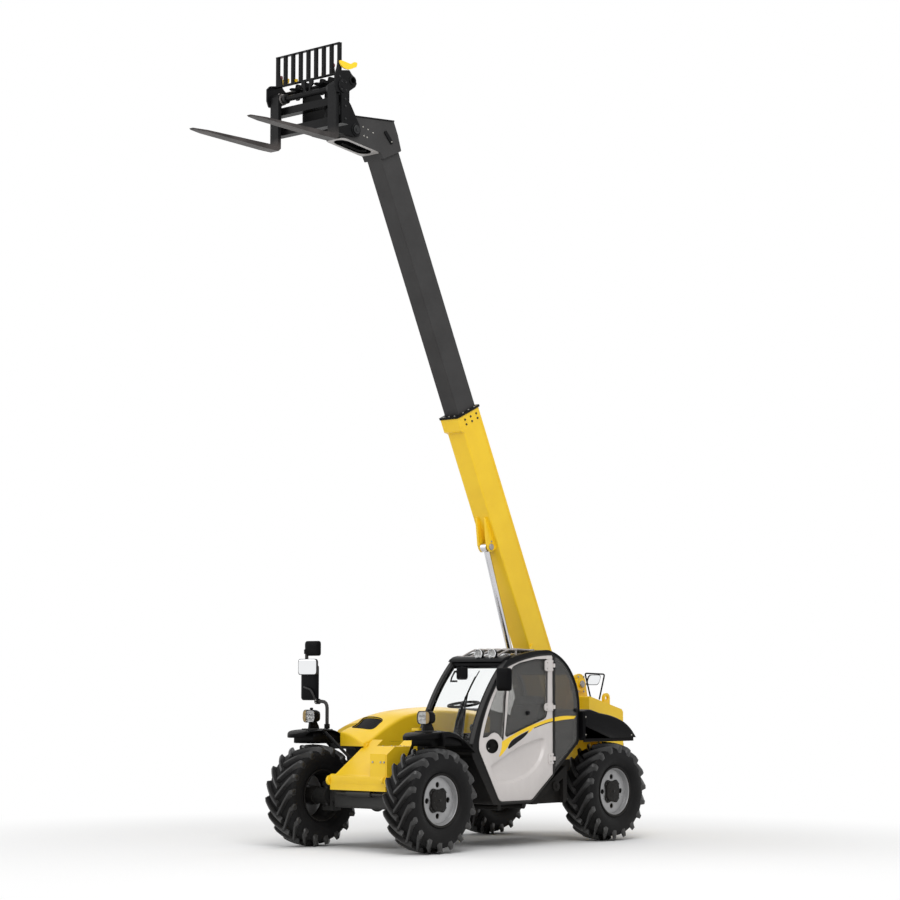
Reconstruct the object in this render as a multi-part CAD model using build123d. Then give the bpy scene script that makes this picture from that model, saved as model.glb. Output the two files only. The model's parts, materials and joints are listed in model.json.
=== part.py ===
from build123d import *
import math
import os

# Telehandler with its boom raised and run out, parked on its wheels. Millimetres.
# Z is up, the machine drives towards -Y, and its cab stands on the +X side.
# Sizes below are measured from the front axle (y = 0) and from the ground (z = 0).
# At the end every piece is moved so that the origin is the middle of the footprint.

# ---- driving sizes: wheels and axles ----
WHEELBASE = 2810
TRACK = 1700
TYRE_R = 535
TYRE_W = 400
TYRE_WALL = 30
RIM_R = 254              # bead seat
RIM_FLANGE_R = 274
RIM_W = 325
DISC_X = 45              # wheel disc, outboard of the wheel's middle plane
HUB_R = 122
HUB_OUT = 140            # how far the hub stands outboard of the middle plane
KINGPIN_X = 620
KINGPIN_R = 28
SPINDLE_R = 45
KNUCKLE_R = 85
AXLE_TUBE_R = 75
AXLE_BOX = 400           # half length of the axle's box beam
AXLE_HALF = 110          # half width of that beam, and half height two more
DIFF_R = 150
AXLE_Z = 535             # axle centres as drawn; the machine is lifted to its tyres' radius at the end
FIT = 0.08               # running clearance on a radius
SEAT = 0.3               # gap between pieces that are seated on each other

# ---- driving sizes: boom ----
BOOM_ANGLE = 65          # above level, as it stands
PIVOT_Y = WHEELBASE + 420
PIVOT_Z = 1700
PIVOT_R = 45
BOOM_W = 250
BOOM_H = 345
BOOM_DROP = 398          # from the pivot down to the boom's centre line
BOOM_FRONT = 3473        # pivot to the collar's face
BOOM_BACK = 120
BOOM_WALL = 10
COLLAR_LEN = 170
COLLAR_STEP = 40         # how far the collar stands below the box
FLANGE_T = 22
PAD_SIDE = 12            # room for the wear pads beside the inner box
PAD_HIGH = 11            # and above and below it
INNER_SAG = 4            # the inner box hangs this much below the outer box's centre
INNER_W = BOOM_W - 2 * (BOOM_WALL + PAD_SIDE)
INNER_H = BOOM_H - 2 * (BOOM_WALL + PAD_HIGH)
INNER_DROP = BOOM_DROP + INNER_SAG
INNER_WALL = 8
INNER_BACK = 2880        # inner boom's rear end, run out
INNER_FRONT = 6560
HEAD_HALF = 140
TILT_F = 6770            # tilt pivot along the boom
TILT_B = -866            # and below the boom pivot's line
TILT_R = 32

# ---- driving sizes: lift cylinder ----
CYL_BASE_Y = WHEELBASE - 150
CYL_BASE_Z = 800
CYL_PIN_R = 25
CYL_EYE_R = 52
CYL_EYE_HALF = 62
CYL_R = 60
CYL_LEN = 1318           # base pin to the gland's face
GLAND = 40
PISTON = 30
ROD_R = 34
ROD_LEN = 1290
LUG_F = 1957             # rod pin along the boom
LUG_B = -640

# ---- driving sizes: carriage and forks (forward and up from the tilt pivot) ----
FORK_X = 425
FORK_W = 120
FORK_T = 42
FORK_LEN = 1150
FORK_FACE = 605          # tilt pivot to the forks' front face
FORK_UNDER = -240        # tilt pivot down to the blades' underside
FORK_HEEL = 55
FORK_TIP = 12
SHAFT_R = 30
SHAFT_F = 530
SHAFT_U = 315
SLIDE_GAP = 1            # fork eye on its shaft
TUBE_F = 392             # coupler tube, forward of the tilt pivot and above it
TUBE_U = 395
TUBE_R = 38
GUARD_W = 942
GUARD_FACE = 526
GUARD_TOP = 780
GUARD_LOW = 455
GUARD_BARS = 9
BAR_W = 35

# ---- driving sizes: cab ----
CAB_IN = 190
CAB_OUT = 980
CAB_WALL = 42
CAB_RIM = 40             # front, roof, rear and floor walls
CAB_POST = 55            # windscreen posts, in from the cab's sides
DOOR_BACK = 1795
DOOR_GAP = 6
HINGE_X = 994
HINGES_Z = (915, 1460, 1900)
GLASS_T = 6
GLASS_IN = 18            # panes, in from the cab's outer skin
QUARTER_POST = 25

# ---- driving sizes: frame and bodywork ----
RAIL_IN = 150
RAIL_T = 15
RAIL_LOW = 560
CAB_LOW = 457
POD_LOW = 620
POD_TOP = 1094
RAIL_TOP = 860
NOSE_Y = -180
NOSE_HALF = 400
NOSE_LOW = 610
NOSE_SILL = 755
DECK_HALF = 335
DECK_BACK = 357
DECK_SLOPE = 0.68
DECK_T = 12
CHEEK_BACK = 235
SLOT_HALF = 155          # notch in the deck for the lowered boom
BOX_IN = 180
BOX_OUT = 415
REAR_Y = WHEELBASE + 830
HITCH = 60
TANK_OUT = 470           # rear boxes, from the middle of the machine
STEP_OUT = 950           # side tank's outer face
MIRROR_REACH = 1270
HOOD_IN = -310
HOOD_OUT = -985
HOOD_STEP = -645         # the hood's front is this wide, to clear the guard
SHEET = 12
GUARD_IN = 660
GUARD_OUT = 1040
GUARD_SKIN = 10
LAMP_X = 800

TYRE_TOP = AXLE_Z + TYRE_R
RAIL_OUT = RAIL_IN + RAIL_T
FORK_TIP_Y = PIVOT_Y - (TILT_F * math.cos(math.radians(BOOM_ANGLE))
                        - TILT_B * math.sin(math.radians(BOOM_ANGLE))) - FORK_FACE - FORK_LEN
TILT_Y = FORK_TIP_Y + FORK_FACE + FORK_LEN
TILT_Z = PIVOT_Z + (TILT_F * math.sin(math.radians(BOOM_ANGLE))
                    + TILT_B * math.cos(math.radians(BOOM_ANGLE)))
MID_Y = (FORK_TIP_Y + REAR_Y + HITCH) / 2

pieces = {}


# ---- shapes used by many pieces ----
def block(x, y, z):
    """Box between a low and a high value on each axis."""
    middle = [(low + high) / 2 for low, high in (x, y, z)]
    size = [high - low for low, high in (x, y, z)]
    return Pos(*middle) * Box(*size)


def side_plate(points, x, radius=0):
    """Plate whose outline lies in the side view (y, z), from one x to another."""
    face = make_face(Polyline(*points, close=True))
    if radius:
        face = fillet(face.vertices(), radius)
    return extrude(Plane.YZ.offset(x[0]) * face, x[1] - x[0], dir=(1, 0, 0))


def bar_x(y, z, radius, x):
    """Round bar along X."""
    return Pos((x[0] + x[1]) / 2, y, z) * Rot(0, 90, 0) * Cylinder(radius, x[1] - x[0])


def bar_z(x, y, radius, z):
    """Round bar along Z."""
    return Pos(x, y, (z[0] + z[1]) / 2) * Cylinder(radius, z[1] - z[0])


def bar(start, end, radius):
    """Round bar from one point to another."""
    start, end = Vector(*start), Vector(*end)
    plane = Plane(origin=start, z_dir=end - start)
    return extrude(plane * Circle(radius), (end - start).length)


def bent_tube(points, radius, bend):
    """Round tube along straight runs joined by bends."""
    path = FilletPolyline(*points, radius=bend)
    return sweep(Plane(origin=path @ 0, z_dir=path % 0) * Circle(radius), path)


def mirrored(shape):
    """The same piece on the machine's other side."""
    return mirror(shape, about=Plane.YZ)


def on_boom(shape):
    """Move a piece drawn on a level boom, its pivot at the origin, to the raised boom."""
    return Pos(0, PIVOT_Y, PIVOT_Z) * Rot(-BOOM_ANGLE, 0, 0) * shape


def boom_plate(points, x, radius=0):
    """Plate on the level boom from (forward, up) points about the boom pivot."""
    return side_plate([(-forward, up) for forward, up in points], x, radius)


def on_carriage(forward, up):
    """Side-view point from the tilt pivot."""
    return (TILT_Y - forward, TILT_Z + up)


def carriage_plate(points, x, radius=0):
    """Plate on the carriage from (forward, up) points about the tilt pivot."""
    return side_plate([on_carriage(*point) for point in points], x, radius)


def both_ways(x):
    """The two x ranges of a pair of plates, left and right."""
    return [(x[0], x[1]), (-x[1], -x[0])]


# ---- wheels, knuckles and axles ----
def tyre():
    """Open casing with a crowned tread, its middle plane at x = 0."""
    half = RIM_W / 2 - 12.5
    bead = RIM_FLANGE_R + 2
    belly = TYRE_W / 2
    tread = belly - 22
    crown = TYRE_R - 34
    outer = [Line((half, RIM_R), (half, bead)),
             ThreePointArc((half, bead), (belly, 395), (tread, crown)),
             ThreePointArc((tread, crown), (0, TYRE_R), (-tread, crown)),
             ThreePointArc((-tread, crown), (-belly, 395), (-half, bead)),
             Line((-half, bead), (-half, RIM_R)),
             Line((-half, RIM_R), (half, RIM_R))]
    casing = revolve(make_face(outer), Axis.X, 360)
    inside = belly - TYRE_WALL
    inner = [Line((-half + TYRE_WALL, RIM_R - 1), (half - TYRE_WALL, RIM_R - 1)),
             ThreePointArc((half - TYRE_WALL, RIM_R - 1), (inside, 395),
                           (tread - TYRE_WALL, crown - TYRE_WALL)),
             Line((tread - TYRE_WALL, crown - TYRE_WALL), (TYRE_WALL - tread, crown - TYRE_WALL)),
             ThreePointArc((TYRE_WALL - tread, crown - TYRE_WALL), (-inside, 395),
                           (-half + TYRE_WALL, RIM_R - 1))]
    return casing - revolve(make_face(inner), Axis.X, 360)


def rim():
    """Welded rim with its dished disc and the planetary hub, bored for the spindle."""
    half = RIM_W / 2
    seat = RIM_R - SEAT
    barrel = [(-half, RIM_FLANGE_R), (-half + 9, RIM_FLANGE_R), (-half + 11, seat), (half - 11, seat),
              (half - 9, RIM_FLANGE_R), (half, RIM_FLANGE_R), (half, seat - 10), (DISC_X + 40, seat - 10),
              (DISC_X + 12, seat - 34), (DISC_X + 12, HUB_R - 4), (DISC_X, HUB_R - 4),
              (DISC_X, seat - 30), (DISC_X + 26, seat - 10), (-half, seat - 10)]
    hub = [(-80, 0), (-80, 100), (-60, HUB_R - 14), (DISC_X, HUB_R - 14), (DISC_X, HUB_R),
           (HUB_OUT - 32, HUB_R), (HUB_OUT - 22, HUB_R - 12), (HUB_OUT - 20, 70),
           (HUB_OUT, 58), (HUB_OUT, 0)]
    body = revolve(make_face(Polyline(*barrel, close=True)), Axis.X, 360)
    body += revolve(make_face(Polyline(*hub, close=True)), Axis.X, 360)
    for turn in (90, 270):
        body -= Rot(turn, 0, 0) * Pos(DISC_X, 0, (HUB_R + RIM_R) / 2 - 4) * Rot(0, 90, 0) * Cylinder(17, 60)
    return body - bar_x(0, 0, SPINDLE_R + FIT, (-90, 20))


def knuckle():
    """Swivel housing about the kingpin axis at the origin, with its spindle outboard."""
    wheel_x = TRACK / 2 - KINGPIN_X
    body = bar_x(0, 0, KNUCKLE_R, (-38, 100))
    body += bar_x(0, 0, 78, (100, wheel_x - 82))
    body += bar_x(0, 0, SPINDLE_R, (100, wheel_x + 10))
    body += bar_z(0, 0, 40, (-100, 100))
    return body + bar_z(0, 0, KINGPIN_R, (-152, 152))


def axle():
    """Rigid axle about its own centre: box beam with its gear casing, and a yoke at each end."""
    yoke_in = KINGPIN_X - 135
    beam = Box(2 * AXLE_BOX, 2 * AXLE_HALF, 2 * AXLE_HALF + 4)
    beam = fillet(beam.edges().filter_by(Axis.X), 30)
    beam += bar_x(0, 0, AXLE_TUBE_R, (-yoke_in, yoke_in))
    for flange in both_ways((AXLE_BOX, AXLE_BOX + 18)):
        beam += bar_x(0, 0, AXLE_HALF - 8, flange)
    cover = Cone(DIFF_R, DIFF_R - 45, 50, align=(Align.CENTER, Align.CENTER, Align.MIN))
    beam += Rot(90, 0, 0) * Pos(0, 0, AXLE_HALF) * cover
    yoke = block((yoke_in - 5, yoke_in + 35), (-62, 62), (-150, 150))
    for low in (-150, 104):
        yoke += block((yoke_in, KINGPIN_X), (-50, 50), (low, low + 46))
        yoke += bar_z(KINGPIN_X, 0, 50, (low, low + 46))
    yoke -= bar_z(KINGPIN_X, 0, KINGPIN_R + FIT, (-160, 160))
    return beam + yoke + mirrored(yoke)


def steering_ram():
    """Double-ended steering cylinder along the axle, with its two brackets."""
    y = AXLE_HALF + 36
    body = bar_x(y, 40, 32, (-170, 170)) + bar_x(y, 40, 16, (-330, 330))
    for x in both_ways((60, 90)):
        body += block(x, (AXLE_HALF - 4, y), (20, 60))
    return body


for axle_name, axle_y in (("front", 0), ("rear", WHEELBASE)):
    beam = axle() + steering_ram()
    if axle_name == "front":
        beam = mirror(beam, about=Plane.XZ)
    pieces[axle_name + "_axle"] = Pos(0, axle_y, AXLE_Z) * beam
    for side_name, side in (("left", 1), ("right", -1)):
        corner = axle_name + "_" + side_name
        swivel, casing, wheel = knuckle(), tyre(), rim()
        if side == -1:
            swivel, casing, wheel = mirrored(swivel), mirrored(casing), mirrored(wheel)
        pieces[corner + "_knuckle"] = Pos(side * KINGPIN_X, axle_y, AXLE_Z) * swivel
        pieces[corner + "_tyre"] = Pos(side * TRACK / 2, axle_y, AXLE_Z) * casing
        pieces[corner + "_rim"] = Pos(side * TRACK / 2, axle_y, AXLE_Z) * wheel


# ---- frame, boom towers and bodywork ----
def deck_under(y):
    """Height of the sloped deck's underside at one y."""
    return NOSE_SILL - DECK_T + DECK_SLOPE * (y - NOSE_Y)


def deck_level(z):
    """Where along the machine the deck's underside has one height."""
    return NOSE_Y + (z - NOSE_SILL + DECK_T) / DECK_SLOPE


def main_frame():
    """Two rails under the boom, their cross plates, axle saddles, cab and engine carriers."""
    back = REAR_Y - 20
    front = NOSE_Y + 30 + SEAT
    over = AXLE_Z + 165
    rail = [(front, over), (front, deck_under(front) - SEAT), (deck_level(RAIL_TOP + SEAT), RAIL_TOP),
            (back, RAIL_TOP), (back, RAIL_LOW), (WHEELBASE + 260, RAIL_LOW), (WHEELBASE + 190, over),
            (WHEELBASE - 190, over), (WHEELBASE - 260, RAIL_LOW), (260, RAIL_LOW), (190, over)]
    frame = None
    for x in both_ways((RAIL_IN, RAIL_OUT)):
        plate = side_plate(rail, x)
        frame = plate if frame is None else frame + plate
    span = (-RAIL_IN, RAIL_IN)
    for y, z in (((front, front + 15), (over, deck_under(front) - SEAT)),
                 ((420, 440), (RAIL_LOW, RAIL_TOP - 20)), ((1020, 1040), (RAIL_LOW, RAIL_TOP - 20)),
                 ((back - 20, back), (RAIL_LOW, RAIL_TOP))):
        frame += block(span, y, z)
    frame += block(span, (300, WHEELBASE - 360), (RAIL_LOW, RAIL_LOW + 12))
    frame += block(span, (CYL_BASE_Y - 130, CYL_BASE_Y + 110), (over, over + 15))
    for x in both_ways((CYL_EYE_HALF + 2, CYL_EYE_HALF + 22)):
        lug = block(x, (CYL_BASE_Y - 70, CYL_BASE_Y + 70), (over + 10, CYL_BASE_Z))
        frame += lug + bar_x(CYL_BASE_Y, CYL_BASE_Z, 70, x)
    frame += bar_x(CYL_BASE_Y, CYL_BASE_Z, CYL_PIN_R, (-CYL_EYE_HALF - 36, CYL_EYE_HALF + 36))
    beam_top = AXLE_Z + AXLE_HALF + 2 + SEAT
    for y in (0, WHEELBASE):
        for x in both_ways((RAIL_IN - 20, RAIL_IN + 50)):
            frame += block(x, (y - 72, y + 72), (beam_top, over + 7))
    for y in (1010, 1400):
        frame += bar_x(y, CAB_LOW - 30 - SEAT, 30, (60, 900))
        frame += block((60, 110), (y - 40, y + 40), (CAB_LOW - 45, RAIL_LOW + 6))
    for y in (1000, 1950):
        frame += block((HOOD_OUT + 60, -RAIL_IN), (y - 40, y + 40), (RAIL_LOW, POD_LOW - SEAT))
    return frame


def boom_support():
    """Two towers with the boom's pin, bolted over the rear of the rails."""
    low = RAIL_TOP + SEAT
    tower = [(PIVOT_Y - 620, low), (PIVOT_Y - 300, 1330), (PIVOT_Y - 118, PIVOT_Z),
             (PIVOT_Y + 118, PIVOT_Z), (PIVOT_Y + 200, 1330), (PIVOT_Y + 230, low)]
    support = bar_x(PIVOT_Y, PIVOT_Z, PIVOT_R, (-RAIL_OUT - 40, RAIL_OUT + 40))
    for x in both_ways((BOOM_W / 2 + 12, max(RAIL_OUT, BOOM_W / 2 + 40))):
        support += side_plate(tower, x) + bar_x(PIVOT_Y, PIVOT_Z, 118, x)
    for x in both_ways((RAIL_OUT - 1, RAIL_OUT + 25)):
        support += bar_x(PIVOT_Y, PIVOT_Z, 80, x)
    return support


def front_nose():
    """Front sill with an eye at each end, sloped deck notched for the boom, and the bolted box."""
    nose = block((-NOSE_HALF, NOSE_HALF), (NOSE_Y, NOSE_Y + 30), (NOSE_LOW, NOSE_SILL))
    deck = [(NOSE_Y, deck_under(NOSE_Y)), (NOSE_Y, NOSE_SILL), (DECK_BACK, deck_under(DECK_BACK) + DECK_T),
            (DECK_BACK, deck_under(DECK_BACK))]
    nose += side_plate(deck, (-DECK_HALF, DECK_HALF))
    nose -= block((-SLOT_HALF, SLOT_HALF), (265, 400), (900, 1200))
    nose -= block((-DECK_HALF - 5, HOOD_IN + 5), (CHEEK_BACK, 400), (900, 1200))
    cheek = [(NOSE_Y, NOSE_LOW), (NOSE_Y, NOSE_SILL), (CHEEK_BACK, deck_under(CHEEK_BACK) + 2),
             (CHEEK_BACK, 950), (200, 820), (-AXLE_HALF, AXLE_Z + AXLE_HALF + 25),
             (-AXLE_HALF - 20, NOSE_LOW)]
    for x in both_ways((DECK_HALF - 14, DECK_HALF)):
        nose += side_plate(cheek, x)
    box = [(NOSE_Y + 5, 700), (NOSE_Y + 5, 987), (-60, 1065), (280, 1065), (280, 900)]
    inside = [(NOSE_Y + 17, 660), (NOSE_Y + 17, 979), (-56, 1053), (268, 1053), (268, 860)]
    nose += side_plate(box, (BOX_IN, BOX_OUT), 12) - side_plate(inside, (BOX_IN + SHEET, BOX_OUT - SHEET))
    ear = (NOSE_Y + 15, NOSE_SILL - 48)
    for x in both_ways((NOSE_HALF - 1, NOSE_HALF + 29)):
        nose += bar_x(*ear, 50, x)
    return nose - bar_x(*ear, 22, (-NOSE_HALF - 40, NOSE_HALF + 40))


# side view of the boxes behind the rear guards
BOX_FACE = WHEELBASE + 220
REAR_BOX = ((BOX_FACE, 1120), (BOX_FACE, 1569), (REAR_Y - 25, 1418), (REAR_Y, 1388), (REAR_Y, 1040),
            (BOX_FACE + 370, 1040))


def rear_body():
    """Two sloped tank boxes beside the towers, joined by the rear counterweight, and the hitch."""
    inner = max(RAIL_OUT, BOOM_W / 2 + 40) + 5
    body = block((-TANK_OUT, TANK_OUT), (REAR_Y - 170, REAR_Y), (RAIL_TOP + 20, 1100))
    body = fillet(body.edges().filter_by(Axis.Z), 30)
    for x in both_ways((inner, TANK_OUT)):
        body += side_plate(REAR_BOX, x, 12)
        body += block(x, (REAR_Y - 200, REAR_Y), (600, 1100))
        lug = (x[1] - 90, x[1] - 60) if x[0] > 0 else (x[0] + 60, x[0] + 90)
        eye = (REAR_Y - 218, 1545)
        body += bar_x(*eye, 55, lug) + block(lug, (eye[0] - 55, eye[0] + 55), (1420, eye[1]))
        body -= bar_x(*eye, 26, (lug[0] - 1, lug[1] + 1))
    for z in (600, 700):
        body += bar_z(0, REAR_Y, HITCH, (z, z + 22)) & block(
            (-HITCH, HITCH), (REAR_Y - 19, REAR_Y + HITCH), (0, 3000))
    body += block((-80, 80), (REAR_Y - 20 + SEAT, REAR_Y), (590, 900))
    return body - bar_z(0, REAR_Y + 22, 16, (590, 730))


def hood_section(y, low, crease, top, right):
    """Cross section of the engine hood at one y: flat left side, crowned top, round right edge."""
    left, far, crest = HOOD_IN, HOOD_OUT, (HOOD_IN + HOOD_OUT) / 2
    edges = [Line((left, low), (left, crease)),
             ThreePointArc((left, crease), (crest, top), (far, right)),
             Line((far, right), (far, low)), Line((far, low), (left, low))]
    return Plane(origin=(0, y, 0), x_dir=(1, 0, 0), z_dir=(0, -1, 0)) * make_face(edges)


# y, underside, left crease, crest and right shoulder of each hood section
HOOD_SECTIONS = ((215, 1050, 1075, 1195, 1130),
                 (340, 1065, 1118, 1240, 1165),
                 (460, 1078, 1187, 1270, 1190),
                 (620, POD_TOP + SEAT, 1265, 1345, 1225),
                 (880, POD_TOP + SEAT, 1362, 1407, 1255),
                 (1270, POD_TOP + SEAT, 1410, 1437, 1270),
                 (1700, POD_TOP + SEAT, 1400, 1440, 1270),
                 (WHEELBASE - 570, POD_TOP + SEAT, 1330, 1400, 1230))


def engine_hood():
    """Crowned hood from sheet, open underneath, with the air opening in its front slope."""
    first, last = HOOD_SECTIONS[0][0], HOOD_SECTIONS[-1][0]
    outer = loft([hood_section(*row) for row in HOOD_SECTIONS], ruled=True)
    inner = loft([hood_section(y + (SHEET if y == first else -SHEET if y == last else 0), low - 40,
                               crease - 2 * SHEET, top - 2 * SHEET, right - 2 * SHEET)
                  for y, low, crease, top, right in HOOD_SECTIONS], ruled=True)
    inner &= block((HOOD_OUT + SHEET, HOOD_IN - SHEET), (0, last), (0, 3000))
    step = (HOOD_OUT - 5, HOOD_STEP), (0, 500)
    outer -= block(*step, (0, 3000))
    inner -= block((HOOD_OUT - 5, HOOD_STEP + SHEET), (0, 500 + SHEET), (0, 3000))
    opening = make_face(Polyline((-400, 450), (-420, 645), (-690, 625), (-670, 530), (-622, 350), close=True))
    opening = fillet(opening.vertices(), 24)
    return outer - inner - extrude(Plane.XY.offset(1090) * opening, 400)


def engine_pod():
    """Lower engine casing between the wheels on the right, open at the top."""
    back = WHEELBASE - 610
    outline = [(700, POD_LOW), (640, 1000), (640, POD_TOP), (back, POD_TOP), (back, 900),
               (back - 120, POD_LOW)]
    pod = side_plate(outline, (HOOD_OUT, HOOD_IN))
    floor = POD_LOW + SHEET
    inside = [(714, floor), (654, 1005), (654, 1120), (back - 14, 1120), (back - 14, 905),
              (back - 128, floor)]
    return pod - side_plate(inside, (HOOD_OUT + SHEET, HOOD_IN - SHEET))


def side_tank():
    """Tank with a step in its face, slung on the left rail under the cab's sloped rear."""
    tank = side_plate([(1475, 440), (1475, 480), (2041, 839), (2056, 800), (2056, 470), (2020, 440)],
                      (RAIL_OUT + SEAT, STEP_OUT), 12)
    step = side_plate([(1560, 430), (1560, 475), (1990, 700), (1990, 430)], (STEP_OUT - 60, STEP_OUT + 1))
    return tank - step


# front guards: (y, height above the tyre's top) of the crown, and of the outer lip's edge
GUARD_CROWN = ((-390, 80), (-360, 105), (-200, 145), (0, 158), (150, 152), (320, 80), (440, -5), (480, -60))
GUARD_LIP = ((480, -75), (320, 25), (150, 58), (0, 45), (-150, 31), (-390, 45))


def guard_level(y):
    """Height of the front mudguards' crown at one y."""
    for (start, low), (end, high) in zip(GUARD_CROWN, GUARD_CROWN[1:]):
        if start <= y <= end:
            return TYRE_TOP + low + (high - low) * (y - start) / (end - start)


def front_mudguard(side, foot_x):
    """Leaf-shaped front guard with a turned-down lip, on a diagonal stay from the nose."""
    crown = [(y, TYRE_TOP + up) for y, up in GUARD_CROWN]
    under = [(y, z - GUARD_SKIN) for y, z in crown[1:-1]]
    skin = side_plate(crown + [(470, TYRE_TOP - 64)] + under[::-1] + [(-378, TYRE_TOP + 80)],
                      (GUARD_IN, GUARD_OUT))
    plan = make_face(Polyline((GUARD_IN, 490), (GUARD_IN, -100), (710, -270), (800, -390), (910, -350),
                              (1005, -240), (GUARD_OUT, -120), (GUARD_OUT, 490), close=True))
    plan = fillet(plan.vertices().filter_by(lambda corner: corner.Y < 0), 60)
    leaf = extrude(Plane.XY.offset(AXLE_Z) * plan, 2 * TYRE_R)
    rim = leaf - extrude(Plane.XY.offset(AXLE_Z) * offset(plan, -GUARD_SKIN), 2 * TYRE_R)
    lip = [(y, z) for y, z in crown] + [(y, TYRE_TOP + up) for y, up in GUARD_LIP]
    rim &= side_plate(lip, (GUARD_IN + 60, GUARD_OUT))
    guard = (skin & leaf) + (rim & block((GUARD_IN, GUARD_OUT), (-400, 478), (0, 3000)))
    top = (GUARD_IN + 12, 0, TYRE_TOP + 150)
    foot = (foot_x + 14, 100, 905)
    stay = bar(foot, top, 16) + block((foot_x + SEAT, foot_x + 14), (70, 130), (870, 940))
    stay += bar_x(0, TYRE_TOP + 146, 14, (GUARD_IN, GUARD_IN + 40))
    guard += stay
    return guard if side == 1 else mirrored(guard)


# rear guards: (y from the rear axle, height above the tyre's top) of the crown
REAR_CROWN = ((-565, 48), (-565, 340), (-455, 366), (-283, 322), (-110, 296), (30, 262), (154, 217),
              (260, 150), (330, 83), (358, 48))


def rear_mudguard():
    """Deep rear guard on the left, a moulded shell open underneath."""
    outer = [(WHEELBASE + y, TYRE_TOP + up) for y, up in REAR_CROWN]
    shell = side_plate(outer, (TANK_OUT + SEAT, 1035))
    shell = fillet(shell.faces().sort_by(Axis.X)[-1].edges().filter_by(
        lambda edge: (edge @ 0.5).Z > TYRE_TOP + 60), 18)
    inner = [(y + 10, z - 20) for y, z in outer[:3]] + [(y, z - 13) for y, z in outer[3:6]]
    inner += [(y - 6, z - 12) for y, z in outer[6:9]] + [(outer[9][0] - 13, outer[9][1] - 20)]
    return shell - side_plate(inner, (TANK_OUT + 15, 1025))


pieces["main_frame"] = main_frame()
pieces["boom_support"] = boom_support()
pieces["front_nose"] = front_nose()
pieces["rear_body"] = rear_body()
pieces["engine_hood"] = engine_hood()
pieces["engine_pod"] = engine_pod()
pieces["engine_block"] = block((-880, HOOD_IN - SHEET - 8), (950, 1900), (POD_LOW + SHEET + SEAT, 1250))
pieces["side_tank"] = side_tank()
pieces["front_mudguards"] = [front_mudguard(1, BOX_OUT), front_mudguard(-1, DECK_HALF)]
pieces["rear_mudguards"] = [rear_mudguard(), mirrored(rear_mudguard())]


# ---- boom ----
def outer_boom():
    """Welded box boom with its collar, rear ears and pivot tube, and the lift cylinder's lug."""
    half = BOOM_W / 2
    top = -BOOM_DROP + BOOM_H / 2
    low = -BOOM_DROP - BOOM_H / 2
    skin = Pos(0, -(BOOM_FRONT - BOOM_BACK) / 2, -BOOM_DROP) * Box(BOOM_W, BOOM_FRONT + BOOM_BACK, BOOM_H)
    skin = fillet(skin.edges().filter_by(Axis.Y), 16)
    collar_back = BOOM_FRONT - COLLAR_LEN
    collar = [(collar_back - COLLAR_STEP, low + 12), (collar_back, low - COLLAR_STEP),
              (BOOM_FRONT, low - COLLAR_STEP), (BOOM_FRONT, low + 12)]
    boom = skin + boom_plate(collar, (-half, half))
    flange = block((-half - 12, half + 12), (-BOOM_FRONT, FLANGE_T - BOOM_FRONT),
                   (low - COLLAR_STEP - 8, top + 10))
    boom += fillet(flange.edges().filter_by(Axis.Y), 14)
    boom -= Pos(0, -(BOOM_FRONT - BOOM_BACK) / 2, -BOOM_DROP) * Box(
        BOOM_W - 2 * BOOM_WALL, BOOM_FRONT + BOOM_BACK + 2, BOOM_H - 2 * BOOM_WALL)
    for x in both_ways((half - 3, half + 1)):
        boom -= block(x, (-collar_back, -500), (top - 46, top - 38))
    ear = [(-BOOM_BACK, top - 20), (-95, 0), (95, 0), (420, top - 20)]
    for x in both_ways((half - 30, half)):
        boom += boom_plate(ear, x) + bar_x(0, 0, 95, x)
    boom += bar_x(0, 0, 80, (-half, half))
    boom -= bar_x(0, 0, PIVOT_R + FIT, (-half - 5, half + 5))
    lug = [(LUG_F - 50, low + 5), (LUG_F - 50, LUG_B - 30), (LUG_F + 40, LUG_B - 45),
           (LUG_F + 400, low + 5)]
    for x in both_ways((48, 76)):
        boom += boom_plate(lug, x, 14)
        boom += bar_x(-LUG_F, LUG_B, 44, (x[0], x[1]))
    ram_ear = [(500, low + 60), (560, low - 60), (660, low - 60), (760, low + 60)]
    return boom + boom_plate(ram_ear, (half, half + 22), 20)


def inner_boom():
    """Inner box of the boom, with wear pads that run in the outer box."""
    length = INNER_FRONT - INNER_BACK
    mid = -(INNER_FRONT + INNER_BACK) / 2
    boom = Pos(0, mid, -INNER_DROP) * Box(INNER_W, length, INNER_H)
    boom = fillet(boom.edges().filter_by(Axis.Y), 12)
    boom -= Pos(0, mid, -INNER_DROP) * Box(INNER_W - 2 * INNER_WALL, length + 2, INNER_H - 2 * INNER_WALL)
    pad_x = (INNER_W / 2, BOOM_W / 2 - BOOM_WALL - 0.3)
    for x in both_ways(pad_x):
        boom += block(x, (-INNER_BACK - 160, -INNER_BACK), (-INNER_DROP - 90, -INNER_DROP + 90))
    inner_top = -INNER_DROP + INNER_H / 2
    outer_top = -BOOM_DROP + BOOM_H / 2 - BOOM_WALL
    boom += block((-70, 70), (-INNER_BACK - 160, -INNER_BACK), (inner_top, outer_top - 0.3))
    inner_low = -INNER_DROP - INNER_H / 2
    outer_low = -BOOM_DROP - BOOM_H / 2 + BOOM_WALL
    boom += block((-70, 70), (-INNER_BACK - 160, -INNER_BACK), (outer_low + 0.3, inner_low))
    return boom


# the head's cheeks, along the boom and above its pivot's line, and the slope of its underside
HEAD_BACK = 190
HEAD_TIP = (TILT_F - 40, TILT_B - 146)


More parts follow.
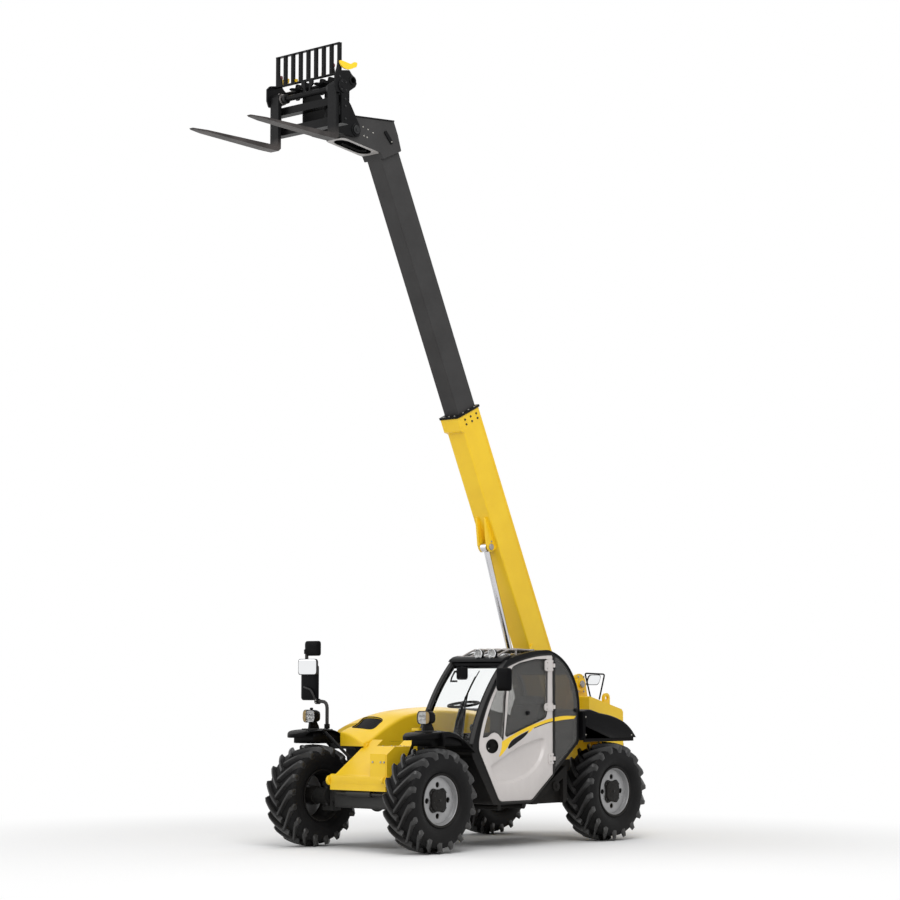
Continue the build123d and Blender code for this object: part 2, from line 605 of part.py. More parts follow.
def boom_head():
    """Goose-neck head: two cheeks, top lip, underside plate with an oval hole, and the tilt pin."""
    top = -INNER_DROP + INNER_H / 2
    low = -INNER_DROP - INNER_H / 2
    knee = (INNER_FRONT - 120, low - 8)
    cheek = [(INNER_FRONT - HEAD_BACK, low), knee, HEAD_TIP, (HEAD_TIP[0] + 45, HEAD_TIP[1]),
             (TILT_F + 193, TILT_B - 51), (TILT_F - 70, top + 22), (INNER_FRONT - 20, top + 22),
             (INNER_FRONT - HEAD_BACK, top)]
    head = boom_plate(cheek, (-HEAD_HALF, HEAD_HALF), 12)
    space = [(INNER_FRONT + 0.3, top), (INNER_FRONT + 0.3, low - 12), (knee[0] + 30, low - 14),
             (HEAD_TIP[0] + 13, HEAD_TIP[1] + 16), (TILT_F + 380, TILT_B - 30), (TILT_F + 380, top)]
    head -= boom_plate(space, (-HEAD_HALF + 22, HEAD_HALF - 22))
    run = Vector(0, knee[0] - HEAD_TIP[0], HEAD_TIP[1] - knee[1])
    middle = Vector(0, -(knee[0] + HEAD_TIP[0]) / 2, (knee[1] + HEAD_TIP[1]) / 2)
    across = Plane(origin=middle, x_dir=run, z_dir=run.cross(Vector(1, 0, 0)))
    head -= extrude(across * SlotOverall(330, 120), 45, both=True)
    sleeve = Pos(0, -(INNER_FRONT - 100), -INNER_DROP) * Box(INNER_W, 200.6, INNER_H)
    head -= fillet(sleeve.edges().filter_by(Axis.Y), 12)
    return head + bar_x(-TILT_F, TILT_B, TILT_R, (-HEAD_HALF - 44, HEAD_HALF + 44))


pieces["boom_outer"] = on_boom(outer_boom())
pieces["boom_inner"] = on_boom(inner_boom())
pieces["boom_head"] = on_boom(boom_head())


# ---- lift cylinder ----
pin_y = PIVOT_Y - LUG_F * math.cos(math.radians(BOOM_ANGLE)) + LUG_B * math.sin(math.radians(BOOM_ANGLE))
pin_z = PIVOT_Z + LUG_F * math.sin(math.radians(BOOM_ANGLE)) + LUG_B * math.cos(math.radians(BOOM_ANGLE))
cyl_reach = math.hypot(pin_y - CYL_BASE_Y, pin_z - CYL_BASE_Z)
cyl_lean = math.degrees(math.atan2(CYL_BASE_Y - pin_y, pin_z - CYL_BASE_Z))
AT_CYL = Pos(0, CYL_BASE_Y, CYL_BASE_Z) * Rot(cyl_lean, 0, 0)


def cylinder_barrel():
    """Barrel standing on its base eye at the origin, hollow for the rod."""
    barrel = bar_z(0, 0, CYL_R, (30, CYL_LEN)) + bar_x(0, 0, CYL_EYE_R, (-CYL_EYE_HALF, CYL_EYE_HALF))
    barrel += bar_z(0, 0, CYL_R + 8, (CYL_LEN - 90, CYL_LEN - 4))
    barrel -= bar_z(0, 0, CYL_R - 12, (CYL_EYE_R + 6, CYL_LEN - GLAND))
    barrel -= bar_z(0, 0, ROD_R + FIT, (CYL_LEN - GLAND - 1, CYL_LEN + 1))
    return barrel - bar_x(0, 0, CYL_PIN_R + FIT, (-CYL_EYE_HALF - 1, CYL_EYE_HALF + 1))


def cylinder_rod():
    """Rod with its piston below and its eye above, drawn from the base pin."""
    rod = bar_z(0, 0, ROD_R, (cyl_reach - ROD_LEN, cyl_reach - 30))
    rod += bar_z(0, 0, CYL_R - 13, (cyl_reach - ROD_LEN - PISTON, cyl_reach - ROD_LEN))
    return rod + bar_x(0, cyl_reach, CYL_EYE_R, (-40, 40))


pieces["lift_cylinder_barrel"] = AT_CYL * cylinder_barrel()
pieces["lift_cylinder_rod"] = AT_CYL * cylinder_rod()


# ---- carriage and forks ----
side_in = FORK_X + FORK_W / 2 + 7
side_out = side_in + 20


# the side plates' outline, forward and up from the tilt pivot
SIDE_PLATE = ((437, -70), (550, -70), (552, 240), (612, 240), (641, 303), (641, 428), (599, 467), (439, 497),
              (405, 460), (351, 425), (332, 372), (352, 335), (437, 278))


def fork_carriage():
    """Coupler cheeks on the tilt pin, cross members, and side plates that hold the fork shaft."""
    cheek = [(-55, -60), (40, -75), (300, -70), (440, 0), (440, 330), (450, 430), (360, 465), (240, 430),
             (70, 250), (-55, 60)]
    inner, outer = HEAD_HALF + 10, HEAD_HALF + 34
    frame = bar_x(*on_carriage(TUBE_F, TUBE_U), TUBE_R, (-side_out, side_out))
    for x in both_ways((inner, outer)):
        frame += carriage_plate(cheek, x, 18)
    for x in both_ways((side_in, side_out)):
        frame += carriage_plate(SIDE_PLATE, x, 14)
    for low, deep in ((-65, 90), (150, 80)):
        frame += carriage_plate([(430, low), (530, low), (530, low + deep), (430, low + deep)],
                                (-side_in, side_in))
    frame += bar_x(*on_carriage(SHAFT_F, SHAFT_U), SHAFT_R, (-side_out - 12, side_out + 12))
    for x in both_ways((side_out - 1, side_out + 8)):
        frame += bar_x(*on_carriage(SHAFT_F, SHAFT_U), 70, x)
    for x in both_ways((inner, outer)):
        frame -= bar_x(*on_carriage(0, 0), TILT_R + FIT, (x[0] - 1, x[1] + 1))
    return frame - bar_x(*on_carriage(TUBE_F, TUBE_U), TUBE_R - 9, (-side_out - 1, side_out + 1))


def load_backrest():
    """Guard of upright flats between a top rail and a lower rail that sits between the side plates."""
    half = GUARD_W / 2
    low_half = side_in - SEAT
    guard = carriage_plate([(GUARD_FACE - 20, GUARD_TOP - 12), (GUARD_FACE + 20, GUARD_TOP - 12),
                            (GUARD_FACE + 20, GUARD_TOP), (GUARD_FACE - 20, GUARD_TOP)], (-half, half))
    guard += carriage_plate([(GUARD_FACE - 20, GUARD_LOW), (GUARD_FACE + 20, GUARD_LOW),
                             (GUARD_FACE + 20, GUARD_LOW + 14), (GUARD_FACE - 20, GUARD_LOW + 14)],
                            (-low_half, low_half))
    step = (GUARD_W - BAR_W) / (GUARD_BARS - 1)
    for index in range(GUARD_BARS):
        x = (BAR_W - GUARD_W) / 2 + index * step
        guard += carriage_plate([(GUARD_FACE - 5, GUARD_LOW + 7), (GUARD_FACE + 5, GUARD_LOW + 7),
                                 (GUARD_FACE + 5, GUARD_TOP - 6), (GUARD_FACE - 5, GUARD_TOP - 6)],
                                (x - BAR_W / 2, x + BAR_W / 2))
    for x in both_ways((half - 12, low_half)):
        guard += carriage_plate([(GUARD_FACE - 20, GUARD_LOW + 7), (GUARD_FACE + 20, GUARD_LOW + 7),
                                 (GUARD_FACE + 5, GUARD_LOW + 90), (GUARD_FACE - 5, GUARD_LOW + 90)], x)
    return guard


def carriage_locks():
    """Hook-shaped locking handles on top of the side plates."""
    hook = [(323, 592), (367, 594), (411, 567), (440, 571), (570, 576), (570, 545), (530, 475), (445, 485),
            (410, 513), (337, 548)]
    rest = make_face(Polyline(*[on_carriage(*point) for point in SIDE_PLATE], close=True))
    plate = extrude(Plane.YZ * offset(rest, SEAT), 2000, both=True)
    return [carriage_plate(hook, x) - plate for x in both_ways((side_in + 2, side_out - 2))]


def fork():
    """Pallet fork with its eye on the shaft, upright shank and tapered blade, centred on x = 0."""
    face, under = FORK_FACE, FORK_UNDER
    shape = [(face - FORK_T, SHAFT_U + 20), (face - FORK_T, under + 30), (face - FORK_T + 30, under),
             (face + 150, under), (face + FORK_LEN - 20, under + FORK_HEEL - FORK_TIP),
             (face + FORK_LEN, under + FORK_HEEL - 3), (face + FORK_LEN, under + FORK_HEEL),
             (face + 25, under + FORK_HEEL), (face, under + FORK_HEEL + 25), (face, SHAFT_U + 20)]
    half = FORK_W / 2
    body = carriage_plate(shape, (-half, half))
    body += bar_x(*on_carriage(SHAFT_F + 8, SHAFT_U), 62, (-half, half))
    keep = Pos(0, on_carriage(0, 0)[0] - face - FORK_LEN / 2 + 300, TILT_Z) * Box(
        FORK_W + 2, FORK_LEN + 1000, 2000)
    tip = Pos(0, TILT_Y - face - FORK_LEN, TILT_Z) * extrude(
        make_face(Polyline((-half - 2, -1), (-half - 2, 170), (-half, 170), (-half + 34, 0), (half - 34, 0),
                           (half, 170), (half + 2, 170), (half + 2, -1), close=True)), 500, both=True)
    return (body & keep) - tip - bar_x(*on_carriage(SHAFT_F, SHAFT_U), SHAFT_R + SLIDE_GAP,
                                       (-half - 1, half + 1))


pieces["fork_carriage"] = fork_carriage()
pieces["load_backrest"] = load_backrest()
pieces["carriage_locks"] = carriage_locks()
pieces["fork_left"] = Pos(FORK_X, 0, 0) * fork()
pieces["fork_right"] = Pos(-FORK_X, 0, 0) * fork()


# ---- cab ----
CAB_ROOM = (CAB_IN + CAB_WALL + SEAT, CAB_OUT - CAB_WALL - DOOR_GAP)
SCREEN = (CAB_IN + CAB_POST, CAB_OUT - CAB_POST)
SCREEN_Z = (1120, 1944)
ROOF_Y = (1230, 1640)
REAR_LIGHT_Z = (1180, 1800)
SIDE_LIGHT_Z = 1180
COLUMN_LOW = (500, 780, 1010)
COLUMN_TOP = (500, 900, 1490)


def rounded_face(path, corners):
    """Face inside a closed path, with a fillet at each (point, radius)."""
    face = make_face(path)
    for point, radius in corners:
        face = fillet(face.vertices().sort_by_distance(point)[0], radius)
    return face


def cab_outline(inset):
    """Side view of the cab, its edge moved inwards: bowed windscreen, arched roof, round rear."""
    path = [Line((831, CAB_LOW), (1430, CAB_LOW)), Line((1430, CAB_LOW), (2230, 1082)),
            Line((2230, 1082), (2228, 1330)), ThreePointArc((2228, 1330), (2146, 1779), (1712, 2065)),
            ThreePointArc((1712, 2065), (1417, 2041), (1046, 1955)),
            ThreePointArc((1046, 1955), (729, 1571), (505, 1090)), Line((505, 1090), (500, 960)),
            Line((500, 960), (831, CAB_LOW))]
    face = rounded_face(path, (((831, CAB_LOW), 100), ((1430, CAB_LOW), 60), ((2230, 1082), 90),
                               ((500, 960), 80)))
    return offset(face, -inset) if inset else face


def cab_slab(inset, x):
    """The cab's side outline, moved in from its edge, between two x values."""
    return extrude(Plane.YZ.offset(x[0]) * cab_outline(inset), x[1] - x[0], dir=(1, 0, 0))


def roof_level(y):
    """Height of the cab's roof at one y."""
    return 1955 + (y - 1046) * 110 / 666


def door_outline(grow):
    """Side view of the door, its edge moved outwards."""
    back = DOOR_BACK - DOOR_GAP
    path = [Line((926, 489), (1429, 489)), Line((1429, 489), (1458, 510)), Line((1458, 510), (back, 751)),
            Line((back, 751), (back, 2012)), ThreePointArc((back, 2012), (1416, 1978), (1061, 1882)),
            ThreePointArc((1061, 1882), (776, 1540), (604, 1110)), Line((604, 1110), (604, 1028)),
            Line((604, 1028), (665, 926)), Line((665, 926), (852, 613)), Line((852, 613), (926, 489))]
    face = rounded_face(path, (((926, 489), 90), ((back, 751), 30), ((604, 1028), 70), ((back, 2012), 30)))
    return offset(face, grow) if grow else face


def cab_frame():
    """Cab shell with its windows and door opening cut and the hinge pins on the rear post."""
    outside = (CAB_OUT - CAB_WALL - 5, CAB_OUT + 5)
    shell = cab_slab(0, (CAB_IN, CAB_OUT))
    shell -= cab_slab(CAB_RIM, (CAB_IN + CAB_WALL, CAB_OUT - CAB_WALL))
    shell -= extrude(Plane.YZ.offset(outside[0]) * door_outline(DOOR_GAP), outside[1] - outside[0],
                     dir=(1, 0, 0))
    shell -= cab_slab(GLASS_IN, outside) & block((0, 2000), (DOOR_BACK + QUARTER_POST, 4000), (0, 3000))
    shell -= cab_slab(CAB_RIM + 30, (CAB_IN - 5, CAB_IN + CAB_WALL + 5)) & block(
        (0, 2000), (0, 4000), (SIDE_LIGHT_Z, 3000))
    shell -= block(SCREEN, (0, 1012), SCREEN_Z)
    shell -= block(SCREEN, (1950, 4000), REAR_LIGHT_Z)
    shell -= block(SCREEN, ROOF_Y, (1800, 3000))
    for z in HINGES_Z:
        shell += bar_z(HINGE_X, DOOR_BACK, 7, (z - 36, z + 36))
        for low in (z - 36, z + 22):
            shell += bar_z(HINGE_X, DOOR_BACK, 13, (low, low + 14))
            shell += block((CAB_OUT - 2, HINGE_X), (DOOR_BACK + 5, DOOR_BACK + QUARTER_POST), (low, low + 14))
    return shell


# moulded recess in the door's lower panel: its rim on the face and its smaller floor
RECESS_DEEP = 12
RECESS_RIM = ((794, 861), (999, 959), (1158, 1028), (1319, 1077), (1482, 1116), (1600, 1138), (1678, 1092),
              (1661, 1008), (1611, 904), (1529, 822), (1399, 742), (1077, 668), (895, 682), (810, 779))
RECESS_FLOOR = ((833, 850), (1010, 932), (1150, 997), (1300, 1048), (1450, 1090), (1554, 1112), (1600, 1085),
                (1600, 1009), (1553, 926), (1455, 823), (1341, 774), (1080, 727), (925, 722), (850, 790))
FRONT_LIGHT = ((664, 1151), (744, 1160), (822, 1200), (901, 1188), (975, 1118), (995, 1145), (1012, 1331),
               (1028, 1539), (1045, 1642), (1098, 1862), (1061, 1861))
MAIN_LIGHT = ((1011, 1176), (1059, 1155), (1251, 1214), (1413, 1253), (1658, 1324), (1692, 1366),
              (1709, 1535), (1713, 1853), (1728, 1938), (1679, 1969), (1498, 1968), (1254, 1925),
              (1130, 1880), (1072, 1642), (1046, 1383))


def front_light():
    """Outline of the door's front window, bowed along the windscreen."""
    return [Polyline(*FRONT_LIGHT), ThreePointArc(FRONT_LIGHT[-1], (823, 1540), FRONT_LIGHT[0])]


def main_light():
    """Outline of the door's main window."""
    return [Polyline(*MAIN_LIGHT, close=True)]


def door_panel():
    """Hinged door: moulded panel with its recess, slim frame round two windows, three hinge eyes."""
    door = extrude(Plane.YZ.offset(CAB_OUT - CAB_WALL) * door_outline(0), CAB_WALL, dir=(1, 0, 0))
    for light in (front_light(), main_light()):
        door -= extrude(Plane.YZ.offset(CAB_OUT - CAB_WALL - 5) * make_face(light), CAB_WALL + 10,
                        dir=(1, 0, 0))
    door -= loft([Plane.YZ.offset(CAB_OUT - RECESS_DEEP) * make_face(Polyline(*RECESS_FLOOR, close=True)),
                  Plane.YZ.offset(CAB_OUT + 0.01) * make_face(Polyline(*RECESS_RIM, close=True))],
                 ruled=True)
    for z in HINGES_Z:
        leaf = block((CAB_OUT - 1, CAB_OUT + 9), (DOOR_BACK - 115, DOOR_BACK - 6), (z - 21, z + 21))
        door += leaf + bar_z(HINGE_X, DOOR_BACK, 13, (z - 21, z + 21))
        door -= bar_z(HINGE_X, DOOR_BACK, 7 + FIT, (z - 40, z + 40))
    return door


def door_glass():
    """The door's two panes, in the middle of its thickness."""
    plane = Plane.YZ.offset(CAB_OUT - 30)
    return [extrude(plane * offset(make_face(light), -SEAT), GLASS_T, dir=(1, 0, 0))
            for light in (front_light(), main_light())]


def cab_band():
    """Sheet of glass all round the cab's outline, a little in from its skin."""
    wide = (SCREEN[0] + SEAT, SCREEN[1] - SEAT)
    return cab_slab(GLASS_IN, wide) - cab_slab(GLASS_IN + GLASS_T, (wide[0] - 1, wide[1] + 1))


def inside_of(span):
    """A span made smaller by the seating gap at both ends."""
    return (span[0] + SEAT, span[1] - SEAT)


def cab_glass():
    """Bowed windscreen, roof pane and right-hand pane."""
    screen = cab_band() & block((0, 2000), (0, 1012 - SEAT), inside_of(SCREEN_Z))
    roof = cab_band() & block((0, 2000), inside_of(ROOF_Y), (1800, 3000))
    right = cab_slab(CAB_RIM + 30 + SEAT, (CAB_IN + 15, CAB_IN + 15 + GLASS_T)) & block(
        (0, 2000), (0, 4000), (SIDE_LIGHT_Z + SEAT, 3000))
    return [screen, roof, right]


def quarter_glass():
    """Rear pane and the full-height pane behind the door."""
    rear = cab_band() & block((0, 2000), (1950 + SEAT, 4000), inside_of(REAR_LIGHT_Z))
    quarter = cab_slab(GLASS_IN + SEAT, (CAB_OUT - 14, CAB_OUT - 14 + GLASS_T)) & block(
        (0, 2000), (DOOR_BACK + QUARTER_POST + SEAT, 4000), (0, 3000))
    return [rear, quarter]


def cab_floor():
    """Floor plate with the seat box."""
    low = CAB_LOW + CAB_RIM
    floor = block(CAB_ROOM, (860, 1560), (low, low + 15))
    box = side_plate([(1290, low + 10), (1290, 850), (1330, 880), (1800, 880), (1800, 820), (1560, 590),
                      (1500, low + 10)], (340, 830))
    return (floor + box) & cab_slab(CAB_RIM + SEAT, CAB_ROOM)


def seat():
    """Cushion and backrest of the driver's seat."""
    cushion = fillet(block((345, 825), (1280, 1760), (880.3, 1000)).edges(), 30)
    back = side_plate([(1700, 1000.6), (1780, 1600), (1880, 1600), (1830, 1000.6)], (355, 815), 30)
    return [cushion, back]


def cab_controls():
    """Column with its tilted steering wheel, and the console behind the windscreen."""
    column = bar(COLUMN_LOW, COLUMN_TOP, 24)
    wheel = Torus(175, 14) + Cylinder(34, 40)
    for turn in (0, 120, 240):
        wheel += Rot(0, 0, turn) * block((0, 175), (-9, 9), (-5, 5))
    console = side_plate([(510, 1100), (520, 700), (880, 517), (1000, 517), (960, 700), (860, 960),
                          (790, 1100)], CAB_ROOM)
    console &= cab_slab(CAB_RIM + SEAT, CAB_ROOM)
    return [column + Pos(*COLUMN_TOP) * Rot(18, 0, 0) * wheel,
            console - bar(COLUMN_LOW, COLUMN_TOP, 24 + SEAT)]


def roof_guard():
    """Bars over the roof pane and the bracket with two work lamps."""
    front, rear = 1130, 1700
    guard = bar_x(front, roof_level(front) + 40, 11, (260, 860))
    guard += bar_x(rear, roof_level(rear) + 34, 11, (260, 860))
    for x in (300, 420, 540, 660, 780):
        guard += bar((x, front, roof_level(front) + 40), (x, rear, roof_level(rear) + 34), 9)
    posts = cab_slab(-SEAT, (200, 900))
    for y in (front, rear):
        for x in (270, 850):
            guard += bar_z(x, y, 9, (roof_level(y) - 30, roof_level(y) + 30)) - posts
    for x in (550, 740):
        guard += Pos(x, front - 30, roof_level(front) + 62) * Rot(90, 0, 0) * Cylinder(50, 60)
    return guard


pieces["cab_frame"] = cab_frame()
pieces["door_panel"] = door_panel()
pieces["door_glass"] = door_glass()
pieces["cab_glass"] = cab_glass()
pieces["quarter_glass"] = quarter_glass()
pieces["cab_floor"] = cab_floor()
pieces["seat"] = seat()
pieces["cab_controls"] = cab_controls()
pieces["roof_guard"] = roof_guard()


# ---- lamps and mirrors ----
def headlight(x, y, z):
    """Round-cornered headlamp on a bracket, facing forwards."""
    lamp = fillet(block((x - 90, x + 90), (y - 60, y + 60), (z - 68, z + 68)).edges().filter_by(Axis.Y), 44)
    foot = [(end, guard_level(end) + SEAT) for end in (y - 50, 0, y + 110)]
    return lamp + side_plate(foot + [(y + 110, guard_level(0) + 35), (y, z), (y - 50, z)], (x - 30, x + 30))


def right_mirrors():
    """Bent mast on the right guard with three mirror heads."""
    mast = bent_tube([(-817, 190, guard_level(190 - 16) + SEAT), (-817, 190, 1545), (-1000, 190, 1545),
                      (-1000, 190, 1640), (-1137, 190, 1760), (-1137, 190, 2090)], 16, 50)
    for left, right, low, high in ((-1214, -960, 1529, 1908), (-MIRROR_REACH, -985, 1801, 1972),
                                   (-1176, -937, 2005, 2165)):
        head = block((left, right), (165, 205), (low, high))
        mast += fillet(head.edges().filter_by(Axis.Y), 30)
    return mast


def left_mirror():
    """Mirror on an arm from the windscreen post."""
    head = fillet(block((MIRROR_REACH - 195, MIRROR_REACH), (750, 790), (1634, 1870)).edges().filter_by(Axis.Y),
                  20)
    arm = bar((CAB_OUT - 20, 896, 1752), (MIRROR_REACH - 150, 775, 1752), 12)
    return head + (arm & block((CAB_OUT + SEAT, MIRROR_REACH), (700, 950), (1700, 1800)))


def rear_mirror():
    """Convex mirror in a bent frame over the left rear box."""
    x, y = TANK_OUT - 25, BOX_FACE
    frame = bent_tube([(x, y + 54, 1540), (x, y - 40, 1822), (x, y + 310, 1812), (x, y + 195, 1500)], 9, 25)
    box = make_face(Polyline(*REAR_BOX, close=True))
    frame -= extrude(Plane.YZ * offset(box, SEAT), TANK_OUT, dir=(1, 0, 0))
    return frame + Pos(x, y + 90, 1752) * Rot(0, 90, 20) * Cylinder(62, 26)


pieces["headlights"] = [headlight(LAMP_X, -30, 1365), headlight(-LAMP_X, -30, 1365)]
pieces["mirrors"] = [left_mirror(), right_mirrors(), rear_mirror()]


# ---- write every piece: origin in the footprint's middle, at the height of the tyres' contact ----
os.makedirs("parts", exist_ok=True)
AT_FOOTPRINT = Pos(0, -MID_Y, TYRE_R - AXLE_Z)
for name, shape in pieces.items():
    solids = shape if isinstance(shape, list) else [shape]
    moved = [AT_FOOTPRINT * solid for solid in solids]
    export_step(Compound(children=moved) if len(moved) > 1 else moved[0], "parts/" + name + ".step")

print("nodes", len(pieces), "shift", MID_Y)
print("tilt pivot", TILT_Y - MID_Y, TILT_Z, "cylinder reach", cyl_reach, "lean", cyl_lean)
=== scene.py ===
import bmesh
import bpy
import json
import logging
import math
import numpy as np
from collections.abc import Callable
from dataclasses import dataclass, field
from enum import Enum
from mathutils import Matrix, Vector


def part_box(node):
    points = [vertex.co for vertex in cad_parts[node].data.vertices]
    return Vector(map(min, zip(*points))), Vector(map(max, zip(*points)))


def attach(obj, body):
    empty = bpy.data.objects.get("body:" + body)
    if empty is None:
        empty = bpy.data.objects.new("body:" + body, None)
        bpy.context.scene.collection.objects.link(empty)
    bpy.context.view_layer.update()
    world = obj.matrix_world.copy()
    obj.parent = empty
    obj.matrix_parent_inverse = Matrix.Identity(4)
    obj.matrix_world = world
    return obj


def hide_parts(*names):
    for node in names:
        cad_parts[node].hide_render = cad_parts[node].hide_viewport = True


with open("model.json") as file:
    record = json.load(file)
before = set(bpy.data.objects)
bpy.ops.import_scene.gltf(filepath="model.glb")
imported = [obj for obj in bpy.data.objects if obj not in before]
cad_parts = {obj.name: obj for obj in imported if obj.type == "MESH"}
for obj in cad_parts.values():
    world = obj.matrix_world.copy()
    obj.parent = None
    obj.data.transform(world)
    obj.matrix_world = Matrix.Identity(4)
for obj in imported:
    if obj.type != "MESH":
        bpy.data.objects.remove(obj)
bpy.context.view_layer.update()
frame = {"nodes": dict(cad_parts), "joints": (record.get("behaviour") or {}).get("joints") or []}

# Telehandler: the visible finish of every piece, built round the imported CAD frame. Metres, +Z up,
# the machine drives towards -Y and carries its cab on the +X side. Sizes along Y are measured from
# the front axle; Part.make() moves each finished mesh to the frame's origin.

log = logging.getLogger("telehandler")
Rows = np.ndarray
Points = np.ndarray | list | tuple


# ---------------------------------------------------------------- frame places
def joint(name: str) -> dict:
    """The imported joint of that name."""
    return next(entry for entry in frame["joints"] if entry["name"] == name)


FRONT_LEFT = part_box("front_left_tyre")
AXLE_Y = (FRONT_LEFT[0].y + FRONT_LEFT[1].y) / 2
AXLE_Z = (FRONT_LEFT[0].z + FRONT_LEFT[1].z) / 2
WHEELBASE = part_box("rear_left_tyre")[0].y - FRONT_LEFT[0].y
TRACK = FRONT_LEFT[0].x + FRONT_LEFT[1].x
SHIFT = np.array([0.0, AXLE_Y, 0.0])
PIVOT = np.array(joint("boom_lift")["pos_m"]) - SHIFT
TILT = np.array(joint("carriage_tilt")["pos_m"]) - SHIFT
BOOM_ANGLE = math.atan2(joint("boom_extension")["axis"][2], -joint("boom_extension")["axis"][1])
LUG = (1.957, -0.640)


def on_boom(points: Rows) -> Rows:
    """Move points from the boom's own frame to the machine.

    Args:
        points: rows of (x, forward along the boom, up from its pivot's line).

    Returns:
        Rows in the machine's frame: y = pivot - (f cos a - u sin a), z = pivot + f sin a + u cos a.
    """
    x, forward, up = np.moveaxis(np.asarray(points, float), -1, 0)
    cos, sin = math.cos(BOOM_ANGLE), math.sin(BOOM_ANGLE)
    return np.stack([x, PIVOT[1] - forward * cos + up * sin, PIVOT[2] + forward * sin + up * cos], -1)


def on_carriage(points: Rows) -> Rows:
    """Move rows of (x, forward, up) from the tilt pivot to the machine's frame."""
    x, forward, up = np.moveaxis(np.asarray(points, float), -1, 0)
    return np.stack([x, TILT[1] - forward, TILT[2] + up], -1)


# ---------------------------------------------------------------- surfaces
@dataclass
class Shell:
    """A surface in the making: one row per point, and faces as lists of point numbers."""

    points: Rows
    faces: list

    def mapped(self, move: Callable) -> "Shell":
        """The same faces over points that a function has moved."""
        return Shell(move(self.points), self.faces)

    def moved(self, offset: Points) -> "Shell":
        """The shell shifted by one vector."""
        return Shell(self.points + np.asarray(offset, float), self.faces)

    def mirrored(self) -> "Shell":
        """The shell on the machine's other side, its faces turned back to face outwards."""
        return Shell(self.points * (-1, 1, 1), [face[::-1] for face in self.faces])


def on_side(side: str, shell: Shell) -> Shell:
    """A shell made for the left side, kept there or turned to the right."""
    return shell if side == "left" else shell.mirrored()


def join(*shells: Shell) -> Shell:
    """All shells as one: the points in a row, the faces counted on.

    Args:
        shells: any number of shells.

    Returns:
        One shell with all their points and faces.
    """
    starts = np.cumsum([0] + [len(shell.points) for shell in shells])
    faces = [[number + start for number in face]
             for shell, start in zip(shells, starts.tolist()) for face in shell.faces]
    return Shell(np.vstack([shell.points for shell in shells]), faces)


def lattice(points: Rows, wrap_rows: bool = False, wrap_columns: bool = False) -> Shell:
    """Quads over a grid of points.

    Args:
        points: array (rows, columns, 3).
        wrap_rows: join the last row to the first.
        wrap_columns: join the last column to the first.

    Returns:
        The shell whose face (i, j) spans rows i, i + 1 and columns j, j + 1.
    """
    rows, columns = points.shape[:2]
    i = np.arange(rows if wrap_rows else rows - 1)[:, None]
    j = np.arange(columns if wrap_columns else columns - 1)[None, :]
    down, along = (i + 1) % rows, (j + 1) % columns
    corners = np.stack(np.broadcast_arrays(i * columns + j, i * columns + along,
                                           down * columns + along, down * columns + j), -1)
    return Shell(points.reshape(-1, 3), corners.reshape(-1, 4).tolist())


def smooth(points: Points, count: int, closed: bool = False) -> Rows:
    """Evenly numbered points on the Catmull-Rom curve through the given ones.

    Args:
        points: rows to pass through.
        count: rows to return.
        closed: whether the curve runs on from the last point to the first.

    Returns:
        Rows (2 b + (c - a) t + (2 a - 5 b + 4 c - d) t^2 + (3 b - a - 3 c + d) t^3) / 2 between b and c.
    """
    p = np.asarray(points, float)
    ends = (p[-1:], p[:1], p[1:2]) if closed else (2 * p[:1] - p[1:2], 2 * p[-1:] - p[-2:-1])
    p = np.vstack([ends[0], p, *ends[1:]])
    spans = len(p) - 3
    t = np.linspace(0, spans, count, endpoint=not closed)
    k = np.minimum(t.astype(int), spans - 1)
    t = (t - k)[:, None]
    a, b, c, d = p[k], p[k + 1], p[k + 2], p[k + 3]
    return 0.5 * (2 * b + (c - a) * t + (2 * a - 5 * b + 4 * c - d) * t ** 2
                  + (3 * b - a - 3 * c + d) * t ** 3)


def rounded(points: Points, radius: float, steps: int = 5, closed: bool = False) -> Rows:
    """Straight runs whose corners are replaced by short parabolas.

    Args:
        points: corner points, one row each.
        radius: how far from each corner the bend starts, at most 0.45 of the shorter run.
        steps: points on each bend.
        closed: whether the last point joins the first.

    Returns:
        Rows (1 - t)^2 A + 2 t (1 - t) P + t^2 B for each corner P, A and B being on its two runs.
    """
    p = np.asarray(points, float)
    before, after = np.roll(p, 1, 0) - p, np.roll(p, -1, 0) - p
    long_before = np.linalg.norm(before, axis=1, keepdims=True)
    long_after = np.linalg.norm(after, axis=1, keepdims=True)
    reach = np.minimum(radius, 0.45 * np.minimum(long_before, long_after))
    a, b = p + before / long_before * reach, p + after / long_after * reach
    t = np.linspace(0, 1, steps)[None, :, None]
    bends = (1 - t) ** 2 * a[:, None] + 2 * t * (1 - t) * p[:, None] + t ** 2 * b[:, None]
    if closed:
        return bends.reshape(-1, p.shape[1])
    return np.vstack([p[:1], bends[1:-1].reshape(-1, p.shape[1]), p[-1:]])


def turns(count: int) -> Rows:
    """Even angles round a full turn, the first one 0."""
    return np.linspace(0, 2 * math.pi, count, endpoint=False)


def framed(u: tuple, v: tuple, radius: float, steps: int = 4) -> Rows:
    """A rectangle between a low and a high value on two axes, its corners rounded."""
    return rounded([(u[0], v[0]), (u[1], v[0]), (u[1], v[1]), (u[0], v[1])], radius, steps, closed=True)


def oval(radius: float, straight: float, middle: float, sides: int) -> Rows:
    """Two half circles held apart by a straight run each way from the middle line's point.

    Args:
        radius: radius of the half circles.
        straight: half the straight run between them.
        middle: height of the oval's middle.
        sides: points in all.

    Returns:
        Rows (r cos t, middle + straight sign(sin t) + r sin t).
    """
    turn = turns(sides)
    return np.stack([radius * np.cos(turn),
                     middle + straight * np.sign(np.sin(turn)) + radius * np.sin(turn)], -1)


def unit(v: Rows) -> Rows:
    """Vectors along the last axis, each of length one."""
    return v / np.linalg.norm(v, axis=-1, keepdims=True)


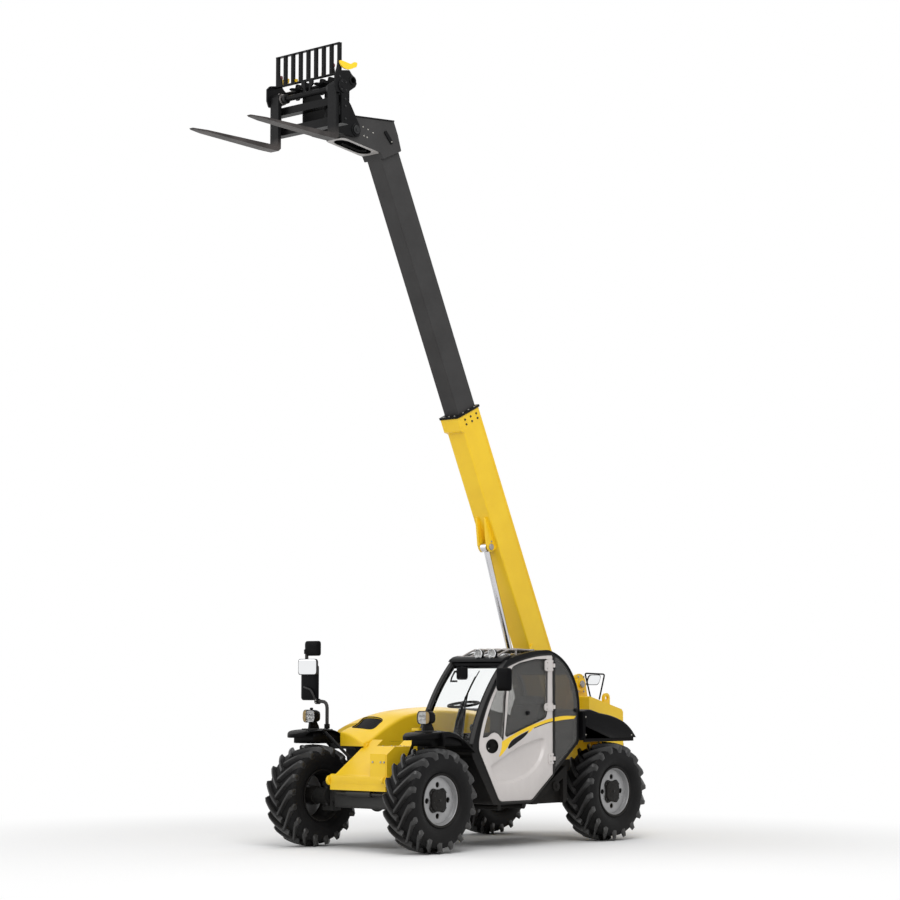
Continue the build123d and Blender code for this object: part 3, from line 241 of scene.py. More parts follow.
def square_to(axis: Points) -> tuple[Rows, Rows]:
    """Two unit vectors square to an axis and to each other.

    Args:
        axis: any direction.

    Returns:
        Two unit vectors, the first square to the axis's weakest direction.
    """
    axis = unit(np.asarray(axis, float))
    seed = np.eye(3)[np.argmin(np.abs(axis))]
    first = unit(np.cross(axis, seed))
    return first, np.cross(axis, first)


def lathe(profile: Points, centre: Points = (0, 0, 0), axis: Points = (1, 0, 0), sides: int = 64,
          ripple: Callable | None = None) -> Shell:
    """Turn a profile about an axis.

    Args:
        profile: rows of (height along the axis, radius); a radius of 0 closes an end.
        centre: a point on the axis, where height is 0.
        axis: direction of the axis.
        sides: steps in the full turn.
        ripple: function of (angle, height, radius) that returns the radius to use.

    Returns:
        Points centre + h axis + r (cos t e1 + sin t e2).
    """
    profile = np.asarray(profile, float)
    turn = turns(sides)[:, None]
    height, radius = profile[None, :, 0], profile[None, :, 1]
    radius = radius + 0 * turn if ripple is None else ripple(turn, height, radius)
    first, second = square_to(axis)
    ring = np.cos(turn)[..., None] * first + np.sin(turn)[..., None] * second
    points = np.asarray(centre) + height[..., None] * unit(np.asarray(axis, float)) + radius[..., None] * ring
    return lattice(points, wrap_rows=True)


def carry(profile: Points, path: Points, side: Points | None = None, closed: bool = False,
          scale: Rows | None = None) -> Shell:
    """Carry a closed profile along a path.

    Args:
        profile: rows of (u, v) round the section.
        path: rows of points along the way.
        side: the direction of u where it is the same all along; by default the axis that the path
            runs along least.
        closed: whether the path's end joins its start.
        scale: one factor per path point for the section's size.

    Returns:
        Points path + u * side + v * (side x tangent), with flat ends on an open path.
    """
    path, profile = np.asarray(path, float), np.asarray(profile, float)
    ahead = np.roll(path, -1, 0) - np.roll(path, 1, 0) if closed else np.gradient(path, axis=0)
    ahead = unit(ahead)
    if side is None:
        side = np.eye(3)[np.argmin(np.abs(ahead).max(0))]
    across = unit(np.asarray(side, float) - ahead * (ahead @ np.asarray(side, float))[:, None])
    up = np.cross(across, ahead)
    size = np.ones(len(path)) if scale is None else np.asarray(scale, float)
    points = (path[:, None] + (profile[None, :, 0] * size[:, None])[..., None] * across[:, None]
              + (profile[None, :, 1] * size[:, None])[..., None] * up[:, None])
    shell = lattice(points, wrap_rows=closed, wrap_columns=True)
    if not closed:
        last = len(profile) * (len(path) - 1)
        shell.faces += [list(range(len(profile)))[::-1], list(range(last, last + len(profile)))]
    return shell


def sleeve(half: float, inner: float, outer: float, centre: Points, axis: Points = (1, 0, 0),
           sides: int = 40) -> Shell:
    """A plain ring about an axis, half its length to each side of the centre."""
    return lathe([(-half, inner), (-half, outer), (half, outer), (half, inner), (-half, inner)], centre, axis,
                 sides)


def circle(radius: float, sides: int = 12) -> Rows:
    """Closed round profile."""
    turn = turns(sides)
    return radius * np.stack([np.cos(turn), np.sin(turn)], -1)


def tube(points: Points, radius: float, bend: float = 0.03, sides: int = 12) -> Shell:
    """Round bar along straight runs with bent corners."""
    return carry(circle(radius, sides), rounded(points, bend) if len(points) > 2 else points)


def fill(outlines: list) -> tuple[Rows, list]:
    """Triangles inside closed outlines; an outline within another is a hole.

    Args:
        outlines: closed rings of (u, v), the outer one first.

    Returns:
        The rings' points in a row, and triangles as lists of their numbers.
    """
    mesh = bmesh.new()
    for outline in outlines:
        ring = [mesh.verts.new((u, v, 0)) for u, v in outline]
        for start, end in zip(ring, ring[1:] + ring[:1]):
            mesh.edges.new((start, end))
    mesh.verts.index_update()
    bmesh.ops.triangle_fill(mesh, use_beauty=True, edges=mesh.edges[:], normal=(0, 0, 1))
    faces = [[vertex.index for vertex in face.verts] for face in mesh.faces]
    mesh.free()
    return np.vstack([np.asarray(outline, float) for outline in outlines]), faces


class Along(Enum):
    """The axis that a flat outline is given thickness along."""

    X = (0, 1, 2)
    Y = (1, 0, 2)
    Z = (2, 0, 1)


def slab(outline: Points, low: float, high: float, along: Along = Along.X, holes: tuple = ()) -> Shell:
    """A flat outline given thickness.

    Args:
        outline: closed rows of (u, v), the two axes left over in the order X, Y, Z.
        low, high: where the two faces lie on the axis.
        along: that axis.
        holes: outlines of openings.

    Returns:
        Both filled faces and the walls between them.
    """
    flat, caps = fill([outline, *holes])
    count = len(flat)
    points = np.zeros((2 * count, 3))
    points[:, along.value[0]] = np.repeat([low, high], count)
    points[:, along.value[1:]] = np.vstack([flat, flat])
    faces = [face[::-1] for face in caps] + [[number + count for number in face] for face in caps]
    start = 0
    for ring in (outline, *holes):
        here = np.arange(len(ring))
        ahead = np.roll(here, -1)
        faces += (start + np.stack([here, ahead, ahead + count, here + count], -1)).tolist()
        start += len(ring)
    return Shell(points, faces)


def brick(x: tuple, y: tuple, z: tuple) -> Shell:
    """Box between a low and a high value on each axis."""
    return slab([(y[0], z[0]), (y[1], z[0]), (y[1], z[1]), (y[0], z[1])], x[0], x[1])


def rod(start: Points, end: Points, radius: float, sides: int = 20) -> Shell:
    """Round bar between two points."""
    return carry(circle(radius, sides), [start, end])


def ring_of(centre: tuple, radius: float, count: int, first: float = 0.0) -> Rows:
    """Points evenly round a circle in the side view.

    Args:
        centre: x, y and z of the circle's middle.
        radius: its radius.
        count: points round it.
        first: angle of the first point.

    Returns:
        Rows (x, y + r cos t, z + r sin t).
    """
    turn = first + turns(count)
    return np.stack([np.full(count, centre[0]), centre[1] + radius * np.cos(turn),
                     centre[2] + radius * np.sin(turn)], -1)


def bolts(places: Points, axis: Points = (1, 0, 0), size: float = 0.012) -> Shell:
    """A washer and hexagon head, chamfered, at each place, its foot on the surface.

    Args:
        places: one row per bolt, on the surface.
        axis: the way the heads stand out.
        size: radius and height of the hexagon.

    Returns:
        All the washers and heads as one shell.
    """
    head = lathe([(0, 0), (0, size * 1.25), (size * 0.22, size * 1.25), (size * 0.22, 0)], axis=axis,
                 sides=14)
    nut = lathe([(size * 0.2, 0), (size * 0.2, size), (size * 0.8, size), (size, size * 0.82),
                 (size, 0)], axis=axis, sides=6)
    one = join(head, nut)
    places = np.asarray(places, float)
    points = (places[:, None] + one.points[None]).reshape(-1, 3)
    faces = np.arange(len(places))[:, None] * len(one.points)
    return Shell(points, [[number + int(start) for number in face] for start in faces[:, 0]
                          for face in one.faces])


# ---------------------------------------------------------------- finishes
class Grain(Enum):
    """The fine relief of a finish: size in cycles per metre and depth in metres."""

    ORANGE_PEEL = (420.0, 0.00006)
    MOULDED = (900.0, 0.00012)
    RUBBER = (260.0, 0.00035)
    BRUSHED = (700.0, 0.00004)
    CAST = (180.0, 0.0006)
    WOVEN = (520.0, 0.0005)
    SMOOTH = (60.0, 0.00001)


class Graph:
    """A material's node tree, written one node at a time."""

    def __init__(self, name: str) -> None:
        """Start an empty tree with its output.

        Args:
            name: the material's name.
        """
        self.material = bpy.data.materials.new(name)
        self.material.use_nodes = True
        self.tree = self.material.node_tree
        self.tree.nodes.clear()

    def node(self, kind: str, inputs: dict, **settings: object) -> bpy.types.Node:
        """Add a node.

        Args:
            kind: Blender's node name without its ShaderNode prefix.
            inputs: socket name or number to a value or to another node's output.
            settings: the node's own options.

        Returns:
            The node.
        """
        made = self.tree.nodes.new("ShaderNode" + kind)
        for option, value in settings.items():
            setattr(made, option, value)
        for socket, value in inputs.items():
            if isinstance(value, bpy.types.NodeSocket):
                self.tree.links.new(value, made.inputs[socket])
            else:
                made.inputs[socket].default_value = value
        return made

    def finish(self, shader: bpy.types.Node) -> bpy.types.Material:
        """Link the shader to the output and hand over the material.

        Args:
            shader: the node whose first output is the surface.

        Returns:
            The finished material.
        """
        out = self.node("OutputMaterial", {})
        self.tree.links.new(shader.outputs[0], out.inputs["Surface"])
        return self.material


@dataclass(frozen=True)
class Finish:
    """A paint, plastic, rubber or metal: two close shades in broad patches, a roughness that wanders
    between two values, and a fine relief. A painted one is black paint above the forks' heels."""

    name: str
    slot: str
    colour: tuple
    shade: tuple
    rough: tuple = (0.3, 0.42)
    grain: Grain = Grain.ORANGE_PEEL
    metal: float = 0.0
    coat: float = 0.0
    edge: float = 0.0015
    patch: float = 3.0
    dust: float = 0.08
    gloss: float = 0.5
    painted: bool = False

    def material(self) -> bpy.types.Material:
        """The node material of this finish, made once and shared.

        Returns:
            A mix of the two shades by broad noise, dusted near the ground, over the grain's bump.
        """
        if self.name in bpy.data.materials:
            return bpy.data.materials[self.name]
        g = Graph(self.name)
        place = g.node("TexCoord", {}).outputs["Object"]
        broad = g.node("TexNoise", {"Vector": place, "Scale": self.patch, "Detail": 4.0, "Roughness": 0.6})
        ramp = g.node("ValToRGB", {"Fac": broad.outputs["Fac"]})
        ramp.color_ramp.elements[0].position, ramp.color_ramp.elements[1].position = 0.36, 0.62
        ramp.color_ramp.elements[0].color = (*self.shade, 1)
        ramp.color_ramp.elements[1].color = (*self.colour, 1)
        height = g.node("SeparateXYZ", {"Vector": place}).outputs["Z"]
        low = g.node("MapRange", {"Value": height, "From Min": 0.1, "From Max": 1.2,
                                  "To Min": self.dust, "To Max": 0.0})
        speck = g.node("TexNoise", {"Vector": place, "Scale": 38.0, "Detail": 6.0, "Roughness": 0.7})
        film = g.node("Math", {0: low.outputs["Result"], 1: speck.outputs["Fac"]}, operation="MULTIPLY")
        dusty = g.node("Mix", {"Factor": film.outputs[0], 6: ramp.outputs["Color"],
                               7: (0.42, 0.38, 0.32, 1)}, data_type="RGBA")
        rough = g.node("MapRange", {"Value": speck.outputs["Fac"], "From Min": 0.3, "From Max": 0.7,
                                    "To Min": self.rough[0], "To Max": self.rough[1]})
        colour = dusty.outputs[2]
        if self.painted:
            above = g.node("MapRange", {"Value": height, "From Min": TILT[2] - 0.20,
                                        "From Max": TILT[2] - 0.10, "To Min": 0.0, "To Max": 1.0})
            colour = g.node("Mix", {"Factor": above.outputs["Result"], 6: colour,
                                    7: (0.010, 0.010, 0.0105, 1)}, data_type="RGBA").outputs[2]
        size, depth = self.grain.value
        bump = g.node("Bump", {"Height": self.relief(g, place, size), "Distance": depth, "Strength": 1.0})
        if self.edge:
            soft = g.node("Bevel", {"Radius": self.edge}, samples=4)
            g.tree.links.new(soft.outputs["Normal"], bump.inputs["Normal"])
        body = g.node("BsdfPrincipled", {
            "Base Color": colour, "Roughness": rough.outputs["Result"], "Metallic": self.metal,
            "Coat Weight": self.coat, "Coat Roughness": 0.12, "Specular IOR Level": self.gloss,
            "Normal": bump.outputs["Normal"]})
        return g.finish(body)

    def relief(self, g: Graph, place: bpy.types.NodeSocket, size: float) -> bpy.types.NodeSocket:
        """The height pattern of the grain: noise, drawn out for brushed metal, threads for cloth.

        Args:
            g: the material's node tree.
            place: the point on the piece.
            size: cycles per metre.

        Returns:
            The output that gives the height.
        """
        if self.grain is Grain.BRUSHED:
            place = g.node("Mapping", {"Vector": place, "Scale": (0.06, 1.0, 1.0)}).outputs["Vector"]
        if self.grain is Grain.WOVEN:
            warp = g.node("TexWave", {"Vector": place, "Scale": size / 6}, bands_direction="X")
            weft = g.node("TexWave", {"Vector": place, "Scale": size / 6}, bands_direction="Y")
            return g.node("Math", {0: warp.outputs["Fac"], 1: weft.outputs["Fac"]},
                          operation="MULTIPLY").outputs[0]
        if self.grain in (Grain.MOULDED, Grain.RUBBER):
            cells = g.node("TexVoronoi", {"Vector": place, "Scale": size})
            return cells.outputs["Distance"]
        noise = g.node("TexNoise", {"Vector": place, "Scale": size, "Detail": 3.0})
        return noise.outputs["Fac"]


@dataclass(frozen=True)
class Glazing:
    """Tinted glass or a clear lens: what passes takes the tint."""

    name: str
    slot: str
    tint: tuple
    rough: float = 0.02
    through: float = 1.0

    def material(self) -> bpy.types.Material:
        """The node material of this glass, with a faint haze of wiped dust in its roughness.

        Returns:
            A tinted shader that lets a share of the light through.
        """
        if self.name in bpy.data.materials:
            return bpy.data.materials[self.name]
        g = Graph(self.name)
        place = g.node("TexCoord", {}).outputs["Object"]
        haze = g.node("TexNoise", {"Vector": place, "Scale": 9.0, "Detail": 5.0})
        rough = g.node("MapRange", {"Value": haze.outputs["Fac"], "From Min": 0.35, "From Max": 0.75,
                                    "To Min": self.rough, "To Max": self.rough + 0.05})
        wave = g.node("Bump", {"Height": haze.outputs["Fac"], "Distance": 0.0002})
        return g.finish(g.node("BsdfPrincipled", {
            "Base Color": (*self.tint, 1), "Roughness": rough.outputs["Result"], "IOR": 1.2,
            "Transmission Weight": self.through, "Normal": wave.outputs["Normal"]}))


YELLOW = Finish("yellow_enamel", "yellow_paint", (0.90, 0.59, 0.016), (0.86, 0.55, 0.013), (0.30, 0.38),
                coat=0.12, gloss=0.35)
BLACK = Finish("black_enamel", "black_paint", (0.0055, 0.0055, 0.006), (0.0035, 0.0035, 0.004),
               (0.32, 0.44), gloss=0.09)
DARK = Finish("dark_grey_enamel", "dark_grey_paint", (0.038, 0.037, 0.037), (0.031, 0.030, 0.030),
              (0.40, 0.52), gloss=0.2)
PALE = Finish("light_grey_enamel", "light_grey_paint", (0.60, 0.565, 0.55), (0.56, 0.525, 0.51),
              (0.26, 0.36), coat=0.15)
SILVER = Finish("wheel_silver", "silver_paint", (0.34, 0.34, 0.345), (0.27, 0.27, 0.275), (0.26, 0.38),
                metal=0.35)
MOULDED = Finish("black_moulding", "black_plastic", (0.0035, 0.0035, 0.004), (0.0022, 0.0022, 0.0026),
                 (0.40, 0.52),
                 Grain.MOULDED, gloss=0.06)
RUBBER = Finish("casing_rubber", "tyre_rubber", (0.0085, 0.0085, 0.009), (0.0055, 0.0055, 0.006),
                (0.44, 0.58),
                Grain.RUBBER, edge=0.003, dust=0.018, gloss=0.09)
# The tyre's rubber made lighter than the casing's for the lugs: painted highlight on the lug tops.
LUG_HIGHLIGHT_RUBBER = Finish("tread_rubber", "tyre_rubber", (0.021, 0.021, 0.022), (0.012, 0.012, 0.0125), (0.34, 0.46),
               Grain.RUBBER, edge=0.004, dust=0.06, gloss=0.42)
SEAL = Finish("rubber_seal", "black_plastic", (0.008, 0.008, 0.008), (0.005, 0.005, 0.005), (0.5, 0.65),
              Grain.RUBBER, edge=0, gloss=0.3)
CAST = Finish("grey_casting", "cast_grey", (0.011, 0.0115, 0.012), (0.007, 0.0075, 0.008), (0.45, 0.6),
              Grain.CAST, gloss=0.35)
STEEL = Finish("worn_steel", "bare_steel", (0.36, 0.34, 0.33), (0.27, 0.25, 0.24), (0.35, 0.52),
               Grain.BRUSHED, metal=0.8)
BOLT = Finish("zinc_bolt", "bare_steel", (0.42, 0.41, 0.38), (0.34, 0.33, 0.30), (0.3, 0.45), Grain.BRUSHED,
              metal=0.9)
CHROME = Finish("polished_rod", "chrome_rod", (0.62, 0.62, 0.64), (0.56, 0.56, 0.58), (0.10, 0.18),
                Grain.SMOOTH, metal=1.0)
CLOTH = Finish("seat_cloth", "seat_fabric", (0.022, 0.022, 0.024), (0.014, 0.014, 0.015), (0.8, 0.95),
               Grain.WOVEN, edge=0)
RED = Finish("red_knob", "black_plastic", (0.20, 0.025, 0.03), (0.15, 0.018, 0.02), (0.3, 0.4))
# The door's light grey paint, made darker for the head's underplate: painted shade.
PALE_IN_PAINTED_SHADE = Finish("plate_grey_enamel", "light_grey_paint", (0.40, 0.385, 0.375), (0.33, 0.315, 0.305),
               (0.32, 0.44), gloss=0.3)
# Black without gloss for the ring inside the head's opening: painted shade, so the opening reads dark.
OPENING_SHADE = Finish("opening_black", "black_plastic", (0.003, 0.003, 0.0032), (0.002, 0.002, 0.0022),
                (0.6, 0.7), gloss=0.0)
TINT = Glazing("smoked_glass", "tinted_glass", (0.35, 0.345, 0.335), through=0.84)
CLEAR = Glazing("clear_glass", "tinted_glass", (0.97, 0.98, 0.98))
LENS = Glazing("lamp_lens", "lamp_plastic", (0.95, 0.96, 0.97), 0.04)
AMBER = Glazing("amber_lens", "lamp_plastic", (0.50, 0.36, 0.16), 0.12, 0.35)
TAIL = Glazing("red_lens", "lamp_plastic", (0.75, 0.05, 0.04), 0.08, 0.6)
FORK = Finish("fork_steel", "bare_steel", (0.085, 0.076, 0.073), (0.042, 0.038, 0.037), (0.36, 0.5),
              Grain.BRUSHED, metal=0.3, gloss=0.12, painted=True)
SHINE = Finish("mirror_silver", "chrome_rod", (0.86, 0.87, 0.88), (0.84, 0.85, 0.86), (0.02, 0.04),
               Grain.SMOOTH, metal=1.0, edge=0)
REFLECTOR = Finish("lamp_reflector", "lamp_plastic", (0.55, 0.54, 0.52), (0.42, 0.41, 0.40), (0.22, 0.32),
                   Grain.SMOOTH, metal=0.1, edge=0)


WELD = 1e-5


def raised(name: str, shell: Shell, weld: float = 0.0) -> bpy.types.Mesh:
    """A mesh at the frame's origin, its faces turned outwards.

    Args:
        name: the mesh's name.
        shell: the surface, measured from the front axle.
        weld: points closer together than this become one; 0 leaves them all.

    Returns:
        The mesh.
    """
    data = bpy.data.meshes.new(name)
    data.from_pydata((shell.points + SHIFT).tolist(), [], shell.faces)
    mesh = bmesh.new()
    mesh.from_mesh(data)
    if weld:
        bmesh.ops.remove_doubles(mesh, verts=mesh.verts, dist=weld)
    bmesh.ops.recalc_face_normals(mesh, faces=mesh.faces)
    mesh.to_mesh(data)
    mesh.free()
    return data


def placed(name: str, data: bpy.types.ID) -> bpy.types.Object:
    """A new object of the scene that shows some data.

    Args:
        name: the object's name.
        data: its mesh, lamp or camera.

    Returns:
        The object, linked to the scene.
    """
    made = bpy.data.objects.new(name, data)
    bpy.context.scene.collection.objects.link(made)
    return made


def shade(data: bpy.types.Mesh, angle: float) -> None:
    """Shade a mesh smooth, with a hard edge wherever it turns by more than an angle in degrees."""
    data.shade_smooth()
    data.set_sharp_from_angle(angle=math.radians(angle))


@dataclass
class Part:
    """One visible piece: its surface, the body it rides on and how its edges are finished."""

    name: str
    body: str
    finish: Finish | Glazing
    slot: str | None = None
    bevel: float = 0.0
    thick: float = 0.0
    angle: float = 32.0
    replaces: tuple = ()

    def make(self, *shells: Shell) -> bpy.types.Object:
        """Build the object from its shells, closed, outward and in place.

        Args:
            shells: surfaces measured from the front axle.

        Returns:
            The object, at the origin, riding its body.
        """
        data = raised(self.name, join(*shells), WELD)
        shade(data, self.angle)
        data.materials.append(self.finish.material())
        made = placed(self.name, data)
        if self.thick:
            wall = made.modifiers.new("wall", "SOLIDIFY")
            wall.thickness, wall.offset = self.thick, -1.0
        if self.bevel:
            edge = made.modifiers.new("edge", "BEVEL")
            edge.width, edge.segments, edge.limit_method = self.bevel, 2, "ANGLE"
            edge.angle_limit, edge.harden_normals = math.radians(35), True
        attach(made, self.body)
        if self.replaces:
            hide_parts(*self.replaces)
        log.info("%s: %d faces on %s", self.name, len(data.polygons), self.body)
        return made


def dress(finish: Finish | Glazing, *nodes: str) -> None:
    """Give CAD nodes their finish.

    Args:
        finish: what the nodes are made of.
        nodes: names of CAD nodes.
    """
    for name in nodes:
        slots = frame["nodes"][name].data.materials
        slots.clear()
        slots.append(finish.material())
        log.info("%s: dressed in %s", name, finish.name)


# ---------------------------------------------------------------- wheels
@dataclass
class Wheel:
    """A lugged tyre on its silver rim with the black planetary hub, built for the left side."""

    corner: str
    centre: tuple
    side: str
    crown: float = 0.5349
    shoulder: float = 0.186
    lugs: int = 18
    sweep: float = 0.44
    lug_half: float = 0.017
    hub: float = 0.115
    lobe: float = 0.018
    holes: int = 4

    def place(self, shell: Shell) -> Shell:
        """Move a shell made round the origin to this wheel."""
        return on_side(self.side, shell).moved(self.centre)

    def casing(self) -> Shell:
        """Tyre casing: a smooth closed profile turned about the axle.

        Returns:
            The outside and its mirror image, with two fine ridges of Gaussian section, closed inside.
        """
        half = [(0.0, 0.489), (0.075, 0.487), (0.135, 0.480), (0.163, 0.470), (0.179, 0.450), (0.189, 0.420),
                (0.1925, 0.385), (0.190, 0.352), (0.181, 0.322), (0.169, 0.300), (0.158, 0.286),
                (0.151, 0.276)]
        outside = smooth(half, 44)
        ridge = 0.0025 * np.exp(-((outside[:, 1] - 0.305) / 0.004) ** 2)
        ridge += 0.002 * np.exp(-((outside[:, 1] - 0.432) / 0.004) ** 2)
        outside[:, 0] += ridge
        inside = np.array([(0.149, 0.262), (0.10, 0.262)])
        right = np.vstack([outside, inside])
        left = right[::-1] * (-1, 1)
        return lathe(np.vstack([left[:-1], right]), sides=144)

    def lug_rows(self) -> tuple[Rows, ...]:
        """Base and top of a lug from the middle of the tread, over the shoulder, to the sidewall.

        Returns:
            Columns of base x and radius, top x and radius, turn about the axle, and half width.
        """
        x = np.linspace(-0.010, self.shoulder - 0.012, 9)
        share = (x - x[0]) / (x[-1] - x[0])
        base_r = 0.480 - 0.016 * (x / 0.17) ** 2
        top_r = self.crown - 0.0235 * (x / self.shoulder) ** 2
        turn = -self.sweep * (0.72 * share + 0.28 * share ** 2)
        half = self.lug_half * (1 + 0.35 * share ** 2)
        tail = np.array([(0.172, 0.455, 0.1945, 0.498), (0.180, 0.440, 0.1995, 0.478),
                         (0.184, 0.420, 0.1985, 0.455), (0.184, 0.400, 0.1920, 0.432)])
        tail_turn = turn[-1] - np.array([0.012, 0.018, 0.020, 0.020])
        tail_half = half[-1] * np.array([1.0, 0.95, 0.85, 0.7])
        return (np.r_[x, tail[:, 0]], np.r_[base_r, tail[:, 1]], np.r_[x, tail[:, 2]],
                np.r_[top_r, tail[:, 3]], np.r_[turn, tail_turn], np.r_[half, tail_half])

    def tread(self) -> Shell:
        """All lugs: sections (base, chamfer, top) carried along the lug, repeated round the tyre.

        Returns:
            One lattice per lug, at angle turn + half width / radius, half a step apart between sides.
        """
        base_x, base_r, top_x, top_r, turn, half = self.lug_rows()
        across = np.array([-1.7, -1.0, -0.82, 0.82, 1.0, 1.7])
        rise = np.array([0.0, 0.86, 1.0, 1.0, 0.86, 0.0])
        x = base_x[:, None] + (top_x - base_x)[:, None] * rise
        r = base_r[:, None] + (top_r - base_r)[:, None] * rise
        angle = turn[:, None] + half[:, None] * across / r
        starts = turns(self.lugs)
        one = []
        for side, lag in ((1, 0.0), (-1, math.pi / self.lugs)):
            turned = angle[None] + (starts + lag)[:, None, None]
            grid = np.stack([side * x + 0 * turned, -r * np.sin(turned), r * np.cos(turned)], -1)
            for lug in grid:
                shell = lattice(lug)
                columns, rows = len(across), len(base_x)
                shell.faces += [list(range(columns)), list(range(columns * (rows - 1), columns * rows))]
                one.append(shell)
        return join(*one)

    def dish(self) -> Shell:
        """Wheel disc with its round holes, and the barrel out to the rolled lip.

        Returns:
            The drilled disc and the turned barrel, as one shell.
        """
        turn = turns(72)
        ring = np.stack([np.cos(turn), np.sin(turn)], -1)
        spots = [0.157 * np.array([math.cos(a), math.sin(a)])
                 for a in np.arange(self.holes) * 2 * math.pi / self.holes + math.pi / 2]
        openings = [spot + 0.029 * ring[::3] for spot in spots]
        disc = slab(0.232 * ring, 0.094, 0.106, Along.X, (0.09 * ring[::-1], *openings))
        barrel = [(0.092, 0.224), (0.096, 0.229), (0.112, 0.235), (0.132, 0.239), (0.149, 0.244),
                  (0.154, 0.248), (0.151, 0.2505), (0.134, 0.246), (0.110, 0.242), (0.092, 0.237),
                  (0.088, 0.230)]
        return join(disc, lathe(np.vstack([smooth(barrel, 60, closed=True), barrel[:1]]), sides=96))

    def flange(self) -> Shell:
        """Dark rim flange that holds the bead, and the inner barrel.

        Returns:
            The closed profile turned about the axle.
        """
        lip = [(0.1440, 0.256), (0.1540, 0.262), (0.1560, 0.2735), (0.1600, 0.2738), (0.1622, 0.270),
               (0.1622, 0.264), (0.1560, 0.2530), (0.1500, 0.2500), (0.10, 0.2430), (0.0, 0.243),
               (-0.10, 0.243), (-0.150, 0.250), (-0.1622, 0.264), (-0.1622, 0.270), (-0.1600, 0.2738),
               (-0.1560, 0.2735), (-0.1540, 0.262), (-0.1440, 0.256), (-0.1, 0.2515), (0.06, 0.2515),
               (0.1440, 0.256)]
        return lathe(lip, sides=96)

    def hub_drum(self) -> Shell:
        """Planetary hub: a lobed bolt flange at the disc, then a chamfered drum and its cap.

        Returns:
            The profile turned about the axle, its radius rippled by lobed.
        """
        def lobed(turn: Rows, height: Rows, radius: Rows) -> Rows:
            """Square the flange and the drum off, by the cosine of four times the turn.

            Args:
                turn: angle about the axle.
                height: place along the axle.
                radius: radius of the plain profile.

            Returns:
                The radius, less the lobe's depth times the clipped cosine.
            """
            wave = np.clip(np.cos(4 * turn) * 1.3, -1, 1)
            flange = (height < 0.1185) * (height > 0.10) * (radius > 0.118)
            return radius - (flange * self.lobe + (height > 0.1185) * (radius > 0.10) * self.lobe / 3) * wave

        profile = [(-0.079, 0.0), (-0.079, 0.095), (-0.03, 0.100), (0.090, 0.102), (0.1015, 0.128),
                   (0.113, 0.130), (0.118, 0.124), (0.119, self.hub), (0.130, self.hub),
                   (0.135, self.hub - 0.008), (0.136, 0.096), (0.136, 0.074), (0.1372, 0.070),
                   (0.1382, 0.062), (0.1382, 0.030), (0.139, 0.026), (0.139, 0.0)]
        return lathe(profile, sides=120, ripple=lobed)

    def put(self, tail: str, finish: Finish, shell: Shell, **options: object) -> None:
        """Make one piece of this wheel, given for the left side round the origin."""
        Part(f"{self.corner}_{tail}", self.corner + "_wheel", finish, **options).make(self.place(shell))

    def build(self) -> None:
        """Make this corner's tyre, rim, hub and fastenings."""
        self.put("tyre_casing", RUBBER, self.casing(), angle=38, replaces=(self.corner + "_tyre",))
        # The lugs take the lighter rubber: painted highlight.
        self.put("tyre_lugs", LUG_HIGHLIGHT_RUBBER, self.tread(), angle=38)
        self.put("rim_dish", SILVER, self.dish(), replaces=(self.corner + "_rim",))
        self.put("rim_flange", BLACK, self.flange())
        self.put("hub_drum", BLACK, self.hub_drum(), angle=28)
        nuts = join(*[bolts(ring_of((0.1165, 0, 0), 0.134, 4, math.pi / 4 + turn), size=0.0085)
                      for turn in (-0.17, 0.17)])
        caps = bolts(ring_of((0.1355, 0, 0), 0.086, 8, 0.2), size=0.005)
        plug = bolts([(0.1385, 0, 0)], size=0.012)
        self.put("wheel_nuts", CAST, join(nuts, caps, plug))


# ---------------------------------------------------------------- shapes shared by the bodywork
def arc(start: Points, through: Points, end: Points, count: int = 16) -> Rows:
    """Points on the circle through three points of a plane.

    Args:
        start, through, end: rows of two numbers.
        count: points to return, ends included.

    Returns:
        Centre + radius (cos t, sin t), t running from the start past the middle point to the end.
    """
    a, b, c = (np.asarray(p, float) for p in (start, through, end))
    system = 2 * np.array([b - a, c - a])
    centre = np.linalg.solve(system, [b @ b - a @ a, c @ c - a @ a])
    first, middle, last = (math.atan2(*(p - centre)[::-1]) for p in (a, b, c))
    way = (last - first) % (2 * math.pi)
    if (middle - first) % (2 * math.pi) > way:
        way -= 2 * math.pi
    t = first + way * np.linspace(0, 1, count)
    return centre + np.linalg.norm(a - centre) * np.stack([np.cos(t), np.sin(t)], -1)


def bend(before: Points, corner: Points, after: Points, reach: float, count: int = 7) -> Rows:
    """A rounded corner: (1 - t)^2 A + 2 t (1 - t) P + t^2 B, A and B a set reach from the corner.

    Args:
        before: the point before the corner.
        corner: the corner itself.
        after: the point after it.
        reach: how far from the corner the bend starts.
        count: rows to return.

    Returns:
        Rows from A to B.
    """
    p, q, r = (np.asarray(v, float) for v in (corner, before, after))
    reach = min(reach, 0.45 * np.linalg.norm(q - p), 0.9 * np.linalg.norm(r - p))
    a, b = p + reach * unit(q - p), p + reach * unit(r - p)
    t = np.linspace(0, 1, count)[:, None]
    return (1 - t) ** 2 * a + 2 * t * (1 - t) * p + t ** 2 * b


def at_x(rows: Points, x: float) -> Rows:
    """Side-view rows of (y, z) as points at one x."""
    rows = np.asarray(rows, float)
    return np.column_stack([np.full(len(rows), x), rows])


def skin(outlines: list, x: float) -> Shell:
    """A filled side-view face at one x; outlines within the first are holes."""
    flat, faces = fill(outlines)
    return Shell(at_x(flat, x), faces)


def between(first: Rows, last: Rows) -> Shell:
    """The wall from one closed ring to another with as many points."""
    return lattice(np.stack([first, last]), wrap_columns=True)


def rings(*loops: Rows) -> Shell:
    """A surface through closed rings with equal point counts, its two ends filled.

    Args:
        loops: rings of points, in order.

    Returns:
        The shell through them.
    """
    grid = np.stack(loops)
    shell = lattice(grid, wrap_columns=True)
    count, last = grid.shape[1], grid.shape[1] * (len(grid) - 1)
    shell.faces += [list(range(count))[::-1], list(range(last, last + count))]
    return shell


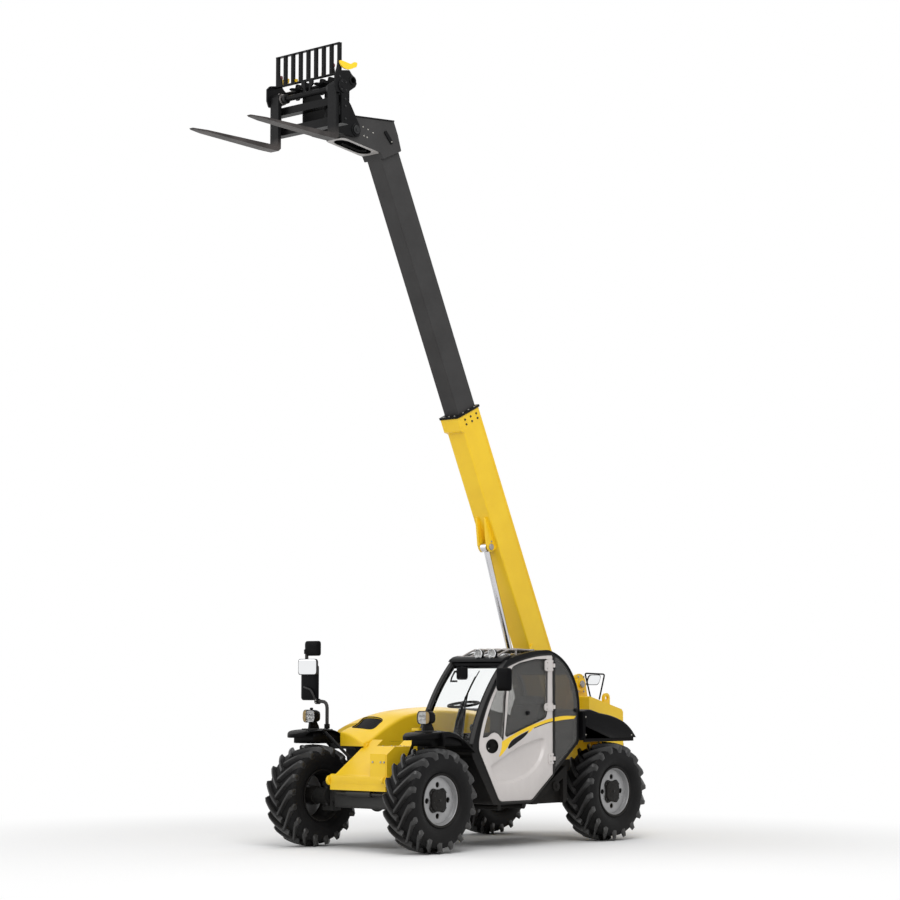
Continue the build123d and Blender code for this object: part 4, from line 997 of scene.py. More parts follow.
def grow(rows: Rows, step: float) -> Rows:
    """A closed plane outline moved outwards along its own normals by one step.

    Args:
        rows: the outline.
        step: how far outwards; inwards where it is negative.

    Returns:
        Rows moved square to the chord between their neighbours.
    """
    rows = np.asarray(rows, float)
    ahead = unit(np.roll(rows, -1, 0) - np.roll(rows, 1, 0))
    x, y = rows.T
    turn = np.sign(np.sum(x * np.roll(y, -1) - np.roll(x, -1) * y))
    return rows + step * turn * np.stack([ahead[:, 1], -ahead[:, 0]], -1)


def resample(rows: Rows, count: int) -> Rows:
    """Points at even distances round a closed outline.

    Args:
        rows: a closed outline.
        count: rows to return.

    Returns:
        Rows evenly spaced along it.
    """
    rows = np.vstack([rows, rows[:1]])
    way = np.r_[0, np.cumsum(np.linalg.norm(np.diff(rows, axis=0), axis=1))]
    here = np.linspace(0, way[-1], count, endpoint=False)
    return np.stack([np.interp(here, way, rows[:, axis]) for axis in range(rows.shape[1])], -1)


def strip(rows: Rows, width: float, height: float, x: float, soft: float = 0.3) -> Shell:
    """A rounded rubber strip carried round a closed side-view outline, its foot at one x.

    Args:
        rows: the outline as (y, z).
        width: width of the strip.
        height: how far it stands out.
        x: where its foot lies.
        soft: power of the section's sine and cosine; 1 is half an ellipse.

    Returns:
        The section (w / 2 cos^s t, h sin^s t) carried along the outline.
    """
    turn = np.linspace(0, math.pi, 7)
    profile = np.stack([-width / 2 * np.sign(np.cos(turn)) * np.abs(np.cos(turn)) ** soft,
                        height * np.sin(turn) ** soft], -1)
    path = at_x(rows, x)
    ahead = unit(np.roll(path, -1, 0) - np.roll(path, 1, 0))
    out = np.array([1.0, 0, 0])
    across = np.cross(ahead, out)
    points = (path[:, None] + profile[None, :, 0, None] * across[:, None]
              + profile[None, :, 1, None] * out)
    return lattice(points, wrap_rows=True, wrap_columns=True)


def applied(made: bpy.types.Object) -> bpy.types.Mesh:
    """The object's mesh as its modifiers leave it."""
    return bpy.data.meshes.new_from_object(made.evaluated_get(bpy.context.evaluated_depsgraph_get()))


def carve(made: bpy.types.Object, *cutters: Shell) -> None:
    """Cut closed shells out of an object, for good.

    Args:
        made: the object, whose modifiers are applied too.
        cutters: closed shells measured from the front axle.
    """
    tool = placed("cutter", raised("cutter", join(*cutters)))
    cut = made.modifiers.new("cut", "BOOLEAN")
    cut.object, cut.operation, cut.solver, cut.use_self = tool, "DIFFERENCE", "EXACT", True
    fresh = applied(made)
    made.modifiers.clear()
    made.data = fresh
    bpy.data.objects.remove(tool)


def pillow(centre: Points, half: Points, power: float = 4.0, crown: float = 0.0,
           counts: tuple = (36, 20)) -> Shell:
    """A closed form between a box and a ball.

    Args:
        centre, half: middle and half sizes.
        power: 2 for a ball, larger for squarer corners.
        crown: how much the top swells in the middle.
        counts: steps round and steps up.

    Returns:
        Points whose cosines and sines are raised to 2 / power, sign kept.
    """
    turn = turns(counts[0])[None, :]
    rise = np.linspace(-math.pi / 2, math.pi / 2, counts[1])[:, None]

    def curl(value: Rows) -> Rows:
        """A sine or cosine pushed towards the box."""
        return np.sign(value) * np.abs(value) ** (2 / power)

    x = curl(np.cos(rise)) * curl(np.cos(turn))
    y = curl(np.cos(rise)) * curl(np.sin(turn))
    z = curl(np.sin(rise)) + 0 * turn
    z = z + crown * np.clip(z, 0, 1) * (1 - x ** 2) * (1 - y ** 2)
    return lattice(np.asarray(centre) + np.stack([x, y, z], -1) * np.asarray(half), wrap_columns=True)


def pane_knob(centre: tuple, radii: tuple) -> Shell:
    """A turned latch knob that stands on a pane, given the radii of its neck and grip."""
    shape = [(0, 0), (0, 0.024), (0.006, 0.024), *zip((0.010, 0.020, 0.026, 0.030), radii), (0.031, 0)]
    return lathe(shape, centre, sides=24)


# ---------------------------------------------------------------- cab
@dataclass
class Cab:
    """The shell's rubber, panes, wiper and roof, and what the driver uses inside."""

    inner: float = 0.190
    outer: float = 0.980
    body: str = "chassis"
    ring: Rows = field(init=False)
    door: Rows = field(init=False)

    def __post_init__(self) -> None:
        """Work out the cab's and the door's side outlines."""
        low = 0.457
        corners = [(0.500, 0.960), (0.831, low), (1.430, low), (2.230, 1.082), (2.228, 1.330)]
        self.ring = np.vstack([
            bend(corners[0], corners[1], corners[2], 0.054), bend(corners[1], corners[2], corners[3], 0.022),
            bend(corners[2], corners[3], corners[4], 0.045),
            arc((2.228, 1.330), (2.146, 1.779), (1.712, 2.065), 22)[1:],
            arc((1.712, 2.065), (1.417, 2.041), (1.046, 1.955), 12)[1:],
            arc((1.046, 1.955), (0.729, 1.571), (0.505, 1.090), 18)[1:],
            bend((0.505, 1.090), corners[0], corners[1], 0.024)])
        back = 1.789
        self.door = np.vstack([
            bend((0.852, 0.613), (0.926, 0.489), (1.429, 0.489), 0.050),
            bend((0.926, 0.489), (1.440, 0.489), (back, 0.751), 0.030),
            bend((1.458, 0.510), (back, 0.751), (back, 2.0), 0.016),
            bend((back, 0.751), (back, 2.012), (1.6, 2.0), 0.028),
            arc((back - 0.03, 2.010), (1.416, 1.978), (1.061, 1.882), 10)[1:],
            arc((1.061, 1.882), (0.776, 1.540), (0.604, 1.110), 16)[1:],
            bend((0.604, 1.110), (0.604, 1.028), (0.665, 0.926), 0.020)])

    def quarter(self, step: float) -> Rows:
        """Outline of the rear side pane, moved in by a step: the ring behind the door's post.

        Args:
            step: how far in.

        Returns:
            The part of the ring behind the post, closed along the post.
        """
        inside = grow(self.ring, -step)
        edge = 1.820 + step - 0.018
        keep = inside[inside[:, 0] > edge]
        start = np.argmax(np.linalg.norm(keep - np.roll(keep, 1, 0), axis=1))
        keep = np.roll(keep, -start, 0)
        low, high = keep[0], keep[-1]
        tail = [(edge, high[1] + (high[0] - edge) * 0.12), (edge, low[1] - (low[0] - edge) * 0.78)]
        return np.vstack([keep, tail])

    def rubber(self) -> None:
        """Seals round the door opening, the rear side pane and the windscreen."""
        door = strip(resample(grow(self.door, 0.010), 150), 0.016, 0.006, self.outer - 0.0005)
        pane = strip(resample(self.quarter(0.026), 110), 0.020, 0.006, self.outer - 0.0125)
        Part("cab_side_seals", self.body, SEAL, angle=50).make(door, pane)
        frame_line = self.bow(0.0)
        left = np.column_stack([np.full(len(frame_line), self.outer - 0.062), frame_line])
        right = left * (-1, 1, 1) + (self.inner + self.outer, 0, 0)
        loop = np.vstack([left, right[::-1]])
        bead = carry(circle(0.009, 8), rounded(loop, 0.04, 4, closed=True), closed=True)
        Part("windscreen_seal", self.body, SEAL, angle=60).make(bead)

    def bow(self, step: float, low: float = 1.128, high: float = 1.936) -> Rows:
        """The windscreen's own curve in the side view, moved forward by a step.

        Args:
            step: how far forward.
            low: lowest height.
            high: highest height.

        Returns:
            Rows of (y, z) down the arc, moved along its normal.
        """
        line = arc((1.046, 1.955), (0.729, 1.571), (0.505, 1.090), 60)
        line = line[(line[:, 1] > low) & (line[:, 1] < high)]
        ahead = unit(np.gradient(line, axis=0))
        return line + (step - 0.008) * np.stack([ahead[:, 1], -ahead[:, 0]], -1)

    def posts(self) -> None:
        """Satin covers on the two windscreen posts and the cross piece over the windscreen."""
        covers = []
        for x in ((self.inner - 0.001, self.inner + 0.046), (self.outer - 0.046, self.outer + 0.001)):
            line = self.bow(0.0105, 1.02, 1.975)
            inside = self.bow(0.001, 1.02, 1.975)
            path = np.vstack([line, inside[::-1]])
            covers.append(slab(path, *x))
        Part("screen_post_covers", self.body, DARK, bevel=0.003).make(*covers)
        brow = [(0.985, 1.936), (1.005, 1.962), (1.060, 1.990), (1.135, 2.004), (1.150, 1.996),
                (1.100, 1.972)]
        Part("roof_brow", self.body, BLACK, bevel=0.003).make(
            slab(brow, self.inner + 0.01, self.outer - 0.02))

    def wiper(self) -> None:
        """Parallel-link wiper on the windscreen's right."""
        def on_glass(x: float, z: float, out: float) -> tuple:
            """A point in front of the windscreen at one x and height."""
            line = self.bow(out)
            return (x, float(np.interp(z, line[::-1, 1], line[::-1, 0])), z)

        arm = [(0.82, 0.500, 1.13), on_glass(0.80, 1.20, 0.04), on_glass(0.72, 1.60, 0.032)]
        link = [(0.79, 0.498, 1.12), on_glass(0.77, 1.22, 0.045), on_glass(0.705, 1.575, 0.036)]
        blade = [on_glass(0.70, z, 0.014) for z in np.linspace(1.22, 1.84, 12)]
        back = [on_glass(0.70, z, 0.022) for z in np.linspace(1.28, 1.78, 10)]
        pivots = lathe([(0, 0), (0, 0.026), (0.03, 0.022), (0.034, 0.0)], (0.805, 0.512, 1.125),
                       (0, -1, 0.2), 20)
        Part("windscreen_wiper", self.body, BLACK).make(
            tube(arm, 0.007), tube(link, 0.005), carry(circle(0.0055, 8), blade),
            carry(circle(0.007, 8), back), pivots)

    def inside_mirror(self) -> None:
        """Rounded mirror on a two-bend arm, and the sun blind's bar under it."""
        glass = pillow((0.475, 0.905, 1.815), (0.075, 0.012, 0.068), 6)
        arm = tube([(0.40, 0.93, 1.845), (0.345, 0.93, 1.835), (0.300, 0.93, 1.76), (0.300, 0.925, 1.735)],
                   0.009)
        bar = brick((0.296, 0.388), (0.912, 0.930), (1.722, 1.742))
        neck = rod((0.42, 0.912, 1.82), (0.34, 0.93, 1.838), 0.008)
        Part("inside_mirror", self.body, MOULDED, bevel=0.002).make(glass, arm, bar, neck)

    def roof(self) -> None:
        """Roof guard bars, their feet, and two round work lamps with their reflectors."""
        def level(y: float) -> float:
            """Height of the roof's skin."""
            return 1.955 + (y - 1.046) * 110 / 666

        front, middle, rear = 1.085, 1.31, 1.62
        bars = [tube([(x, front, level(front) + 0.024), (x, middle, level(middle) + 0.078),
                      (x, rear, level(rear) + 0.013)], 0.010, 0.16) for x in (0.30, 0.42, 0.54, 0.66, 0.78)]
        ends = [rod((0.26, y, level(y) + up), (0.86, y, level(y) + up), 0.012)
                for y, up in ((front, 0.024), (1.34, 0.062), (rear, 0.013))]
        feet = [rod((x, y, level(y) - 0.004), (x, y, level(y) + up), 0.010)
                for x in (0.27, 0.85) for y, up in ((front, 0.022), (1.34, 0.060), (rear, 0.012))]
        Part("roof_guard_bars", self.body, STEEL, replaces=("roof_guard",)).make(
            *bars, *ends, *feet)
        for side, x in (("inner", 0.585), ("outer", 0.775)):
            WorkLamp("work_lamp_" + side, (x, 1.072, level(1.13) + 0.050)).build()

    def hand_wheel(self) -> None:
        """Steering wheel: rippled grip, three spokes and boss, leaning towards the driver."""
        centre, tilt = np.array((0.50, 0.90, 1.49)), math.radians(9)

        def tilted(points: Rows) -> Rows:
            """Turn a level wheel about X towards the driver and put it on its column.

            Args:
                points: rows round a level wheel at the origin.

            Returns:
                Rows (x, y cos a - z sin a, y sin a + z cos a) from the wheel's middle.
            """
            x, y, z = points.T
            return centre + np.stack([x, y * math.cos(tilt) - z * math.sin(tilt),
                                      y * math.sin(tilt) + z * math.cos(tilt)], -1)

        turn = turns(72)
        grip = 0.014 + 0.0012 * np.cos(24 * turn)
        rim = carry(circle(1.0, 14), 0.160 * np.stack([np.cos(turn), np.sin(turn), 0 * turn], -1),
                    side=(0, 0, 1), closed=True, scale=grip)
        spokes = [carry(np.array([(-0.012, -0.004), (0.012, -0.004), (0.012, 0.004), (-0.012, 0.004)]),
                        [(0.02 * math.sin(a), 0.02 * math.cos(a), 0.010), (0.09 * math.sin(a),
                         0.09 * math.cos(a), 0.004), (0.158 * math.sin(a), 0.158 * math.cos(a), 0)],
                        side=(math.cos(a), -math.sin(a), 0)) for a in np.arange(3) * 2 * math.pi / 3]
        boss = lathe([(-0.03, 0), (-0.03, 0.026), (0.008, 0.038), (0.018, 0.030), (0.021, 0)],
                     axis=(0, 0, 1), sides=40)
        Part("steering_wheel", self.body, MOULDED).make(
            *[piece.mapped(tilted) for piece in (rim, boss, *spokes)])

    def consoles(self) -> None:
        """Column cover, dash with its panel, and the side console with its stick and knob."""
        turn = turns(72)[::3]
        cover = rings(*[np.asarray(at) + np.stack([wide * np.cos(turn), deep * np.sin(turn), 0 * turn], -1)
                        for at, wide, deep in (((0.5, 0.78, 1.01), 0.052, 0.046),
                                               ((0.5, 0.80, 1.12), 0.060, 0.055),
                                               ((0.5, 0.85, 1.33), 0.050, 0.046),
                                               ((0.5, 0.885, 1.445), 0.040, 0.036))])
        dash = [(0.545, 1.000), (0.535, 0.96), (0.60, 0.83), (0.84, 0.52), (0.98, 0.52), (0.95, 0.70),
                (0.86, 0.90), (0.80, 0.985), (0.70, 1.010)]
        console = slab(rounded(dash, 0.03, 4, closed=True), 0.245, 0.925)
        panel = slab(rounded([(0.73, 1.005), (0.80, 0.985), (0.865, 1.065), (0.80, 1.110)], 0.015, 4,
                             closed=True), 0.36, 0.64)
        Part("dash_console", self.body, MOULDED, bevel=0.004,
             replaces=("cab_controls",)).make(console, panel, cover)
        side = pillow((0.285, 1.42, 0.80), (0.045, 0.26, 0.26), 7)
        stick = tube([(0.29, 1.30, 1.05), (0.30, 1.27, 1.14), (0.31, 1.25, 1.20)], 0.008)
        knob = pillow((0.312, 1.245, 1.235), (0.022, 0.024, 0.042), 2.6)
        Part("side_console", self.body, MOULDED).make(side, stick, knob)

    def latches(self) -> None:
        """Round knob on the rear side pane."""
        radii = (0.0144, 0.0132, 0.0192, 0.0168)
        Part("rear_pane_knob", self.body, BLACK).make(pane_knob((0.972, 2.165, 1.42), radii))

    def build(self) -> None:
        """Make everything fixed to the cab shell."""
        self.rubber()
        self.posts()
        self.wiper()
        self.inside_mirror()
        self.roof()
        self.hand_wheel()
        self.consoles()
        self.latches()
        dress(BLACK, "cab_frame")
        dress(MOULDED, "cab_floor")
        dress(CLEAR, "cab_glass")
        dress(TINT, "quarter_glass")


@dataclass
class WorkLamp:
    """A round work lamp that faces forwards: housing, bright bowl, lens and bright bezel."""

    name: str
    centre: tuple
    radius: float = 0.053
    body: str = "chassis"

    def build(self) -> None:
        """Make the housing, the bowl and the lens."""
        r = self.radius
        ahead = (0, -1, 0)
        shellcase = [(-0.026, 0), (-0.026, 0.020), (-0.018, 0.036), (0.004, r - 0.002), (0.030, r),
                     (0.034, r), (0.034, r - 0.005), (0.028, r - 0.006), (-0.010, 0.016), (-0.014, 0)]
        bowl = [(-0.006, 0), (-0.006, 0.008), (0.006, 0.022), (0.018, 0.034), (0.029, r - 0.007)]
        Part(self.name + "_case", self.body, MOULDED).make(
            lathe(shellcase, self.centre, ahead, 48))
        shine = lathe(bowl + [(0.027, r - 0.0055), (-0.008, 0.0)], self.centre, ahead, 48)
        Part(self.name + "_bowl", self.body, REFLECTOR).make(shine.moved((0, -0.0015, 0)))
        face = [(0.031, 0), (0.031, r - 0.006), (0.036, r - 0.006), (0.040, r * 0.6), (0.0415, 0)]
        Part(self.name + "_lens", self.body, LENS).make(lathe(face, self.centre, ahead, 48))
        bezel = [(0.033, r - 0.0055), (0.033, r + 0.0015), (0.038, r + 0.001), (0.040, r - 0.003),
                 (0.038, r - 0.0055), (0.033, r - 0.0055)]
        Part(self.name + "_bezel", self.body, SHINE).make(lathe(bezel, self.centre, ahead, 48))


# ---------------------------------------------------------------- door
@dataclass
class Door:
    """Pale moulded door: panel with its long recess, two tinted windows, latch, stripe and hinges."""

    cab: Cab
    face: float = 0.980
    back: float = 0.938
    deep: float = 0.034
    body: str = "door"
    covers: tuple = ((0.915, 0.060, 1.706), (1.460, 0.042, 1.645), (1.900, 0.062, 1.655))

    def lights(self, step: float = 0.0) -> tuple[Rows, Rows]:
        """Outlines of the front and the main window, moved outwards by a step.

        Args:
            step: how far outwards.

        Returns:
            The front window's outline and the main one's.
        """
        front = np.vstack([
            [(0.672, 1.151), (0.744, 1.160), (0.800, 1.192), (0.850, 1.204), (0.901, 1.188), (0.945, 1.152),
             (0.978, 1.118), (0.990, 1.122), (0.996, 1.145), (1.012, 1.331), (1.028, 1.539), (1.045, 1.642),
             (1.092, 1.846), (1.088, 1.862), (1.070, 1.864)],
            arc((1.061, 1.861), (0.823, 1.540), (0.664, 1.160), 14)])
        main = np.array([
            (1.012, 1.186), (1.018, 1.168), (1.036, 1.156), (1.059, 1.156), (1.251, 1.214), (1.413, 1.262),
            (1.540, 1.300), (1.640, 1.330), (1.672, 1.344), (1.690, 1.366), (1.698, 1.400), (1.706, 1.535),
            (1.712, 1.853), (1.730, 1.925), (1.728, 1.946), (1.712, 1.962), (1.679, 1.970), (1.498, 1.968),
            (1.254, 1.928), (1.150, 1.892), (1.128, 1.876), (1.114, 1.850), (1.072, 1.642), (1.046, 1.383)])
        return grow(front, step), grow(main, step)

    def recess(self) -> list:
        """Rings of the recess from its rim to its floor.

        Returns:
            Side-view rings with their x: the rim rolls in by a cosine, the floor is nearly flat.
        """
        rim = smooth([(0.800, 0.868), (0.860, 0.900), (0.999, 0.959), (1.158, 1.028), (1.319, 1.077),
                      (1.482, 1.116), (1.590, 1.136), (1.655, 1.128), (1.676, 1.080), (1.661, 1.008),
                      (1.611, 0.904), (1.529, 0.822), (1.399, 0.742), (1.237, 0.694), (1.077, 0.668),
                      (0.930, 0.670), (0.866, 0.700), (0.815, 0.775), (0.790, 0.835)], 96, closed=True)
        floor = smooth([(0.838, 0.858), (0.900, 0.884), (1.010, 0.930), (1.160, 0.998), (1.310, 1.046),
                        (1.460, 1.086), (1.545, 1.104), (1.592, 1.096), (1.604, 1.060), (1.596, 1.000),
                        (1.553, 0.926), (1.480, 0.852), (1.360, 0.784), (1.210, 0.742), (1.075, 0.722),
                        (0.960, 0.722), (0.900, 0.744), (0.856, 0.792), (0.830, 0.835)], 96, closed=True)
        share = np.linspace(0, 1, 9)
        return [(rim + (floor - rim) * 0.7 * s, self.face - self.deep * (1 - math.cos(math.pi * s)) / 2)
                for s in share]

    def latch(self) -> Rows:
        """Outline of the round latch opening."""
        turn = turns(40)
        return np.array((0.808, 1.064)) + np.stack([0.090 * np.cos(turn), 0.068 * np.sin(turn)], -1)

    def panel(self) -> None:
        """The moulding itself, with its rolled rim, windows, recess and latch bowl."""
        edge = self.cab.door
        front, main = self.lights()
        dent = self.recess()
        latch = self.latch()
        inset, roll = grow(edge, -0.006), 0.006
        face = skin([inset, front, main, dent[0][0], latch], self.face)
        rear = skin([edge, front, main], self.back)
        rolled = [at_x(inset, self.face), at_x(grow(edge, -0.002), self.face - roll * 0.35),
                  at_x(edge, self.face - roll), at_x(edge, self.back)]
        walls = [between(first, last) for first, last in zip(rolled, rolled[1:])]
        walls += [between(at_x(line, self.face), at_x(line, self.back)) for line in (front, main)]
        bowl = lattice(np.stack([at_x(ring, x) for ring, x in dent]), wrap_columns=True)
        floor = skin([dent[-1][0]], dent[-1][1])
        cup = [between(at_x(latch, self.face), at_x(grow(latch, -0.010), self.face - 0.020)),
               skin([grow(latch, -0.010)], self.face - 0.020)]
        Part("door_moulding", self.body, PALE, angle=40,
             replaces=("door_panel",)).make(face, rear, *walls, bowl, floor, *cup)

    def rubber(self) -> None:
        """Window rubbers round both windows, the black ring round the latch with its pull and grip, and the
        key barrel.
        """
        front, main = self.lights(-0.004)
        seals = [strip(resample(line, 110), 0.014, 0.005, self.face - 0.012) for line in (front, main)]
        Part("door_window_rubbers", self.body, SEAL, angle=50).make(*seals)
        ring = strip(resample(grow(self.latch(), -0.001), 60), 0.014, 0.006, self.face - 0.002)
        pull = rings(*[at_x(grow(self.latch(), -step), self.face - deep)
                       for step, deep in ((0.002, 0.019), (0.002, 0.006), (0.012, 0.004), (0.040, 0.009))])
        grip = pillow((self.face - 0.004, 0.815, 1.072), (0.006, 0.042, 0.018), 4)
        Part("door_latch", self.body, MOULDED, angle=50).make(ring, pull, grip)
        key = lathe([(0, 0), (0, 0.007), (0.003, 0.006), (0.003, 0)], (self.face - 0.0035, 0.757, 1.040),
                    sides=16)
        Part("door_key_barrel", self.body, BOLT).make(key)

    def stripe(self) -> None:
        """Raised yellow swoosh over the panel, with its black wedge below and the pane's own length."""
        upper = smooth([(0.962, 1.108), (1.079, 1.153), (1.239, 1.213), (1.401, 1.262), (1.564, 1.302),
                        (1.696, 1.330), (1.786, 1.344)], 40)
        lower = smooth([(1.786, 1.311), (1.696, 1.297), (1.564, 1.268), (1.480, 1.246)], 14)
        over = smooth([(1.400, 1.224), (1.300, 1.194), (1.200, 1.158), (1.130, 1.128), (1.085, 1.094),
                       (1.052, 1.050)], 20)
        foot = smooth([(1.030, 1.032), (0.985, 0.992), (0.920, 0.952), (0.945, 1.012), (0.962, 1.060)], 16)
        notch = [(1.462, 1.240), (1.430, 1.212), (1.395, 1.194), (1.372, 1.190), (1.392, 1.212)]
        Part("door_stripe", self.body, YELLOW, bevel=0.0006).make(
            slab(np.vstack([upper, lower, notch, over, foot]), self.face - 0.0005, self.face + 0.0022))
        wedge = np.vstack([over + (0.004, -0.005), [(1.070, 1.030), (1.120, 1.052)],
                           smooth([(1.200, 1.092), (1.300, 1.140), (1.366, 1.183)], 8), [(1.386, 1.210)]])
        under = np.vstack([lower + (0, -0.002), (lower + (0, -0.010))[::-1]])
        Part("door_stripe_shadow", self.body, BLACK).make(slab(wedge, self.face - 0.0005, self.face + 0.0018),
                                                          slab(under, self.face - 0.0005, self.face + 0.0018))
        tail = np.vstack([smooth([(1.826, 1.349), (1.979, 1.363), (2.182, 1.361)], 14),
                          smooth([(2.150, 1.331), (1.979, 1.322), (1.826, 1.308)], 14)])
        Part("pane_stripe", "chassis", YELLOW, bevel=0.0006).make(
            slab(tail, 0.9725, 0.9745))

    def knobs(self) -> None:
        """The main pane's latch knob."""
        radii = (0.014, 0.013, 0.019, 0.016)
        Part("main_pane_knob", self.body, BLACK).make(pane_knob((0.9565, 1.39, 1.40), radii))

    def hinges(self) -> None:
        """Three moulded hinge covers on the door and the pins' knuckles."""
        covers, screws = [], []
        for z, half, front in self.covers:
            line = rounded([(front, z - half + 0.012), (front + 0.03, z - half), (1.790, z - half * 0.92),
                            (1.790, z + half * 0.92), (front + 0.03, z + half), (front, z + half - 0.016)],
                           0.012, 4, closed=True)
            covers.append(slab(line, self.face - 0.002, self.face + 0.010))
            screws += [(self.face + 0.010, front + 0.035, z + half * up) for up in (-0.5, 0.5)]
        Part("door_hinge_covers", self.body, PALE, bevel=0.003).make(*covers)
        Part("door_hinge_screws", self.body, BOLT).make(bolts(screws, size=0.006))
        pins = [lathe([(-0.021, 0), (-0.021, 0.011), (-0.019, 0.0128), (0.019, 0.0128), (0.021, 0.011),
                       (0.021, 0)], (0.994, 1.795, z), (0, 0, 1), 24) for z, _, _ in self.covers]
        Part("door_hinge_knuckles", self.body, PALE).make(*pins)

    def build(self) -> None:
        """Make the door and dress its panes."""
        self.panel()
        self.rubber()
        self.stripe()
        self.knobs()
        self.hinges()
        dress(TINT, "door_glass")


# ---------------------------------------------------------------- bodywork
@dataclass
class Hood:
    """Crowned engine hood with its air opening and grille, and the casing below it."""

    left: float = -0.310
    far: float = -0.985
    step: float = -0.645
    sheet: float = 0.012
    body: str = "chassis"
    table: tuple = ((0.215, 1.050, 1.075, 1.195, 1.130), (0.340, 1.065, 1.118, 1.240, 1.165),
                    (0.460, 1.078, 1.187, 1.270, 1.190), (0.620, 1.0943, 1.265, 1.345, 1.225),
                    (0.880, 1.0943, 1.362, 1.407, 1.255), (1.270, 1.0943, 1.410, 1.437, 1.270),
                    (1.700, 1.0943, 1.400, 1.440, 1.270), (2.240, 1.0943, 1.330, 1.400, 1.230))

    def levels(self, y: Rows) -> Rows:
        """Underside, left crease, crest and right shoulder at each y, on a smooth curve."""
        rows = smooth(self.table, 240)
        return np.stack([np.interp(y, rows[:, 0], rows[:, column]) for column in range(1, 5)], -1)

    def ring(self, y: float, inset: float = 0.0, lift: float = 0.0) -> Rows:
        """Closed cross section: up the left side, over the crown on one arc, down the right side.

        Args:
            y: where the section stands.
            inset: how far inside the outer form.
            lift: how far its foot reaches below the underside.

        Returns:
            Rows of (x, y, z).
        """
        low, crease, crest, right = self.levels(np.array([y]))[0]
        left, far = self.left - inset, self.far + inset
        crown = arc((left, crease - 2 * inset), ((left + far) / 2, crest - 2 * inset),
                    (far, right - 2 * inset), 26)
        over = np.vstack([bend((left, low), crown[0], crown[2], 0.030, 6), crown[3:-4],
                          bend(crown[-4], crown[-1], (far, low), 0.045, 8)])
        line = np.vstack([[(left, low - lift)], over, [(far, low - lift)]])
        return np.column_stack([line[:, 0], np.full(len(line), y), line[:, 1]])

    def top(self, x: Rows, y: Rows) -> Rows:
        """Height of the crown: the parabola through crease, crest and shoulder at each y.

        Args:
            x: places across the hood.
            y: places along it.

        Returns:
            Heights by Lagrange's formula: 2 (s - 1/2) (s - 1) crease + 4 s (1 - s) crest
            + 2 s (s - 1/2) shoulder, s being the share of the way across.
        """
        crease, crest, right = self.levels(y).T[1:]
        share = (x - self.left) / (self.far - self.left)
        return (2 * (share - 0.5) * (share - 1) * crease + 4 * share * (1 - share) * crest
                + 2 * share * (share - 0.5) * right)

    def vent(self, step: float = 0.0) -> Rows:
        """Outline of the air opening, seen from above.

        Args:
            step: how far outwards.

        Returns:
            Rows of (x, y).
        """
        corners = np.array([(-0.400, 0.450), (-0.420, 0.645), (-0.690, 0.625), (-0.655, 0.530),
                            (-0.622, 0.350)])
        return grow(rounded(corners, 0.055, 7, closed=True), step)

    def cover(self) -> None:
        """Raise the outer form, step it, hollow it with the inner form and cut the air opening."""
        first, last = self.table[0][0], self.table[-1][0]
        places = np.r_[first + np.array([0.0, 0.003, 0.009]), np.linspace(first + 0.03, last - 0.03, 56),
                       last - np.array([0.009, 0.003, 0.0])]
        insets = np.r_[0.008, 0.0025, np.zeros(58), 0.0025, 0.008]
        outer = rings(*[self.ring(y, inset) for y, inset in zip(places, insets)])
        inner = rings(*[self.ring(y, self.sheet, 0.05)
                        for y in np.linspace(first + self.sheet, last - self.sheet, 40)])
        hood = Part("engine_hood_shell", self.body, YELLOW, angle=34,
                    replaces=("engine_hood",)).make(outer)
        ledge = 0.500
        carve(hood, brick((self.far - 0.02, self.step), (0.0, ledge), (0.9, 1.6)))
        inside = Part("inner_form", self.body, YELLOW, "").make(inner)
        carve(inside, brick((self.far - 0.02, self.step + self.sheet), (0.0, ledge + self.sheet), (0.9, 1.6)))
        form = Shell(np.array([corner.co[:] for corner in inside.data.vertices]) - SHIFT,
                     [list(face.vertices) for face in inside.data.polygons])
        bpy.data.objects.remove(inside)
        carve(hood, form)
        carve(hood, slab(self.vent(), 1.15, 1.6, Along.Z))
        shade(hood.data, 34)

    def build(self) -> None:
        """Make the cover, the grille with its rim, and the seams and fastenings."""
        self.cover()
        self.grille()
        self.trim()

    def grille(self) -> None:
        """Dark louvres under the opening, each a leaning blade that follows the crown, and the rim."""
        blades = []

        def reach(y: Rows) -> Rows:
            """How far across the opening the bed goes at each y: less where the hood is stepped."""
            return np.where(np.asarray(y) < 0.510, self.step + 0.002, -0.705)

        for y in np.arange(0.345, 0.66, 0.024):
            x = np.linspace(-0.385, float(reach(y)), 22)
            line = np.column_stack([x, np.full(22, y), self.top(x, np.full(22, y)) - 0.013])
            blades.append(carry(np.array([(-0.010, -0.008), (0.010, 0.006), (0.010, 0.009),
                                          (-0.010, -0.005)]), line, side=(0, 1, 0)))
        share, bed_y = np.meshgrid(np.linspace(0, 1, 22), np.linspace(0.34, 0.665, 27))
        bed_x = -0.385 + (reach(bed_y) + 0.385) * share
        bed_z = self.top(bed_x.ravel(), bed_y.ravel()).reshape(bed_x.shape) - 0.026
        bed = lattice(np.stack([bed_x, bed_y, bed_z], -1))
        Part("hood_grille", self.body, BLACK).make(*blades)
        Part("hood_grille_bed", self.body, MOULDED, thick=0.004).make(bed)
        rim = resample(self.vent(0.003), 120)
        line = np.column_stack([rim, self.top(rim[:, 0], rim[:, 1]) + 0.0005])
        Part("hood_opening_rim", self.body, BLACK, angle=60).make(
            carry(circle(0.006, 8), line, side=(0, 0, 1), closed=True))

